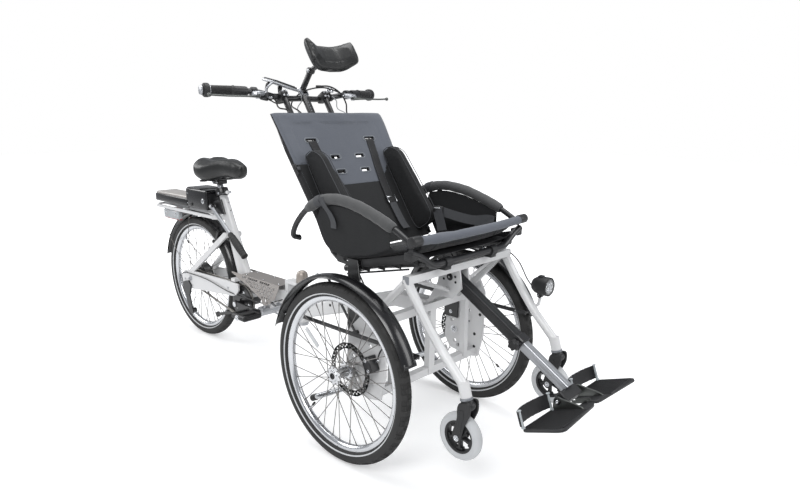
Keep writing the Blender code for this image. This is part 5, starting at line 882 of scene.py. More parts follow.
# %% A closed pad over a surface, full in the middle and drawn in at its edges
def pad_form(surface, front, behind, across=36, along=36, edge_power=6, floor_share=0.3):
    bm = bmesh.new()
    us = [math.sin(math.pi / 2 * (2 * k / across - 1)) for k in range(across + 1)]
    vs = [math.sin(math.pi / 2 * (2 * k / along - 1)) for k in range(along + 1)]
    rims = []
    for way, full in ((1, front), (-1, behind)):
        rows = []
        for u in us:
            row = []
            for v in vs:
                point, normal = surface(u, v)
                edge = (1 - abs(u) ** edge_power) * (1 - abs(v) ** edge_power)
                thick = full * (floor_share + (1 - floor_share) * edge ** 0.5) * (1 - 0.09 * (u * u + v * v))
                row.append(bm.verts.new(point + normal * way * thick))
            rows.append(row)
        add_quads(bm, rows)
        rims.append(rows[0] + [row[-1] for row in rows[1:]] + rows[-1][-2::-1] + [row[0]
            for row in rows[-2:0:-1]])
    count = len(rims[0])
    for k in range(count):
        bm.faces.new((rims[0][k], rims[0][(k + 1) % count], rims[1][(k + 1) % count], rims[1][k]))
    bmesh.ops.recalc_face_normals(bm, faces=bm.faces)
    return bm


# %% Blow a pad up as cloth, within a limit
def as_mesh(made):
    """What an object's modifiers make of it."""
    return bpy.data.meshes.new_from_object(made.evaluated_get(bpy.context.evaluated_depsgraph_get()))


def puffed(bm, cap=0.006, pressure=4.0, voxel=0.005):
    mesh = bpy.data.meshes.new("stuffing")
    bm.to_mesh(mesh)
    bm.free()
    made = new_object("stuffing", mesh)
    even = made.modifiers.new("even", "REMESH")
    even.mode = "VOXEL"
    even.voxel_size = voxel
    bpy.context.view_layer.update()
    remeshed = as_mesh(made)
    made.modifiers.clear()
    made.data = remeshed
    cloth = made.modifiers.new("cloth", "CLOTH")
    cloth.settings.quality = 4
    cloth.settings.use_pressure = True
    cloth.settings.uniform_pressure_force = pressure
    cloth.settings.effector_weights.gravity = 0
    for step in range(1, 21):
        bpy.context.scene.frame_set(step)
    blown = as_mesh(made)
    made.modifiers.clear()
    for before, after in zip(remeshed.vertices, blown.vertices):
        move = after.co - before.co
        if move.length > cap:
            after.co = before.co + move * (cap / move.length)
    bpy.context.scene.frame_set(1)
    made.data = blown
    finer = made.modifiers.new("finer", "SUBSURF")
    finer.levels = finer.render_levels = 1
    bpy.context.view_layer.update()
    smooth_mesh = as_mesh(made)
    bpy.data.objects.remove(made, do_unlink=True)
    out = bmesh.new()
    out.from_mesh(smooth_mesh)
    return out


def wrinkled(bm, amount, scale, stretch=(1, 1, 1), inside=None):
    """Soft creases: points move along their normals by smooth noise."""
    bm.normal_update()
    moves = []
    for vert in bm.verts:
        spot = Vector([vert.co[k] * stretch[k] * scale for k in range(3)])
        share = inside(vert.co) if inside else 1.0
        moves.append(vert.normal * noise.fractal(spot, 0.9, 2.1, 3) * amount * share)
    for vert, move in zip(bm.verts, moves):
        vert.co += move


def add_stitches(bm, line, gap=0.0045, long=0.003, radius=0.00045, index=0, lift=(0, 0, 0)):
    """A row of thread stitches along a line."""
    line = [Vector(p) + Vector(lift) for p in line]
    left_over = 0.0
    for a, b in zip(line, line[1:]):
        way = b - a
        far = way.length
        if far < 1e-6:
            continue
        spot = left_over
        while spot + long < far:
            add_pin(bm, a + way * (spot / far), a + way * ((spot + long) / far), radius, 5, index)
            spot += gap
        left_over = max(0.0, spot - far)


print("soft helpers ready")


# %% Back cover: a grey panel over a black one, with slots for the belts
SLOTS = [(0.3756, 0.06, 0.019, 0.0065), (0.317, 0.06, 0.019, 0.0065), (0.4435, 0.142, 0.023, 0.007)]


def cover_face(along, left):
    u = left / back_half(along)
    v = 2 * (along - 0.022) / (COVER_TOP - 0.022) - 1
    hollow = 0.012 * (1 - u * u) * (1 - v * v)
    return -hollow - 0.014 * 0.09 * (u * u + v * v)


def grey_starts(left):
    """Where the grey panel's lower edge lies: higher at the sides than in the middle."""
    share = min(1.0, max(0.0, (abs(left) - 0.105) / 0.11))
    return 0.262 + 0.09 * share * share * (3 - 2 * share)


def lines_between(low, high, step, marks):
    """Evenly spaced values that also pass through every mark."""
    stops = sorted({low, high, *marks})
    values = []
    for a, b in zip(stops, stops[1:]):
        count = max(1, round((b - a) / step))
        values += [a + (b - a) * k / count for k in range(count)]
    return values + [high]


lefts = lines_between(-1, 1, 0.024, [sign * (left + way * half) / 0.257 for _, left, half, _ in SLOTS
    for way in (-1, 1) for sign in (-1, 1)])
alongs = lines_between(0.022, COVER_TOP, 0.0058, [along + way * tall for along, _, _, tall in SLOTS
    for way in (-1, 1)])


def in_slot(along, left):
    return any(abs(along - a) < tall * 1.01 and abs(abs(left) - l) < half * 1.03 for a, l, half,
        tall in SLOTS)


def cover_point(along, u, depth):
    left = u * back_half(along)
    front = cover_face(along, left)
    edge = max(0.0, (abs(u) - 0.93) / 0.07)
    top_edge = max(0.0, (along - COVER_TOP + 0.014) / 0.014)
    roll_back = 0.006 * edge ** 2 + 0.004 * top_edge ** 2
    seam = -0.0016 * math.exp(-((along - 0.513) / 0.0022) ** 2) * (1 if -0.2 < left < 0.175 else 0)
    seam += -0.0013 * math.exp(-((along - grey_starts(left)) / 0.0022) ** 2)
    side_seam = -0.0012 * math.exp(-((abs(left) - 0.205) / 0.0025) ** 2) * (1 if along < 0.513 else 0)
    spot = Vector((left * 9, along * 7, depth * 3 + 2.0))
    crease = 0.0022 * noise.fractal(spot, 0.9, 2.0, 3)
    pull = 0.001 * math.sin((left * 34 + along * 60)) * max(0.0, 1 - abs(along - 0.53) / 0.05)
    if depth < 0:
        roll_back, seam, side_seam, crease, pull = 0, 0, 0, crease * 0.5, 0
    return back(along, left, front + depth - roll_back + seam + side_seam + crease + pull)


bm = bmesh.new()
layers = []
for depth in (0.0, -0.013):
    layers.append([[bm.verts.new(cover_point(along, u, depth)) for u in lefts] for along in alongs])
open_cells = set()
for i in range(len(alongs) - 1):
    for j in range(len(lefts) - 1):
        along = (alongs[i] + alongs[i + 1]) / 2
        left = (lefts[j] + lefts[j + 1]) / 2 * back_half(along)
        if in_slot(along, left):
            open_cells.add((i, j))
            continue
        index = 0 if along > grey_starts(left) else 1
        for layer, way in ((layers[0], 1), (layers[1], -1)):
            corners = [layer[i][j], layer[i][j + 1], layer[i + 1][j + 1], layer[i + 1][j]]
            face = bm.faces.new(corners if way > 0 else list(reversed(corners)))
            face.material_index = index if way > 0 else 1


def wall(a, b):
    face = bm.faces.new((layers[0][a[0]][a[1]], layers[0][b[0]][b[1]], layers[1][b[0]][b[1]],
        layers[1][a[0]][a[1]]))
    face.material_index = 2


for i in range(len(alongs) - 1):
    for j in range(len(lefts) - 1):
        here = (i, j) in open_cells
        for di, dj, a, b in ((-1, 0, (i, j), (i, j + 1)), (0, -1, (i, j), (i + 1, j)),
                (1, 0, (i + 1, j), (i + 1, j + 1)), (0, 1, (i, j + 1), (i + 1, j + 1))):
            ni, nj = i + di, j + dj
            outside = not (0 <= ni < len(alongs) - 1 and 0 <= nj < len(lefts) - 1)
            there = not outside and (ni, nj) in open_cells
            if (not here and outside) or (here and not outside and not there):
                wall(a, b)
bmesh.ops.recalc_face_normals(bm, faces=bm.faces)
for line_at in (0.51, 0.516):
    row = [back(line_at, -0.198 + 0.0155 * k, cover_face(line_at, -0.198 + 0.0155 * k) + 0.0012)
        for k in range(25)]
    add_stitches(bm, row, 0.005, 0.0034, 0.0004, 3)
for sign in (1, -1):
    edge = [back(a, sign * (back_half(a) - 0.01), cover_face(a, sign * (back_half(a) - 0.01)) + 0.0006)
        for a in [0.03 + 0.0175 * k for k in range(30)]]
    add_stitches(bm, edge, 0.005, 0.0034, 0.0004, 3)
low_row = []
for k in range(53):
    left = -0.234 + 0.009 * k
    low_row.append(back(grey_starts(left) + 0.004, left, cover_face(grey_starts(left), left) + 0.0008))
add_stitches(bm, low_row, 0.005, 0.0034, 0.0004, 3)
for slot_along, slot_left, half, tall in SLOTS:
    for sign in (1, -1):
        for out in (0.0016, 0.0034):
            box = [(slot_along - tall - out, slot_left - half - out), (slot_along + tall + out,
                slot_left - half - out), (slot_along + tall + out, slot_left + half + out),
                (slot_along - tall - out, slot_left + half + out)]
            ring = [back(a, sign * l, cover_face(a, sign * l) + 0.0007) for a, l in box + box[:1]]
            if out < 0.002:
                add_tube(bm, curve_through(ring[:4], 4, True), 0.0009, 6, 4, loop=True)
            else:
                add_stitches(bm, ring, 0.004, 0.0028, 0.0004, 4)
cover = stand_in("back_cover", bm, [grey_cloth, dark_cloth, dark_cloth, stitch_thread, pale_thread], 50)

# %% Seat: a stuffed black pad with its front roll
PAD_REAR, PAD_LONG, PAD_HALF = -0.074, 0.33, 0.236


def seat_surface(u, v):
    ahead = PAD_REAR + (v + 1) / 2 * PAD_LONG
    return seat(ahead, u * PAD_HALF, 0.0148 + 0.017 * max(0, v) ** 3), SEAT_UP


pad = puffed(pad_form(seat_surface, 0.019, 0.009, 30, 26), cap=0.006, voxel=0.0055)
wrinkled(pad, 0.0016, 11, (1.0, 0.5, 1.0))


def seat_top(ahead, left):
    v = 2 * (ahead - PAD_REAR) / PAD_LONG - 1
    u = left / PAD_HALF
    edge = (1 - abs(u) ** 6) * (1 - abs(v) ** 6)
    return 0.0148 + 0.017 * max(0, v) ** 3 + 0.021 * (0.3 + 0.7 * max(0.0, edge) ** 0.5) * (1
        - 0.09 * (u * u + v * v))


def seam_left(ahead):
    """How far to the side the cushion's curved seam lies."""
    return 0.15 + 0.045 * math.cos((ahead - 0.08) * 9)


for vert in pad.verts:
    local = vert.co - seat(0, 0, 0)
    for side in (1, -1):
        bend = seam_left(vert.co.x - AXLE_AT)
        if local.dot(SEAT_UP) > 0.012:
            vert.co -= SEAT_UP * 0.0024 * math.exp(-((vert.co.y - side * bend) / 0.004) ** 2)
for side in (1, -1):
    row = []
    for k in range(32):
        ahead = -0.055 + 0.0093 * k
        left = side * seam_left(ahead)
        row.append(seat(ahead, left, seat_top(ahead, left) + 0.0016))
    add_stitches(pad, row, 0.0052, 0.0034, 0.0004, 2)
roll = bmesh.new()
line = []
for k in range(61):
    y = -1 + k / 30
    line.append(at(0.2605, y * 0.29, 0.748 + 0.0075 * y * y))
sizes = [0.0142 + 0.001 * math.sin(k * 0.55) * math.exp(-((k - 8) / 14) ** 2) for k in range(61)]
add_tube(roll, line, 0.0142, 22, 1, radii=sizes)
wrinkled(roll, 0.0022, 16, (1.6, 0.9, 1.6), lambda p: 0.35 + 0.9 * math.exp(-((p.y + 0.2) / 0.1) ** 2))
flap_rows = []
for i in range(9):
    ahead = 0.258 - i * 0.0085
    row = []
    for j in range(41):
        left = -0.232 + 0.0116 * j
        above = seat_top(min(ahead, 0.235), left * 0.96) + 0.0042 * (1 - i / 8) + 0.0024
        row.append(roll.verts.new(seat(ahead, left, above + 0.001 * math.sin(j * 0.9 + i * 0.5))))
    flap_rows.append(row)
made_faces = add_quads(roll, flap_rows)
for face in made_faces:
    face.material_index = 1
bmesh.ops.recalc_face_normals(roll, faces=roll.faces)
bmesh.ops.solidify(roll, geom=made_faces, thickness=-0.0016)
gather(pad, roll)
for side in (1, -1):
    end = line[-1] if side > 0 else line[0]
    add_pin(pad, end - Vector((0, side * 0.034, 0.0006)), end + aside(side * 0.0055), 0.0156, 28, 3, 0.002)
HEM_AT = 0.19
hem = [seat(HEM_AT, left, seat_top(HEM_AT, left) + 0.0044) for left in [k / 30 * 0.228
    for k in range(-30, 31)]]
add_stitches(pad, hem, 0.0052, 0.0034, 0.0004, 2)
cushion = stand_in("seat_cushion", pad, [mesh_cloth, grey_cloth, stitch_thread, black_plastic], 60)


# %% Side pads: stuffed wings with piping round their outer face
def bulged(count, wide, high, wide_power, high_power):
    """Pairs of u and v that run once round a rectangle with well rounded corners."""
    for k in range(count):
        turn = math.tau * k / count
        across, up = math.cos(turn), math.sin(turn)
        yield math.copysign(abs(across) ** wide_power, across) * wide, math.copysign(abs(up) ** high_power,
            up) * high


def side_pad_piece(word, side):
    def surface(u, v):
        along = 0.04 + (v + 1) / 2 * 0.345
        deep = 0.11 * (0.86 - 0.14 * v)
        rounding = 1 - 0.42 * max(0.0, (v - 0.62) / 0.38) ** 2.2 - 0.3 * max(0.0, (-v - 0.8) / 0.2) ** 2
        front = -0.0053 + (u + 1) / 2 * deep * rounding
        return back(along, side * 0.1905, front), aside(1)

    pad = puffed(pad_form(surface, 0.0195, 0.0195, 22, 34, 5, 0.42), cap=0.004, voxel=0.005)
    wrinkled(pad, 0.0013, 13, (1, 1, 0.6))
    for across in (0.0195, -0.0195):
        piping = aside(side * across * 0.8)
        ring = [surface(u, v)[0] + piping for u, v in bulged(90, 0.955, 0.975, 0.42, 0.3)]
        add_tube(pad, ring, 0.0014, 7, 1, loop=True)
    made = stand_in(f"side_pad_{word}", pad, [dark_cloth, grey_webbing], 60)


for word, side in SIDES:
    side_pad_piece(word, side)


# %% Shoulder belts: webbing out of the slots, a ladder buckle and its tail
def belt_piece(word, side):
    bm = bmesh.new()
    places = [(0.4435, 0.142, -0.01), (0.44, 0.1415, 0.0012), (0.42, 0.139, 0.003), (0.38, 0.134, 0.0034),
        (0.34, 0.128, 0.0036), (0.29, 0.122, 0.0038), (0.24, 0.118, 0.004), (0.19, 0.115, 0.005),
        (0.15, 0.114, 0.006), (0.11, 0.113, 0.008), (0.08, 0.113, 0.01), (0.056, 0.114, 0.014)]
    spine = curve_through([Vector(p) for p in places], 4)
    drift = 0.03 if side < 0 else 0.0
    for p in spine:
        share = max(0, min(1, (0.42 - p.x) / 0.22))
        p.y -= drift * share * share * (3 - 2 * share)
    half = 0.0185
    upper = [[back(p.x, side * (p.y + half * t), cover_face(min(p.x, 0.5), p.y + half * t) + p.z
        + 0.0006 * math.sin(p.x * 90)) for t in (-1, -0.5, 0, 0.5, 1)] for p in spine if p.x > 0.165]
    ribbon(bm, upper, 0.0018, 0)
    lower = [[back(p.x, side * (p.y + 0.017 * t), cover_face(p.x, p.y + half * t) + p.z + 0.0024)
        for t in (-1, -0.5, 0, 0.5, 1)] for p in spine if p.x < 0.2]
    ribbon(bm, lower, 0.0018, 1)
    for sign in (1, -1):
        edge = [back(p.x, side * (p.y + sign * 0.0155), cover_face(min(p.x, 0.5), p.y) + p.z + 0.0016)
            for p in spine if p.x > 0.2]
        add_stitches(bm, edge, 0.005, 0.0034, 0.00035, 3)
    middle = back(0.182, side * (0.115 - drift), cover_face(0.182, 0.115 - drift) + 0.0095)
    turn = turn_to(BACK_UP, aside(1), BACK_OUT)
    add_block(bm, (0.026, 0.04, 0.003), middle - BACK_OUT * 0.0012, turn, 0.0012, 0)
    add_block(bm, (0.006, 0.044, 0.004), middle + BACK_UP * 0.01, turn, 0.0014, 2)
    for sign in (1, -1):
        add_block(bm, (0.03, 0.0045, 0.0042), middle + aside(sign * 0.0215), turn, 0.0014, 2)
    stand_in(f"shoulder_belt_{word}", bm, [webbing, grey_webbing, bright_steel, stitch_thread], 45)


for word, side in SIDES:
    belt_piece(word, side)


# %% Arm hoops in their foam sleeves, with a strap round each
HOOP_HALF = 0.2755
HOOP = [(0.242, 0.734), (0.241, 0.744), (0.205, 0.765), (0.16, 0.786), (0.1, 0.808), (0.02, 0.831),
    (-0.07, 0.841), (-0.15, 0.829), (-0.216, 0.796), (-0.266, 0.751), (-0.292, 0.712)]


def hoop_piece(word, side):
    bm = bmesh.new()
    left = side * HOOP_HALF
    route = [at(x, left, z) for x, z in HOOP]
    hook = [at(-0.299, left - side * 0.006, 0.692), at(-0.296, left - side * 0.026, 0.684)]
    add_tube(bm, curve_through(route + hook, 5), 0.0095, 14, 0)
    add_pin(bm, hook[1], hook[1] - aside(side * 0.003), 0.0105, 14, 0, 0.001)
    sleeve_line = curve_through(route[2:9], 9)[6:]
    count = len(sleeve_line)
    ends = [0.0132 + 0.0046 * min(1, k / 2.5, (count - 1 - k) / 2.5) for k in range(count)]
    sizes = [r + 0.0004 * math.sin(k * 1.3) for k, r in enumerate(ends)]
    sleeve = bmesh.new()
    add_tube(sleeve, sleeve_line, 0.0178, 24, 1, radii=sizes)
    wrinkled(sleeve, 0.0007, 26, (1, 1, 1))
    gather(bm, sleeve)
    spot = round(count * 0.8)
    place, ahead = sleeve_line[spot], (sleeve_line[spot + 1] - sleeve_line[spot - 1]).normalized()
    add_turned(bm, mirrored([(0.0178, -0.014), (0.0196, -0.0135)]), place, ahead, 24, 2, True)
    drop = [at(-0.128, left + side * 0.0185, 0.846), at(-0.12, left + side * 0.0175, 0.826),
        at(-0.104, left + side * 0.0085, 0.8), at(-0.088, left + side * 0.005, 0.776),
        at(-0.082, left + side * 0.005, 0.748)]
    spine = curve_through(drop, 5)
    columns = [[p + Vector((t * 0.0125, side * 0.0006 * math.sin(k), 0)) for t in (-1, -0.33, 0.33, 1)]
        for k, p in enumerate(spine)]
    ribbon(bm, columns, 0.002, 2)
    made = stand_in(f"arm_hoop_{word}", bm, [black_paint, foam_grey, grey_webbing], 50)


for word, side in SIDES:
    hoop_piece(word, side)


# %% Side guards: a cloth panel hung below the hoop, hemmed round its edge
def guard_piece(word, side):
    top = [(0.16, 0.7657), (0.1, 0.7877), (0.02, 0.8107), (-0.07, 0.8207), (-0.15, 0.8087)]
    low = [(-0.17, 0.76), (-0.126, 0.69), (-0.06, 0.668), (0.06, 0.684), (0.16, 0.72)]
    top_line = curve_through([Vector((x, z, 0)) for x, z in reversed(top)], 12)
    low_line = curve_through([Vector((x, z, 0)) for x, z in low], 12)
    bm = bmesh.new()
    cloth = []
    inward = []
    count = 40
    for i in range(count + 1):
        a = top_line[round(i / count * (len(top_line) - 1))]
        b = low_line[round(i / count * (len(low_line) - 1))]
        row = []
        for j in range(17):
            share = j / 16
            x, z = a.x + (b.x - a.x) * share, a.y + (b.y - a.y) * share
            hollow = 0.006 * math.sin(math.pi * share) * math.sin(math.pi * i / count)
            ripple = 0.0012 * noise.fractal(Vector((x * 12, z * 9, side)), 0.9, 2.0, 3)
            row.append(at(x, side * (HOOP_HALF - 0.0015 - hollow + ripple), z))
        cloth.append(row)
        outer = at(b.x, side * (HOOP_HALF - 0.003), b.y + 0.004)
        inner = seat(min(0.235, max(-0.06, b.x + 0.02)), side * 0.231, 0.015)
        inward.append([outer.lerp(inner, j / 6) - SEAT_UP * 0.006 * math.sin(math.pi * j / 6)
            for j in range(7)])
    ribbon(bm, cloth, 0.0024 * side, 0)
    ribbon(bm, inward, 0.0018, 0)
    edge = [at(p.x, side * (HOOP_HALF - 0.002), p.y) for p in low_line]
    add_tube(bm, edge, 0.003, 8, 1, flat=0.6, face_on=(0, 1, 0))
    add_tube(bm, [at(p.x, side * (HOOP_HALF - 0.002), p.y - 0.002) for p in top_line], 0.003, 8, 1)
    add_stitches(bm, [at(p.x, side * (HOOP_HALF - 0.006), p.y + 0.0075) for p in low_line[4:-4]], 0.0055,
        0.0036, 0.0004, 2)
    stand_in(f"side_guard_{word}", bm, [dark_cloth, webbing, stitch_thread], 50)


for word, side in SIDES:
    guard_piece(word, side)

# %% [markdown]
# The headrest, the handlebar behind the back, and what is clamped on it: levers, display, bell,
# shifter and the hoses that leave them.

# %% Headrest: a curved cushion in imitation leather on its bent arm and post
REST_FLARE = math.radians(35)


def rest_point(u, v):
    """A point of the headrest's middle layer, u across and v up."""
    reach = 0.13 * abs(u)
    out = max(0.0, reach - 0.0185)
    curved = out * out / 0.1115
    left = reach - curved * (1 - math.cos(REST_FLARE))
    high = 0.057 * (1 - 0.1 * abs(u) ** 3)
    return at(-0.433, 0, 1.298) + BACK_UP * v * high + Vector((0, math.copysign(left, u),
        0)) + BACK_OUT * curved * math.sin(REST_FLARE)


def rest_surface(u, v):
    bend = REST_FLARE * math.sin(math.pi / 2 * u)
    normal = (BACK_OUT * math.cos(bend) - aside(1) * math.sin(bend)).normalized()
    round_u = u * (0.955 - 0.035 * abs(v) ** 4)
    return rest_point(round_u, v * (0.93 - 0.1 * abs(u) ** 6)), normal


pad = puffed(pad_form(rest_surface, 0.02, 0.0165, 34, 22, 4, 0.4), cap=0.006, pressure=5.0, voxel=0.0045)
rim = []
for u, v in bulged(100, 0.985, 0.985, 0.35, 0.55):
    point, normal = rest_surface(u, v)
    rim.append(point - normal * 0.007)
add_tube(pad, rim, 0.0014, 6, 1, loop=True)
made = stand_in("headrest_pad", pad, [leather, black_plastic], 60)

bm = bmesh.new()
REST_TOP = back(0.712, 0, -0.096)
knee = REST_TOP + Vector((0.052, 0, 0.072))
centre = rest_point(0, 0)
add_cross_pin(bm, REST_TOP, 0.009, 0.012, 24, 0, 0.001)
add_beam(bm, REST_TOP, knee, 0.017, 0.018, 0.003, 0)
add_cross_pin(bm, knee, 0.012, 0.0125, 24, 0, 0.0015)
add_bolt_pair(bm, knee, 0.012, 0.005, 0.004, 1)
add_beam(bm, knee, centre - BACK_OUT * 0.021, 0.017, 0.014, 0.002, 0)
LEAN_BACK = turn_to(BACK_OUT, aside(1), BACK_UP)
add_block(bm, (0.006, 0.054, 0.044), centre - BACK_OUT * 0.0215, LEAN_BACK, 0.002, 0)
stand_in("headrest_neck", bm, [black_paint, bright_steel], 40)

bm = bmesh.new()
add_beam(bm, back(0.33, 0, -0.096), REST_TOP - BACK_UP * 0.02, 0.03, 0.01, 0.002, 0)
for side in (1, -1):
    add_beam(bm, back(0.684, side * 0.0125, -0.096), back(0.726, side * 0.0125, -0.096), 0.005, 0.022, 0.0015,
        1)
add_bolt_pair(bm, REST_TOP, 0.015, 0.0055, 0.005, 1)
for k in range(9):
    add_pin(bm, back(0.56 + 0.012 * k, 0, -0.0912), back(0.56 + 0.012 * k, 0, -0.0905), 0.0026, 10, 1)
stand_in("headrest_post", bm, [black_paint, bright_steel], 40)

# %% The bar, its two risers and their clamps
def lever_pivot(side):
    return at(-0.536, side * 0.232, 1.16)


BAR_BODY = BODY_OF["handlebar"]
BAR_MIDDLE = back(0.69, 0, -0.117)
bm = bmesh.new()
half_route = [BAR_MIDDLE + aside(0.1), at(-0.566, 0.219, 1.174), at(-0.59, 0.33, 1.177),
    at(-0.611, 0.4085, 1.177)]
whole_route = [Vector((p.x, -p.y, p.z)) for p in reversed(half_route)] + [BAR_MIDDLE] + half_route
add_tube(bm, curve_through(whole_route, 6), 0.011, 18, 0)
for side in (1, -1):
    low, high = back(0.335, side * 0.1, -0.096), back(0.69, side * 0.1, -0.096)
    add_pin(bm, low, high, 0.011, 20, 0, 0.001)
    add_block(bm, (0.05, 0.03, 0.03), back(0.69, side * 0.1, -0.106), LEAN_BACK, 0.005, 1)
    for up in (1, -1):
        for out in (0.008, -0.008):
            spot = back(0.69 + up * 0.009, side * (0.1 + out), -0.0812)
            add_bolt(bm, spot, BACK_OUT, 0.0032, 0.003, 2)
    add_turned(bm, mirrored([(0.0112, -0.012), (0.0155, -0.012), (0.0165, 0)]),
        back(0.56, side * 0.1, -0.096), BACK_UP, 24, 1, True)
    add_block(bm, (0.02, 0.012, 0.016), back(0.56, side * 0.1, -0.078), LEAN_BACK, 0.003, 1)
    add_bolt(bm, back(0.56, side * 0.107, -0.072), (0, side, 0), 0.0035, 0.003, 2)

# %% Lever bodies, shifter, display and bell on the bar
for side in (1, -1):
    pivot = lever_pivot(side)
    clamp = at(-0.568, side * 0.226, 1.174)
    add_turned(bm, mirrored([(0.0112, -0.01), (0.017, -0.01), (0.018, -0.008)]), clamp, (-0.18, side, 0.04),
        28, 1, True)
    tank = curve_through([clamp + Vector((0.018, -side * 0.03, -0.004)), clamp
        + Vector((0.024, -side * 0.006, -0.006)), clamp + Vector((0.026, side * 0.016, -0.008)),
        pivot + Vector((0.006, side * 0.004, 0.004))], 5)
    add_tube(bm, tank, 0.0095, 14, 3, radii=[0.0085 + 0.0025 * math.sin(math.pi * k / (len(tank) - 1))
        for k in range(len(tank))])
    add_pin(bm, tank[0], tank[0] - aside(side * 0.012), 0.0052, 12, 2, 0.001)
    add_pin(bm, pivot + Vector((0, 0, 0.0065)), pivot + Vector((0, 0, 0.0105)), 0.0068, 16, 2, 0.001)
    add_pin(bm, pivot + Vector((0, 0, -0.007)), pivot + Vector((0, 0, -0.0095)), 0.0068, 16, 2, 0.001)
    add_turned(bm, mirrored([(0.0112, -0.026), (0.0172, -0.026), (0.0182, -0.02)]),
        at(-0.5785, side * 0.278, 1.1755), (-0.2, side, 0.02), 28, 1, True)
shift = at(-0.558, -0.186, 1.16)
add_turned(bm, mirrored([(0, -0.014), (0.014, -0.014), (0.017, -0.01)]), shift, (0.2, 0.1, 1), 24, 1)
add_block(bm, (0.036, 0.012, 0.008), shift + Vector((0.02, -0.016, -0.01)), Matrix.Rotation(-0.5, 4, "Z"),
    0.003, 1)
add_block(bm, (0.028, 0.01, 0.006), shift + Vector((0.022, 0.004, -0.004)), Matrix.Rotation(0.3, 4, "Z"),
    0.002, 2)
SCREEN = Matrix.Translation(at(-0.585, -0.094, 1.2035)) @ Matrix.Rotation(math.radians(-14), 4,
    "X") @ Matrix.Rotation(math.radians(10), 4, "Y")
for size, rise, soft, index in (((0.066, 0.128, 0.01), 0.0, 0.004, 3), ((0.06, 0.12, 0.012), 0.004, 0.005, 4),
        ((0.046, 0.074, 0.0014), 0.0106, 0.0005, 5)):
    add_block(bm, size, (0, 0, 0), SCREEN @ Matrix.Translation((0, 0, rise)), soft, index, 3)
for k in range(3):
    button = bmesh.new()
    bmesh.ops.create_cone(button, cap_ends=True, segments=16, radius1=0.0048, radius2=0.0042, depth=0.003)
    absorb(bm, button, 1, SCREEN @ Matrix.Translation((-0.014 + 0.014 * k, 0.0505, 0.0105)))
add_tube(bm, curve_through([SCREEN @ Vector((0.0, -0.045, -0.004)), SCREEN @ Vector((0.01, -0.062, -0.016)),
    at(-0.572, -0.17, 1.172)], 6), 0.0055, 10, 1)
add_tube(bm, curve_through([SCREEN @ Vector((0.028, -0.05, 0.0)), SCREEN @ Vector((0.036, -0.068, -0.012)),
    SCREEN @ Vector((0.03, -0.074, -0.034)), at(-0.56, -0.176, 1.16)], 6), 0.0042, 10, 3)
add_pin(bm, at(-0.578, -0.1, 1.166), at(-0.583, -0.098, 1.198), 0.0085, 16, 1, 0.001)
add_block(bm, (0.03, 0.026, 0.022), at(-0.5775, -0.13, 1.16), None, 0.004, 1)
bell = at(-0.562, 0.128, 1.184)
dome = [(0.0155, 0.0), (0.016, 0.002), (0.0148, 0.0085), (0.011, 0.0135), (0.0055, 0.0162), (0, 0.0168)]
add_turned(bm, dome + [(0, 0.0)], bell, (0.35, 0.1, 1), 28, 2)
add_turned(bm, mirrored([(0.0112, -0.006), (0.015, -0.006)]), at(-0.574, 0.14, 1.1605), (-0.06, 1, 0.15), 24,
    1, True)
add_pin(bm, at(-0.571, 0.134, 1.17), bell + Vector((0.002, 0, 0.002)), 0.005, 12, 1)
stand_in("handlebar", bm, [black_paint, black_plastic, bright_steel, silver, gloss_black, screen_glass], 40)

# %% Grips with their end knobs, and the brake levers
for word, side in SIDES:
    bm = bmesh.new()
    end = at(-0.612, side * 0.412, 1.177)
    start = at(-0.59, side * 0.33, 1.177)
    way = (end - start).normalized()
    outline = [(0.0113, -0.118), (0.018, -0.118), (0.019, -0.115), (0.0176, -0.11)]
    for k in range(22):
        spot = -0.106 + 0.0033 * k
        outline += [(0.0164, spot), (0.0172, spot + 0.001), (0.0172, spot + 0.0022), (0.0164, spot + 0.0028)]
    outline += [(0.0168, -0.032), (0.0168, -0.03), (0.0215, -0.029), (0.024, -0.0265), (0.0245, -0.02),
        (0.024, -0.012), (0.0205, -0.0085), (0.0165, -0.008), (0.0165, -0.004), (0.0113, -0.004)]
    add_turned(bm, outline, end, way, 32, 0, True)
    add_turned(bm, [(0.01, -0.006), (0.016, -0.006), (0.0164, -0.001), (0.015, 0.003), (0.008, 0.0042),
        (0, 0.0042)], end, way, 28, 1)
    add_turned(bm, [(0.0168, -0.03), (0.0182, -0.03), (0.0182, -0.032), (0.0168, -0.032)], end, way, 28, 1,
        True)
    stand_in(f"grip_{word}", bm, [grip_rubber, silver], 35)

    bm = bmesh.new()
    pivot = lever_pivot(side)
    add_pin(bm, pivot + Vector((0, 0, -0.0063)), pivot + Vector((0, 0, 0.006)), 0.0088, 20, 0, 0.001)
    line = curve_through([pivot + Vector((0.004, 0, -0.002)), at(-0.52, side * 0.262, 1.158),
        at(-0.518, side * 0.31, 1.158), at(-0.521, side * 0.365, 1.158), at(-0.532, side * 0.424, 1.16)], 6)
    sizes = [0.0075 - 0.0032 * min(1, k / 9) for k in range(len(line))]
    add_tube(bm, line, 0.005, 12, 0, flat=0.75, radii=sizes, face_on=(0, 0, 1))
    tip = line[-1]
    bmesh.ops.create_uvsphere(bm, u_segments=16, v_segments=10, radius=0.007,
        matrix=Matrix.Translation(tip + aside(side * 0.003)))
    stand_in(f"brake_lever_{word}", bm, [dark_grey_metal], 50)

# %% Hoses and cables from the levers, over the bar and down behind the back
def cable_piece(name, body, points, radius):
    """A cable that is a piece of its own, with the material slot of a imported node."""
    bm = bmesh.new()
    add_tube(bm, curve_through(points, 8), radius, 10, 0)
    complete(bm, name, body, [cable_skin], (), 60)


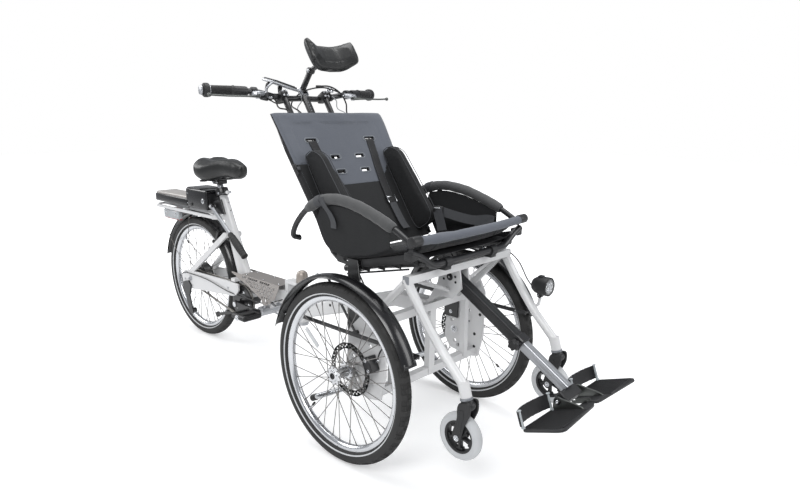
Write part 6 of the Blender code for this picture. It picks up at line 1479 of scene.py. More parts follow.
HOSES = [
    ([at(-0.55, 0.196, 1.17), at(-0.545, 0.15, 1.186), at(-0.548, 0.09, 1.198), at(-0.556, 0.03, 1.192),
      at(-0.566, -0.02, 1.172),
      at(-0.578, -0.05, 1.13), back(0.6, -0.06, -0.085), back(0.48, -0.064, -0.068)], 0.0028, cable_skin),
    ([at(-0.548, 0.05, 1.202), at(-0.545, 0.115, 1.203), at(-0.545, 0.17, 1.18), at(-0.548, 0.205, 1.14),
      at(-0.545, 0.214, 1.09),
      back(0.52, 0.206, -0.066), back(0.42, 0.2, -0.062)], 0.003, cable_skin),
    ([at(-0.55, -0.196, 1.17), at(-0.548, -0.15, 1.15), at(-0.556, -0.125, 1.12), back(0.6, -0.12, -0.076),
      back(0.47, -0.124, -0.066)],
     0.0028, cable_skin),
    ([at(-0.556, -0.17, 1.15), at(-0.545, -0.14, 1.135), at(-0.552, -0.08, 1.14), at(-0.568, -0.072, 1.1),
      back(0.56, -0.076, -0.078),
      back(0.44, -0.08, -0.066)], 0.0024, cable_skin),
    ([at(-0.574, -0.06, 1.194), at(-0.556, -0.03, 1.178), at(-0.56, -0.012, 1.15), at(-0.566, -0.03, 1.11),
      back(0.56, -0.038, -0.082)],
     0.002, grey_cable),
    ([at(-0.556, 0.122, 1.176), at(-0.546, 0.15, 1.15), at(-0.548, 0.16, 1.118), back(0.58, 0.16, -0.072),
      back(0.44, 0.162, -0.064)],
     0.002, grey_cable)]
for number, (points, radius, skin) in enumerate(HOSES):
    bm = bmesh.new()
    add_tube(bm, curve_through(points, 8), radius, 10, 0)
    add_pin(bm, points[0], points[0].lerp(points[1], 0.35), radius + 0.0014, 12, 1, 0.0004)
    complete(bm, f"hose_{number + 1}", BAR_BODY, [skin, black_plastic], (), 60)

# %% [markdown]
# The bicycle half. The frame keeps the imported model's shape, with its edges softened and each
# region in its own finish. Sheet, leather, plastic and wire pieces are made new.

# %% Mast, beam, stays and carrier
MAST_LEAN = math.tan(math.radians(23.4))
MAST_FOOT = (-0.99, 0.31)
PIN_AT = -0.6


def mast_ahead(height):
    return MAST_FOOT[0] - (height - MAST_FOOT[1]) * MAST_LEAN


def mast(height, ahead=0.0, left=0.0):
    """A point of the leaning mast's middle at a height, or beside it."""
    return at(mast_ahead(height) + ahead, left, height)


def frame_region(p):
    ahead, left, high = p.x - AXLE_AT, p.y, p.z
    if high > 0.716 and abs(ahead - mast_ahead(high)) < 0.12 and ahead > -1.25:
        return 1
    if -1.215 < ahead < -1.115 and 0.636 < high < 0.71 and -0.036 < left < -0.008:
        return 1
    if 0.6355 < high < 0.648 and abs(left) < 0.0265:
        return 1
    if high < 0.2705 and ahead > -0.905:
        return 2
    if abs(ahead + 1.035) < 0.022 and high < 0.262:
        return 1
    if abs(left) > 0.0705 and math.hypot(ahead + WHEELBASE, high - AXLE_HEIGHT) < 0.012:
        return 2
    if math.hypot(ahead + 0.97, high - 0.258) < 0.03:
        return 1
    from_pin = math.hypot(ahead - PIN_AT, left)
    if (from_pin < 0.026 and high > 0.413) or from_pin < 0.0115:
        return 2
    return 0


def frame_details(bm):
    for side in (1, -1):
        add_bolt(bm, aft(0, side * 0.0702, AXLE_HEIGHT), (0, side, 0), 0.0085, 0.007, 2)
        add_pin(bm, aft(0, side * 0.0702, AXLE_HEIGHT), aft(0, side * 0.084, AXLE_HEIGHT), 0.0046, 16, 2,
            0.0008)
        for height in (0.3, 0.27):
            add_bolt(bm, aft(-0.052, side * 0.0702, height + 0.016), (0, side, 0), 0.003, 0.003, 2)
        add_bolt(bm, aft(0.33, side * 0.0702, 0.315), (0, side, 0), 0.0036, 0.003, 2)
        for ahead in (0.15, -0.02, -0.19):
            add_bolt(bm, aft(ahead, side * 0.04, 0.6362), (0, 0, 1), 0.0028, 0.002, 2)
    for height in (0.655, 0.69):
        add_bolt(bm, mast(height, 0.028 - (height - 0.655) * 0.05, 0.0), (0.92, 0, 0.39), 0.0036, 0.0045, 1)
    top = mast(0.742)
    up = (mast(1.0) - mast(0.0)).normalized()
    add_turned(bm, [(0.0142, -0.016), (0.0295, -0.016), (0.0305, -0.012), (0.0305, 0.004), (0.029, 0.008),
        (0.0142, 0.008)], top, up, 32, 1, True)
    add_tube(bm, curve_through([mast(0.734, 0.022, -0.024), mast(0.735, 0.048, -0.032),
        mast(0.74, 0.078, -0.034), mast(0.744, 0.094, -0.03)], 6), 0.0052, 12, 1, flat=0.7)
    bmesh.ops.create_uvsphere(bm, u_segments=16, v_segments=10, radius=0.0085,
        matrix=Matrix.Translation(mast(0.745, 0.096, -0.03)))
    add_pin(bm, mast(0.734, 0.02, -0.034), mast(0.734, 0.02, 0.034), 0.0058, 16, 2, 0.001)
    latch = at(-0.83, 0, 0.247)
    add_cross_pin(bm, latch, 0.0545, 0.0215, 28, 2, 0.002)
    add_bolt_pair(bm, latch, 0.0545, 0.008, 0.005, 2)
    for side in (1, -1):
        add_pin(bm, at(-0.76, side * 0.04, 0.262), at(-0.7, side * 0.036, 0.255), 0.0042, 12, 2)
        add_pin(bm, at(-0.893, side * 0.016, 0.214), at(-0.893, side * 0.03, 0.214), 0.0085, 16, 1, 0.001)
    add_tube(bm, curve_through([latch + Vector((0.012, -0.04, 0.016)), at(-0.8, -0.046, 0.292),
        at(-0.77, -0.042, 0.3), at(-0.735, -0.036, 0.286)], 6), 0.005, 10, 2)
    cap = at(PIN_AT, 0, 0.412)
    add_turned(bm, [(0, 0.053), (0.012, 0.0515), (0.02, 0.045), (0.024, 0.035), (0.025, 0.018),
        (0.025, 0.002), (0, 0.0)], cap, (0, 0, 1), 32, 3)


dressed("bicycle_frame", [white_paint, black_paint, silver, bronze], 40, frame_region, 0.0016, frame_details)

# %% Rear fender with its wire stays
bm = bmesh.new()
REAR = WHEEL_CENTRES["rear"]
add_fender_shell(bm, REAR, 15, 168, steps=52)
add_beam(bm, aft(-0.059, 0, 0.612), aft(-0.059, 0, 0.6277), 0.024, 0.012, 0.001, 1)
for side in (1, -1):
    for turn in (100, 146):
        spot = math.radians(turn)
        edge = REAR + around(0.318, spot, side * 0.0285)
        add_tube(bm, curve_through([REAR + Vector((-0.01, side * 0.061, 0.018)),
            REAR + around(0.2, spot, side * 0.048), edge], 5), 0.0015, 8, 2)
        add_bolt(bm, edge, (0, side, 0), 0.0026, 0.003, 2)
add_pin(bm, REAR + Vector((-0.312, -0.006, 0.082)), REAR + Vector((-0.333, -0.006, 0.087)), 0.0045, 12, 1,
    0.0008)
stand_in("fender_rear", bm, [gloss_black, black_plastic, dark_steel], 35)


# %% Rim brake arms with their cable pipe
def brake_details(bm):
    slant = math.radians(50)
    for side in (1, -1):
        low = aft(0.1575, side * 0.033, 0.453)
        add_bolt(bm, low + Vector((0.004, side * 0.0005, 0)), (0.8, side * 0.2, -0.5), 0.0042, 0.004, 1)
    tops = REAR + around(0.336, slant)
    add_pin(bm, tops + aside(-0.02), tops + aside(0.012), 0.0048, 12, 2)


dressed("rim_brake", [black_paint, bright_steel, cable_skin], 40, None, 0.001, brake_details)

# %% Deck: one folded sheet with slots and rows of small three-cornered holes
DECK_REAR, DECK_HALF, DECK_TOP = -1.056, 0.043, 0.3866
EDGE = [(0.0, 0.382), (0.168, 0.368), (0.376, 0.352), (0.735, 0.3185), (0.77, 0.318), (0.79, 0.3),
    (0.89, 0.3), (1.0, 0.33)]


def deck_edge(share):
    for (a, low), (b, high) in zip(EDGE, EDGE[1:]):
        if share <= b:
            return low + (high - low) * (share - a) / (b - a)
    return EDGE[-1][1]


bm = bmesh.new()
shape = bmesh.new()
spots, run = [], 0.0
while run < 0.346:
    spots += [run, run + 0.0032]
    run += 0.0145
spots.append(0.356)
for side in (1, -1):
    drops = [0.0, 0.0045, 0.0125]
    while drops[-1] < 0.086:
        drops += [drops[-1] + 0.003, drops[-1] + 0.013]
    rows = []
    for s in spots:
        low = DECK_TOP - deck_edge(s / 0.356)
        row = []
        for d in drops:
            fall = min(d, low)
            row.append(shape.verts.new(at(DECK_REAR + s,
                side * (DECK_HALF + fall / math.tan(math.radians(64))), DECK_TOP - fall)))
        rows.append(row)
    for i in range(len(rows) - 1):
        low = min(DECK_TOP - deck_edge(spots[i] / 0.356), DECK_TOP - deck_edge(spots[i + 1] / 0.356))
        for j in range(len(drops) - 1):
            if drops[j] >= low:
                continue
            a, b, c, d = rows[i][j], rows[i][j + 1], rows[i + 1][j + 1], rows[i + 1][j]
            number = i // 2
            inside = i % 2 == 1 and drops[j + 1] < low - 0.003 and 0.03 < spots[i] < 0.335
            if inside and j == 1 and 0.085 < spots[i] < 0.3 and number % 6 != 2:
                continue
            if inside and j > 1 and j % 2 == 1:
                shape.faces.new((a, b, c) if (number + j // 2) % 2 else (a, b, d))
                continue
            shape.faces.new((a, b, c, d))
    if side > 0:
        left_edge = [row[0] for row in rows]
    else:
        right_edge = [row[0] for row in rows]
for i in range(len(spots) - 1):
    if spots[i] < 0.074:
        continue
    shape.faces.new((left_edge[i], left_edge[i + 1], right_edge[i + 1], right_edge[i]))
bmesh.ops.recalc_face_normals(shape, faces=shape.faces)
bmesh.ops.solidify(shape, geom=list(shape.faces), thickness=0.0016)
absorb(bm, shape, 0)
for s in (0.1, 0.225, 0.335):
    for side in (1, -1):
        add_bolt(bm, at(DECK_REAR + s, side * 0.03, DECK_TOP + 0.0008), (0, 0, 1), 0.0034, 0.0026, 1)
stand_in("deck_cover", bm, [grey_sheet_metal, bright_steel], 25)

# %% Battery: black case, brushed top plate, key lock and charging cap
bm = bmesh.new()
rear = -WHEELBASE - 0.33
add_block(bm, (0.33, 0.116, 0.04), at(rear + 0.165, 0, 0.6675), None, 0.007, 0, 3)
add_block(bm, (0.3, 0.108, 0.016), at(rear + 0.158, 0, 0.6905), None, 0.006, 1, 3)
add_block(bm, (0.006, 0.1, 0.03), at(rear + 0.002, 0, 0.668), None, 0.002, 2, 2)
add_block(bm, (0.186, 0.116, 0.094), at(rear + 0.399, 0, 0.6945), None, 0.01, 0, 4)
add_block(bm, (0.12, 0.112, 0.006), at(rear + 0.38, 0, 0.7425), None, 0.0028, 0, 2)
add_block(bm, (0.004, 0.088, 0.06), at(rear + 0.4925, 0, 0.694), None, 0.0015, 2, 2)
for side in (1, -1):
    add_block(bm, (0.29, 0.002, 0.003), at(rear + 0.165, side * 0.058, 0.66), None, 0.0006, 2, 1)
for high in (0.715, 0.668):
    add_bolt_pair(bm, at(rear + 0.325, 0, high), 0.0575, 0.003, 0.002, 3)
lock = at(rear + 0.466, -0.058, 0.69)
add_turned(bm, [(0.0115, 0), (0.0115, 0.0045), (0.0098, 0.006), (0.006, 0.006), (0.0055, 0.0045), (0, 0.0045),
    (0, 0)], lock, (0, -1, 0), 28, 3)
add_block(bm, (0.0016, 0.001, 0.0075), lock - aside(0.0048), None, 0, 2)
add_turned(bm, [(0.0095, 0), (0.0095, 0.002), (0.008, 0.003), (0, 0.003), (0, 0)],
    at(rear + 0.36, -0.058, 0.665), (0, -1, 0), 24, 2)
stand_in("battery", bm, [gloss_black, brushed_silver, black_plastic, bright_steel], 35)


# %% Tail light: a clear block over a red one, on two bolts
def light_details(bm):
    for ahead, radius in ((-0.235, 0.0042), (-0.14, 0.003)):
        add_bolt_pair(bm, aft(ahead, 0, 0.598), 0.054, radius, 0.003, 2)
    for side in (1, -1):
        add_block(bm, (0.12, 0.01, 0.0035), aft(-0.19, side * 0.04, 0.5662), None, 0.001, 1)
    add_block(bm, (0.003, 0.08, 0.022), aft(-0.262, 0, 0.59), None, 0.001, 1)


dressed("tail_light", [pale_case, red_lens, bright_steel], 40, lambda p: 1 if p.z < 0.5705 else 0, 0.0015,
    light_details)

# %% Saddle: a stuffed leather top on rails and two coil springs
TAIL_AT = 0.106


def saddle_form():
    bm = bmesh.new()
    sections = []
    sizes = [(0.0, 0.5, 0.055), (0.02, 0.72, 0.07), (0.07, 0.93, 0.082), (0.15, 1.0, 0.088),
        (0.26, 0.99, 0.088), (0.36, 0.9, 0.084), (0.46, 0.74, 0.08), (0.58, 0.56, 0.076), (0.72, 0.45, 0.072),
        (0.86, 0.35, 0.066), (0.93, 0.28, 0.056), (0.975, 0.19, 0.04), (0.99, 0.09, 0.024)]
    for share, wide, deep in sizes:
        half = 0.103 * wide
        top = 0.89 - 0.012 * math.sin(math.pi * min(share * 1.9, 1)) - 0.12 * max(0, share - 0.62) ** 1.6
        loop = []
        for k in range(28):
            a = math.tau * k / 28
            x, y = math.cos(a), math.sin(a)
            lobe = 0.01 * math.exp(-((share - 0.16) / 0.16) ** 2) * math.exp(-((abs(x) - 0.5) / 0.28) ** 2)
            groove = 0.006 * math.exp(-(x / 0.2) ** 2) * math.exp(-((share - 0.2) / 0.3) ** 2)
            high = (deep * 0.42 * abs(y) ** 0.75 + lobe - groove) if y > 0 else -deep * 0.62 * abs(y) ** 0.6
            loop.append(bm.verts.new(aft(TAIL_AT + share * 0.29, half * math.copysign(abs(x) ** 0.85, x),
                top - deep * 0.42 + high)))
        sections.append(loop)
    add_quads(bm, [loop + loop[:1] for loop in sections])
    bm.faces.new(list(reversed(sections[0])))
    bm.faces.new(sections[-1])
    bmesh.ops.recalc_face_normals(bm, faces=bm.faces)
    bmesh.ops.subdivide_edges(bm, edges=list(bm.edges), cuts=1, smooth=0.6, use_grid_fill=True)
    return bm


bm = puffed(saddle_form(), cap=0.003, pressure=4.0, voxel=0.005)
for side in (1, -1):
    rail = curve_through([aft(0.383, side * 0.012, 0.852), aft(0.351, side * 0.02, 0.815),
        aft(0.291, side * 0.022, 0.803), aft(0.211, side * 0.022, 0.7975), aft(0.166, side * 0.04, 0.79),
        aft(0.143, side * 0.056, 0.786)], 6)
    add_tube(bm, rail, 0.0036, 12, 1)
    foot = aft(0.143, side * 0.056, 0.783)
    add_pin(bm, foot, foot + Vector((0, 0, 0.007)), 0.0165, 24, 1, 0.001)
    coil = []
    for k in range(90):
        a = math.tau * k / 20
        coil.append(foot + Vector((0.0125 * math.cos(a), 0.0125 * math.sin(a), 0.007 + 0.044 * k / 89)))
    add_tube(bm, coil, 0.0022, 8, 1)
    add_pin(bm, foot + Vector((0, 0, 0.006)), foot + Vector((0, 0, 0.04)), 0.0088, 18, 2, 0.001)
add_block(bm, (0.034, 0.06, 0.01), aft(0.211, 0, 0.7968), None, 0.003, 1)
add_bolt(bm, aft(0.211, -0.03, 0.7968), (0, -1, 0), 0.0045, 0.005, 3)
saddle = stand_in("saddle", bm, [leather, black_paint, black_plastic, bright_steel], 60)

bm = bmesh.new()
add_pin(bm, mast(0.52), mast(0.778), 0.0135, 28, 0, 0.001)
head = mast(0.778)
add_block(bm, (0.048, 0.052, 0.02), head + Vector((0.004, 0, 0.004)), None, 0.005, 1, 3)
for side in (1, -1):
    add_bolt(bm, head + Vector((0.004 + side * 0.016, -0.026, 0.004)), (0, -1, 0), 0.0038, 0.004, 2)
stand_in("seat_post", bm, [silver, black_paint, bright_steel], 40)

# %% Hand lever: a bare rod with a moulded handle
bm = bmesh.new()
pivot = aft(0.195, -0.05, 0.672)
way = Vector((math.cos(math.radians(38)), 0, -math.sin(math.radians(38))))
add_turned(bm, mirrored([(0.0055, -0.007), (0.0135, -0.007), (0.0145, -0.005)]), pivot, (0, 1, 0), 28, 2,
    True)
add_pin(bm, pivot + way * 0.01, pivot + way * 0.19, 0.0088, 20, 1)
outline = [(0, 0.176), (0.01, 0.176), (0.0125, 0.18), (0.0138, 0.19)]
for k in range(9):
    spot = 0.196 + 0.0125 * k
    wide = 0.0142 + 0.0024 * math.sin(math.pi * (k + 1) / 10)
    outline += [(wide, spot), (wide + 0.0008, spot + 0.003), (wide + 0.0008, spot + 0.0085),
        (wide, spot + 0.0115)]
outline += [(0.015, 0.312), (0.0165, 0.314), (0.016, 0.319), (0.012, 0.3215), (0, 0.322)]
add_turned(bm, outline, pivot, way, 28, 0)
add_bolt(bm, pivot - aside(0.007), (0, -1, 0), 0.006, 0.004, 3)
stand_in("hand_lever", bm, [grip_rubber, silver, black_paint, bright_steel], 35)

# %% Cranks, ring and pedals
CRANK = aft(0.411, 0, 0.258)
CHAIN_SIDE = -0.045


def crank_details(bm):
    add_bolt_pair(bm, CRANK, 0.093, 0.008, 0.003, 2)
    add_turned(bm, [(0.02, -0.0065), (0.072, -0.0065), (0.078, -0.005), (0.078, -0.0035), (0.02, -0.0035)],
        CRANK + aside(CHAIN_SIDE), (0, 1, 0), 60, 0, True)
    for k in range(5):
        a = math.tau * k / 5
        add_bolt(bm, CRANK + around(0.052, a, -0.0515), (0, -1, 0), 0.0046, 0.003, 2)


dressed("crankset", [black_paint, dark_steel, bright_steel], 35, None, 0.0012, crank_details)


def pedal_details(side):
    tip = CRANK + Vector((side * -0.17, side * 0.086, 0))

    def more(bm):
        middle = tip + aside(side * 0.058)
        for ahead in (1, -1):
            for k in range(9):
                spot = middle + Vector((ahead * 0.0475, -0.04 + 0.01 * k, 0.0108))
                add_block(bm, (0.0022, 0.0045, 0.004), spot, None, 0.0004, 0, 1)
            add_block(bm, (0.003, 0.058, 0.013), middle + Vector((ahead * 0.05, 0, 0)), None, 0.001, 1)
        add_turned(bm, [(0, 0), (0.012, 0), (0.012, 0.0035), (0.0095, 0.005), (0.005, 0.0052),
            (0.0045, 0.0035), (0, 0.0035)], tip + aside(side * 0.1038), (0, side, 0), 24, 2)
    return more


for word, side in SIDES:
    dressed(f"pedal_{word}", [black_plastic, black_paint, bright_steel], 40, None, 0.001, pedal_details(side))

# %% Chain: plates and rollers all round its loop
PITCH = 0.0127
RING_TEETH, SPROCKET_TEETH = 38, 18


def roller_circle(teeth):
    """The radius at which a chain's plates run round a wheel with so many teeth."""
    return PITCH / (2 * math.sin(math.pi / teeth)) + 0.0046


def chain_route():
    first, first_radius = Vector((-0.97, 0.258)), roller_circle(RING_TEETH)
    second, second_radius = Vector((-WHEELBASE, AXLE_HEIGHT)), roller_circle(SPROCKET_TEETH)
    gap = second - first
    heading = math.atan2(gap.y, gap.x)
    swing = math.acos((first_radius - second_radius) / gap.length)
    points = []
    for centre, radius, start, end in ((first, first_radius, heading + swing, heading - swing + math.tau),
            (second, second_radius, heading - swing, heading + swing)):
        for k in range(41):
            a = start + (end - start) * k / 40
            points.append(centre + Vector((math.cos(a), math.sin(a))) * radius)
    return points + points[:1]


loop = chain_route()
length = sum((b - a).length for a, b in zip(loop, loop[1:]))
count = round(length / PITCH / 2) * 2
step = length / count
joints = []
left_over = 0.0
for a, b in zip(loop, loop[1:]):
    far = (b - a).length
    while left_over < far and len(joints) < count:
        joints.append(a.lerp(b, left_over / far))
        left_over += step
    left_over -= far
bm = bmesh.new()
for k, here in enumerate(joints):
    after = joints[(k + 1) % count]
    middle = (here + after) / 2
    turn = Matrix.Rotation(-math.atan2(after.y - here.y, after.x - here.x), 4, "Y")
    set_out = 0.003 if k % 2 else 0.002
    for side in (1, -1):
        place = at(middle.x, CHAIN_SIDE + side * set_out, middle.y)
        add_block(bm, (step + 0.0064, 0.0009, 0.0074), place, turn, 0.0004, 0, 1)
    centre = at(here.x, CHAIN_SIDE, here.y)
    add_cross_pin(bm, centre, 0.0036, 0.0018, 8, 0)
    add_cross_pin(bm, centre, 0.0016, 0.0038, 10, 0)
stand_in("chain", bm, [dark_steel], 35)

# %% Derailleur, sprocket, kickstand and the cable along the frame
def changer_details(bm):
    for ahead, high in ((-0.031, 0.232), (-0.005, 0.13)):
        add_bolt(bm, aft(ahead, -0.06, high), (0, -1, 0), 0.0038, 0.003, 1)
    add_tube(bm, curve_through([aft(-0.07, -0.058, 0.24), aft(-0.098, -0.06, 0.262),
        aft(-0.086, -0.068, 0.302), aft(-0.04, -0.072, 0.322)], 8), 0.0022, 8, 2)


dressed("derailleur", [black_paint, bright_steel, cable_skin], 40, None, 0.0008, changer_details)
dressed("rear_sprocket", [dark_steel], 30, None, 0.0004)
dressed("kickstand", [black_paint, black_plastic], 40, lambda p: 1 if p.x < at(-1.208, 0, 0).x else 0, 0.001)
cable_piece("frame_cable", "bicycle", [aft(-0.04, -0.0735, 0.322), aft(0.15, -0.0745, 0.322),
    aft(0.33, -0.075, 0.3), at(-0.94, -0.06, 0.29), at(-0.8, -0.058, 0.292), at(-0.73, -0.04, 0.312),
    at(-0.7, -0.02, 0.325)], 0.0022)

# %% [markdown]
# The chair's lower half: frame with its bolts and plugs, castors, leg rest, footplates with heel
# straps, headlight, calipers, and the tube frame under the seat with its laced straps.

# %% Chair frame with bolts, plugs and caps
BAR_TOP = SEAT_FRONT_HEIGHT - 0.074
LEG_PIVOT = at(0.19, 0, BAR_TOP - 0.04)
LEG_FALL = math.radians(31.5)
LEG_ALONG = Vector((math.cos(LEG_FALL), 0, -math.sin(LEG_FALL)))
LEG_UP = Vector((math.sin(LEG_FALL), 0, math.cos(LEG_FALL)))
CASTOR_TILT = math.radians(17)
FRAME_PLATE = TRACK_HALF - 0.0725 - 0.004


def castor_foot(side):
    return at(0.441, side * 0.2525, 0.325)


def frame_fittings(bm):
    add_bolt_pair(bm, LEG_PIVOT, 0.0243, 0.0085, 0.005, 1)
    for side in (1, -1):
        face = side * 0.0243
        for ahead, high in ((0.022, 0.004), (0.024, -0.014), (-0.024, -0.01), (-0.012, -0.04)):
            add_bolt(bm, LEG_PIVOT + Vector((ahead, face, high)), (0, side, 0), 0.003, 0.003, 1)
        add_block(bm, (0.025, 0.004, 0.025), at(0.217, side * 0.267, BAR_TOP), None, 0.0018, 2, 2)
        plate = side * (FRAME_PLATE - 0.0002)
        for ahead, high in ((-0.028, 0.36), (0.096, 0.25), (0.096, 0.3), (0.118, 0.38), (0.09, 0.498),
                (0.06, 0.498)):
            add_bolt(bm, at(ahead, plate, high), (0, -side, 0), 0.0042, 0.003, 1)
        for ahead, high in ((0.022, 0.238), (0.066, 0.36)):
            add_turned(bm, [(0.0085, 0), (0.013, 0), (0.013, 0.0014), (0.0085, 0.0014)],
                at(ahead, plate, high), (0, -side, 0), 24, 0, True)
        add_pin(bm, at(0.095, side * 0.196, 0.33), at(0.095, side * 0.182, 0.33), 0.0052, 16, 1, 0.001)
        add_bolt(bm, at(0, plate, AXLE_HEIGHT), (0, -side, 0), 0.01, 0.008, 3)
        up = Vector((-math.sin(CASTOR_TILT), 0, math.cos(CASTOR_TILT)))
        add_turned(bm, [(0.0178, 0.0), (0.019, 0.001), (0.019, 0.007), (0.0178, 0.008)], castor_foot(side),
            up, 28, 2, True)
        tip = [at(-0.045, side * 0.236, 0.208), at(-0.222, side * 0.264, 0.115)]
        add_pin(bm, tip[0], tip[1], 0.0098, 24, 3)
        add_pin(bm, tip[1].lerp(tip[0], 0.1), tip[1] + (tip[1] - tip[0]) * 0.02, 0.0118, 24, 1, 0.002)
        add_pin(bm, tip[0] + Vector((0.01, side * 0.02, 0.004)), tip[0] - aside(side * 0.004), 0.012, 20, 0,
            0.002)
    for ahead in (-0.16, -0.4):
        add_bolt(bm, at(ahead, -0.0238, 0.405 + ahead * 0.1), (0, -1, 0), 0.004, 0.003, 1)


dressed("chair_frame", [white_paint, black_plastic, case_grey, bright_steel], 40, None, 0.0014,
    frame_fittings)


# %% Castors: moulded forks round pale tyres on five-armed wheels
CASTOR_AXLE = Vector((0.05, 0.106, 0))


def castor_place(side):
    behind = Vector((-math.cos(CASTOR_TILT), 0, -math.sin(CASTOR_TILT)))
    down = Vector((math.sin(CASTOR_TILT), 0, -math.cos(CASTOR_TILT)))
    axes = turn_to(behind, down, aside(-1))
    return Matrix.Translation(castor_foot(side)) @ axes


def fork_piece(word, side):
    bm = bmesh.new()
    to_chair = castor_place(side)
    outline = [(-0.0225, 0.004), (-0.005, 0.0015), (0.014, 0.004), (0.0255, 0.02), (0.033, 0.046),
        (0.05, 0.072), (0.064, 0.094), (0.0655, 0.106), (0.06, 0.118), (0.05, 0.1215), (0.04, 0.118),
        (0.033, 0.106), (0.018, 0.078), (-0.002, 0.056), (-0.0165, 0.038), (-0.0235, 0.018)]
    rounded = [(p.x, p.y) for p in curve_through([Vector((x, y, 0)) for x, y in outline], 3, True)]
    for way in (1, -1):
        add_plate(bm, rounded, 0.0066, to_chair @ Matrix.Translation((0, 0, way * 0.0195)), 0.0022, 0)
        add_plate(bm, [(0.4 * x + 0.012, 0.55 * y + 0.022) for x, y in rounded], 0.002,
            to_chair @ Matrix.Translation((0, 0, way * 0.0232)), 0.0009, 0)
        axle = to_chair @ (CASTOR_AXLE + Vector((0, 0, way * 0.0225)))
        add_bolt(bm, axle, (0, -way, 0), 0.0062, 0.005, 1)
    crown = bmesh.new()
    bmesh.ops.create_uvsphere(crown, u_segments=28, v_segments=18, radius=1.0)
    for v in crown.verts:
        v.co = Vector((0.0245 * v.co.x, 0.0165 * v.co.y, 0.0222 * v.co.z))
    absorb(bm, crown, 0, to_chair @ Matrix.Translation((0.001, 0.017, 0)))
    top = to_chair @ aside(0.0005)
    down = (to_chair @ aside(1)) - (to_chair @ aside(0))
    add_turned(bm, [(0, 0), (0.017, 0), (0.018, 0.002), (0.018, 0.01), (0.0215, 0.018), (0, 0.018)], top,
        down, 32, 0)
    stand_in(f"castor_fork_{word}", bm, [black_plastic, bright_steel], 35)


def castor_wheel_piece(word, side):
    bm = bmesh.new()
    centre = castor_place(side) @ CASTOR_AXLE
    tyre = [(0.0495, -0.013), (0.054, -0.0148), (0.062, -0.015), (0.0675, -0.0125), (0.0708, -0.007),
        (0.072, 0)]
    add_turned(bm, mirrored(tyre), centre, (0, 1, 0), 72, 0, True)
    for way in (1, -1):
        add_turned(bm, [(0.059, 0.0148), (0.06, 0.0156), (0.061, 0.0148)], centre, (0, way, 0), 72, 0, True)
    rim = [(0.05, -0.0122), (0.05, 0.0122), (0.046, 0.0128), (0.0425, 0.011), (0.0415, 0.0), (0.0425, -0.011),
        (0.046, -0.0128)]
    add_turned(bm, rim, centre, (0, 1, 0), 60, 1, True)
    add_turned(bm, mirrored([(0.0052, -0.015), (0.012, -0.015), (0.0135, -0.0135)]), centre, (0, 1, 0), 32, 1,
        True)
    for k in range(5):
        turn = Matrix.Rotation(math.tau * k / 5 + 0.3, 4, "Y")
        reach = turn @ Vector((0.028, 0, 0))
        add_block(bm, (0.034, 0.015, 0.0095), centre + reach, turn, 0.0022, 1, 2)
        for lean in (1, -1):
            tip = Matrix.Rotation(math.tau * k / 5 + 0.3 + lean * 0.2, 4, "Y")
            add_block(bm, (0.011, 0.014, 0.0065), centre + tip @ Vector((0.0395, 0, 0)), tip, 0.0015, 1)
    stand_in(f"castor_wheel_{word}", bm, [castor_rubber, black_plastic], 40)


for word, side in SIDES:
    fork_piece(word, side)
    castor_wheel_piece(word, side)
print("castors made")


# %% Leg rest: grooved outer profile with a knob, bare inner profile
def leg(along, left=0.0, above=0.0):
    return LEG_PIVOT + LEG_ALONG * along + LEG_UP * above + aside(left)


def outer_details(bm):
    for side in (1, -1):
        for above in (-0.01, 0.01):
            add_beam(bm, leg(0.01, side * 0.0181, above), leg(0.288, side * 0.0181, above), 0.0016, 0.0024,
                0.0005, 0)
        add_beam(bm, leg(0.01, side * 0.008, 0.0181), leg(0.288, side * 0.008, 0.0181), 0.0024, 0.0012,
            0.0004, 0)
    knob = leg(0.305, -0.018)
    add_turned(bm, [(0, 0.03), (0.01, 0.03), (0.014, 0.027), (0.015, 0.02), (0.014, 0.013), (0.0085, 0.011),
        (0.0085, 0.0)], knob, (0, -1, 0), 30, 1)
    for k in range(6):
        a = math.tau * k / 6
        lobe = knob + LEG_ALONG * (0.0125 * math.cos(a)) + LEG_UP * (0.0125 * math.sin(a))
        add_pin(bm, lobe - aside(0.013), lobe - aside(0.028), 0.005, 12, 1, 0.0012)
    add_bolt(bm, leg(0.285, 0.018, 0), (0, 1, 0), 0.0034, 0.003, 2)


def inner_details(bm):
    for side in (1, -1):
        for above in (-0.006, 0.006):
            add_beam(bm, leg(0.366, side * 0.0143, above), leg(0.492, side * 0.0143, above), 0.001, 0.0018,
                0.0004, 0)
    add_beam(bm, leg(0.366, 0, 0.0143), leg(0.492, 0, 0.0143), 0.006, 0.0012, 0.0004, 0)
    add_bolt_pair(bm, at(0.6203, 0, 0.3142), 0.066, 0.006, 0.004, 2)


dressed("leg_rest_outer", [black_paint, black_plastic, bright_steel], 40, None, 0.0018, outer_details)
dressed("leg_rest_inner", [silver, black_plastic, bright_steel], 40,
    lambda p: 1 if p.x > at(0.602, 0, 0).x else 0, 0.0016, inner_details)

# %% Footplates with treads, raised cheeks and webbing heel straps
FOOT_HINGE = at(0.620282, 0, 0.314249)
TILT = math.radians(20)
FOOT_AHEAD = Vector((math.cos(TILT), 0, math.sin(TILT)))
FOOT_UP = Vector((-math.sin(TILT), 0, math.cos(TILT)))


def foot_spot(ahead, left, above, side):
    return FOOT_HINGE + FOOT_AHEAD * ahead + FOOT_UP * above + aside(side * left)


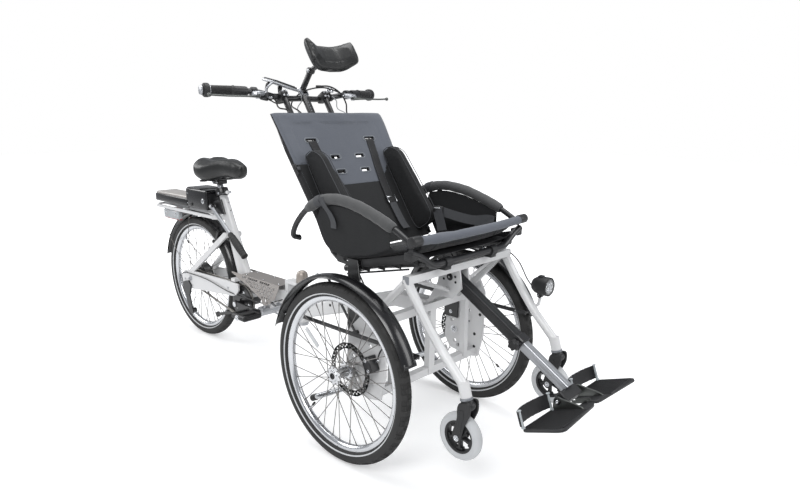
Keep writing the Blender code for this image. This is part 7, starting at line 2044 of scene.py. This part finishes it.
def footplate_piece(word, side):
    bm = bmesh.new()
    axes = turn_to(FOOT_AHEAD, aside(side), FOOT_UP)
    corner = [(-0.026, 0.056), (-0.026, 0.214), (-0.0215, 0.224), (-0.01, 0.226), (0.086, 0.226),
        (0.098, 0.221), (0.104, 0.21), (0.086, 0.024), (0.08, 0.0085), (0.042, 0.0085), (0.042, 0.056)]
    flat = Matrix.Translation(foot_spot(0, 0, -0.0272, side)) @ axes
    add_plate(bm, corner, 0.009, flat, 0.0022, 0)
    for k in range(30):
        left = 0.068 + 0.0051 * k
        add_block(bm, (0.108, 0.0016, 0.0009), foot_spot(0.036, left, -0.0224, side), axes, 0.0003, 0, 1)
    for ahead in (-0.0215, 0.094):
        add_block(bm, (0.0035, 0.14, 0.003), foot_spot(ahead, 0.14, -0.0218, side), axes, 0.001, 0, 1)
    upright = turn_to(FOOT_AHEAD, FOOT_UP, aside(-side))
    cheek = [(-0.024, -0.024), (-0.018, -0.004), (-0.012, 0.008), (-0.004, 0.0128), (0.006, 0.012),
        (0.022, 0.004), (0.052, -0.008), (0.072, -0.018), (0.076, -0.024)]
    add_plate(bm, cheek, 0.0062, Matrix.Translation(foot_spot(0, 0.06, 0, side)) @ upright, 0.0014, 1)
    add_block(bm, (0.05, 0.003, 0.01), foot_spot(0.036, 0.01, -0.019, side), axes, 0.001, 1, 1)
    add_turned(bm, [(0, 0.0), (0.01, 0.0), (0.01, 0.003), (0.006, 0.0046), (0, 0.0046)],
        foot_spot(0, 0.0632, 0, side), (0, side, 0), 24, 2)
    ends = [foot_spot(-0.0225, 0.219, -0.0227, side), foot_spot(-0.0225, 0.068, -0.0227, side)]
    for end in ends:
        add_pin(bm, end, end + FOOT_UP * 0.05, 0.0034, 14, 3, 0.0008)
        add_turned(bm, [(0, 0), (0.006, 0), (0.006, 0.0022), (0.0042, 0.0034), (0, 0.0034)],
            end + FOOT_UP * 0.048, FOOT_UP, 16, 3)
        add_turned(bm, [(0, 0), (0.006, 0), (0.0052, 0.0045), (0, 0.0045)], end, FOOT_UP, 16, 3)
    stand_in(f"footplate_{word}", bm, [black_plastic, dark_grey_metal, black_paint, pale_case], 30)

    bm = bmesh.new()
    route = curve_through([Vector(p) for p in ((-0.0225, 0.2235, 0), (-0.031, 0.217, 0), (-0.042, 0.196, 0),
        (-0.05, 0.165, 0), (-0.052, 0.142, 0), (-0.049, 0.116, 0), (-0.041, 0.086, 0), (-0.031, 0.07, 0),
        (-0.0225, 0.0635, 0))], 4)
    rows = []
    for number, p in enumerate(route):
        sag = 0.0035 * math.sin(math.pi * number / (len(route) - 1))
        rows.append([foot_spot(p.x, p.y, -0.016 + 0.041 * t - sag + 0.0004 * math.sin(number * 1.9), side)
            for t in (0, 0.25, 0.5, 0.75, 1)])
    ribbon(bm, rows, 0.0024, 0)
    for offset in (0.0046, -0.0016):
        edge = [foot_spot(p.x - 0.0008, p.y, -0.016 + (0.041 if offset < 0 else 0) + offset, side)
            for p in route]
        add_stitches(bm, edge, 0.003, 0.0034, 0.00045, 1)
    stand_in(f"heel_strap_{word}", bm, [webbing, pale_thread], 60)


for word, side in SIDES:
    footplate_piece(word, side)
print("footplates made")

# %% Headlight and its cable
bm = bmesh.new()
LAMP = at(0.356, 0.2685, 0.504087)
middle = LAMP + Vector((0.004, 0, 0.034))
add_turned(bm, [(0, -0.036), (0.01, -0.0355), (0.021, -0.03), (0.0285, -0.018), (0.0315, -0.002),
    (0.0325, 0.02), (0.0325, 0.029), (0.03, 0.0315), (0.029, 0.027), (0, 0.024)], middle, (1, 0, 0), 40, 0)
add_turned(bm, [(0, 0.033), (0.012, 0.0325), (0.022, 0.031), (0.0288, 0.0285), (0.0288, 0.0262), (0, 0.0262)],
    middle, (1, 0, 0), 40, 1)
for k in range(7):
    a = math.tau * k / 6
    spot = middle + Vector((0.025, 0.0135 * math.cos(a) if k < 6 else 0,
        0.0135 * math.sin(a) if k < 6 else 0))
    add_turned(bm, [(0.0065, 0.0), (0.0058, 0.003), (0.003, 0.0012), (0, 0.0008), (0, 0)], spot, (1, 0, 0),
        14, 2)
add_block(bm, (0.016, 0.02, 0.004), middle + Vector((-0.004, 0, 0.0325)), None, 0.0012, 0)
for way in (1, -1):
    add_tube(bm, curve_through([LAMP + Vector((-0.003, way * 0.009, -0.006)),
        LAMP + Vector((0.004, way * 0.01, 0.004)), LAMP + Vector((0.006, way * 0.009, 0.016))], 5), 0.0036,
        10, 0)
add_cross_pin(bm, LAMP, 0.0125, 0.0042, 16, 2, 0.0008)
add_turned(bm, mirrored([(0, -0.0085), (0.0092, -0.008)]), LAMP, (0, 1, 0), 24, 0)
stand_in("headlight", bm, [black_plastic, clear_lens, bright_steel], 35)

cable_piece("headlight_cable", "chair", [at(0.35, 0.27, 0.5), at(0.338, 0.272, 0.512),
    at(0.302, 0.27, 0.548), at(0.262, 0.2715, 0.605), at(0.214, 0.271, BAR_TOP + 0.004),
    at(0.196, 0.25, BAR_TOP + 0.002)], 0.0022)


# %% Brake calipers with bolts and hoses
CALIPER_REACH, CALIPER_ANGLE, CALIPER_SIDE = 0.096, math.radians(25), 0.278


def caliper_at(side):
    return at(CALIPER_REACH * math.cos(CALIPER_ANGLE), side * CALIPER_SIDE,
        AXLE_HEIGHT + CALIPER_REACH * math.sin(CALIPER_ANGLE))


def caliper_details(side):
    spot = caliper_at(side)

    def more(bm):
        for along in (0.017, -0.017):
            place = spot + Vector((-math.sin(CALIPER_ANGLE) * along, 0, math.cos(CALIPER_ANGLE) * along))
            add_bolt(bm, place + Vector((0.002, side * 0.024, 0)), (0, side, 0), 0.0042, 0.004, 1)
        add_pin(bm, spot + Vector((0.016, 0, 0.01)), spot + Vector((0.03, 0, 0.022)), 0.0046, 14, 1, 0.0006)
    return more


for word, side in SIDES:
    dressed(f"brake_caliper_{word}", [black_paint, bright_steel], 40, None, 0.0018, caliper_details(side))
    start = caliper_at(side) + Vector((0.026, 0, 0.02))
    cable_piece(f"brake_hose_{word}", "chair", [start, start
        + Vector((0.012, side * 0.001, 0.03)), at(0.12, side * 0.244, 0.42), at(0.08, side * 0.236, 0.505),
        at(0.02, side * 0.236, 0.56), at(-0.045, side * 0.232, 0.64), at(-0.06, side * 0.225,
        seat(-0.06, 0, 0).z - 0.0125)], 0.0027)
print("brakes made")

# %% Tube frame under the seat, its clamps and the laced straps that carry the cushion
RAIL_HALF = 0.225
SEAT_PLATE = FRAME_PLATE - 0.0003 - 0.003


def rail_height(ahead):
    return seat(ahead, 0, 0).z - 0.0125


bm = bmesh.new()
HOOP = [(0.285, 0.0155), (0.27, 0.01), (0.246, 0.0), (0.222, -0.015), (0.205, -0.026), (0.188, -0.0345),
    (0.165, -0.038), (0.12, -0.038)]
near = [at(0.25, y, SEAT_FRONT_HEIGHT + z) for y, z in HOOP]
line = near + [Vector((near[-1].x, 0, near[-1].z))] + [Vector((p.x, -p.y, p.z)) for p in reversed(near)]
add_tube(bm, curve_through(line, 6), 0.0115, 20, 0)
stand_top = SEAT_FRONT_HEIGHT - 0.051
stand = [(-0.046, 0.345), (0.018, 0.345), (0.022, 0.5), (0.002, stand_top), (-0.044, stand_top),
    (-0.048, 0.5)]
upright = turn_to((1, 0, 0), (0, 0, 1), (0, -1, 0))
rail_end = HINGE_AHEAD + 0.02
ear = [(HINGE_AHEAD - 0.018, HINGE_HEIGHT + 0.008), (HINGE_AHEAD - 0.012, HINGE_HEIGHT + 0.014),
    (HINGE_AHEAD + 0.01, HINGE_HEIGHT + 0.014), (HINGE_AHEAD + 0.02, HINGE_HEIGHT - 0.004),
    (rail_end + 0.05, HINGE_HEIGHT - 0.008), (rail_end + 0.05, HINGE_HEIGHT - 0.02),
    (HINGE_AHEAD - 0.012, HINGE_HEIGHT - 0.014), (HINGE_AHEAD - 0.018, HINGE_HEIGHT - 0.008)]
for side in (1, -1):
    add_tube(bm, [at(rail_end, side * RAIL_HALF, rail_height(rail_end)),
        at(0.06, side * RAIL_HALF, rail_height(0.06)), at(0.252, side * RAIL_HALF,
        rail_height(0.252) - 0.008)], 0.0115, 20, 0)
    add_plate(bm, stand, 0.006, Matrix.Translation(at(0, side * SEAT_PLATE, 0)) @ upright, 0.0012, 0)
    for high in (0.365, 0.43):
        add_bolt(bm, at(-0.014, side * (SEAT_PLATE - 0.003), high), (0, -side, 0), 0.005, 0.004, 1)
    add_plate(bm, ear, 0.006, Matrix.Translation(at(0, side * (RAIL_HALF + 0.0065), 0)) @ upright, 0.0012, 0)
    clamp = at(0.233, side * 0.12, BAR_TOP + 0.0243)
    add_block(bm, (0.052, 0.03, 0.024), clamp, None, 0.003, 2, 2)
    add_turned(bm, mirrored([(0.0118, -0.014), (0.0165, -0.014)]), at(0.25, side * 0.12,
        SEAT_FRONT_HEIGHT - 0.038), (0, 1, 0), 24, 2, True)
    for ahead in (0.213, 0.226):
        add_bolt(bm, clamp + Vector((ahead - 0.233, 0, 0.012)), (0, 0, 1), 0.0036, 0.004, 1)
    add_block(bm, (0.032, 0.026, 0.024), at(0.243, side * 0.2755, SEAT_FRONT_HEIGHT + 0.0034 - 0.0008), None,
        0.003, 2, 2)
cross = rail_height(-0.022) - 0.006
add_pin(bm, at(-0.022, -SEAT_PLATE, cross), at(-0.022, SEAT_PLATE, cross), 0.0115, 24, 0)
add_pin(bm, at(HINGE_AHEAD, -RAIL_HALF - 0.009, HINGE_HEIGHT),
    at(HINGE_AHEAD, RAIL_HALF + 0.009, HINGE_HEIGHT), 0.008, 24, 1, 0.001)
stand_in("seat_frame", bm, [black_paint, bright_steel, black_plastic], 40)

bm = bmesh.new()
for number in range(5):
    ahead = -0.045 + 0.066 * number
    rows = []
    for k in range(37):
        share = k / 36 * 2 - 1
        wrap = max(0.0, abs(share) - 0.93) / 0.07
        left = 0.237 * share
        high = rail_height(ahead) + 0.0122 - 0.005 * (1 - share * share) - 0.0155 * wrap ** 2
        rows.append([at(ahead + 0.019 * t, left, high + 0.0003 * math.sin(9 * left + number))
            for t in (-1, -0.5, 0, 0.5, 1)])
    ribbon(bm, rows, 0.0018, 0)
    for side in (1, -1):
        add_block(bm, (0.03, 0.0035, 0.02), at(ahead + 0.004, side * 0.2385, rail_height(ahead) - 0.004),
            None, 0.001, 1, 1)
        add_block(bm, (0.034, 0.002, 0.005), at(ahead + 0.004, side * 0.24, rail_height(ahead) + 0.003), None,
            0.0006, 1, 1)
for side in (1, -1):
    add_beam(bm, at(0.01, side * 0.247, rail_height(0.01) + 0.012), at(0.24, side * 0.262,
        SEAT_FRONT_HEIGHT - 0.006), 0.0035, 0.026, 0.001, 1)
    add_beam(bm, at(-0.06, side * 0.244, rail_height(-0.06) - 0.018),
        at(0.215, side * 0.25, rail_height(0.215) - 0.02), 0.003, 0.006, 0.001, 1)
complete(bm, "seat_straps", "chair", [webbing, black_plastic, cable_skin], (), 50)

bm = bmesh.new()
hang = [at(0.002, 0.166, 0.694), at(-0.008, 0.17, 0.714), at(-0.022, 0.174, 0.742), at(-0.034, 0.178, 0.77)]
lie = [at(-0.036, 0.184, 0.762), at(0.03, 0.212, 0.744), at(0.085, 0.236, 0.734), at(0.14, 0.244, 0.742),
    at(0.172, 0.24, 0.738), at(0.15, 0.226, 0.72), at(0.105, 0.216, 0.706)]
for points, steps, half in ((hang, 5, Vector((0.0185, 0.002, 0.004))), (lie, 6, Vector((0, 0.003, 0.0165)))):
    ribbon(bm, [[p + half * t for t in (-1, -0.4, 0.4, 1)] for p in curve_through(points, steps)], 0.002, 0)
add_block(bm, (0.04, 0.008, 0.024), at(-0.032, 0.18, 0.765), Matrix.Rotation(0.3, 4, "Z"), 0.002, 1, 2)
add_block(bm, (0.028, 0.004, 0.004), at(-0.032, 0.175, 0.77), Matrix.Rotation(0.3, 4, "Z"), 0.001, 2, 2)
complete(bm, "lap_belt", "chair", [grey_webbing, black_plastic, bright_steel],
    (), 50)

bm = bmesh.new()
turn = Matrix.Rotation(-RECLINE, 4, "Y")
for side in (1, -1):
    for along in (0.335, 0.095, 0.045):
        half = back_half(along) + 0.004
        add_block(bm, (0.01, 0.008, 0.04), back(along, side * half, -0.006), turn, 0.0015, 0, 2)
        add_block(bm, (0.006, 0.003, 0.02), back(along + 0.01, side * (half + 0.005), -0.006), turn, 0.001, 0,
            1)
        add_block(bm, (0.003, 0.014, 0.012), back(along, side * (half - 0.006), 0.002), turn, 0.0008, 1, 1)
complete(bm, "back_clips", "recline", [black_plastic, grey_webbing], (), 50)
print("seat frame, straps and clips made")

# %% The back's tube frame, as it was packed
dressed("back_frame", [black_paint], name="back_frame_dressed")

# %% Sizes, and the end
bpy.context.view_layer.update()
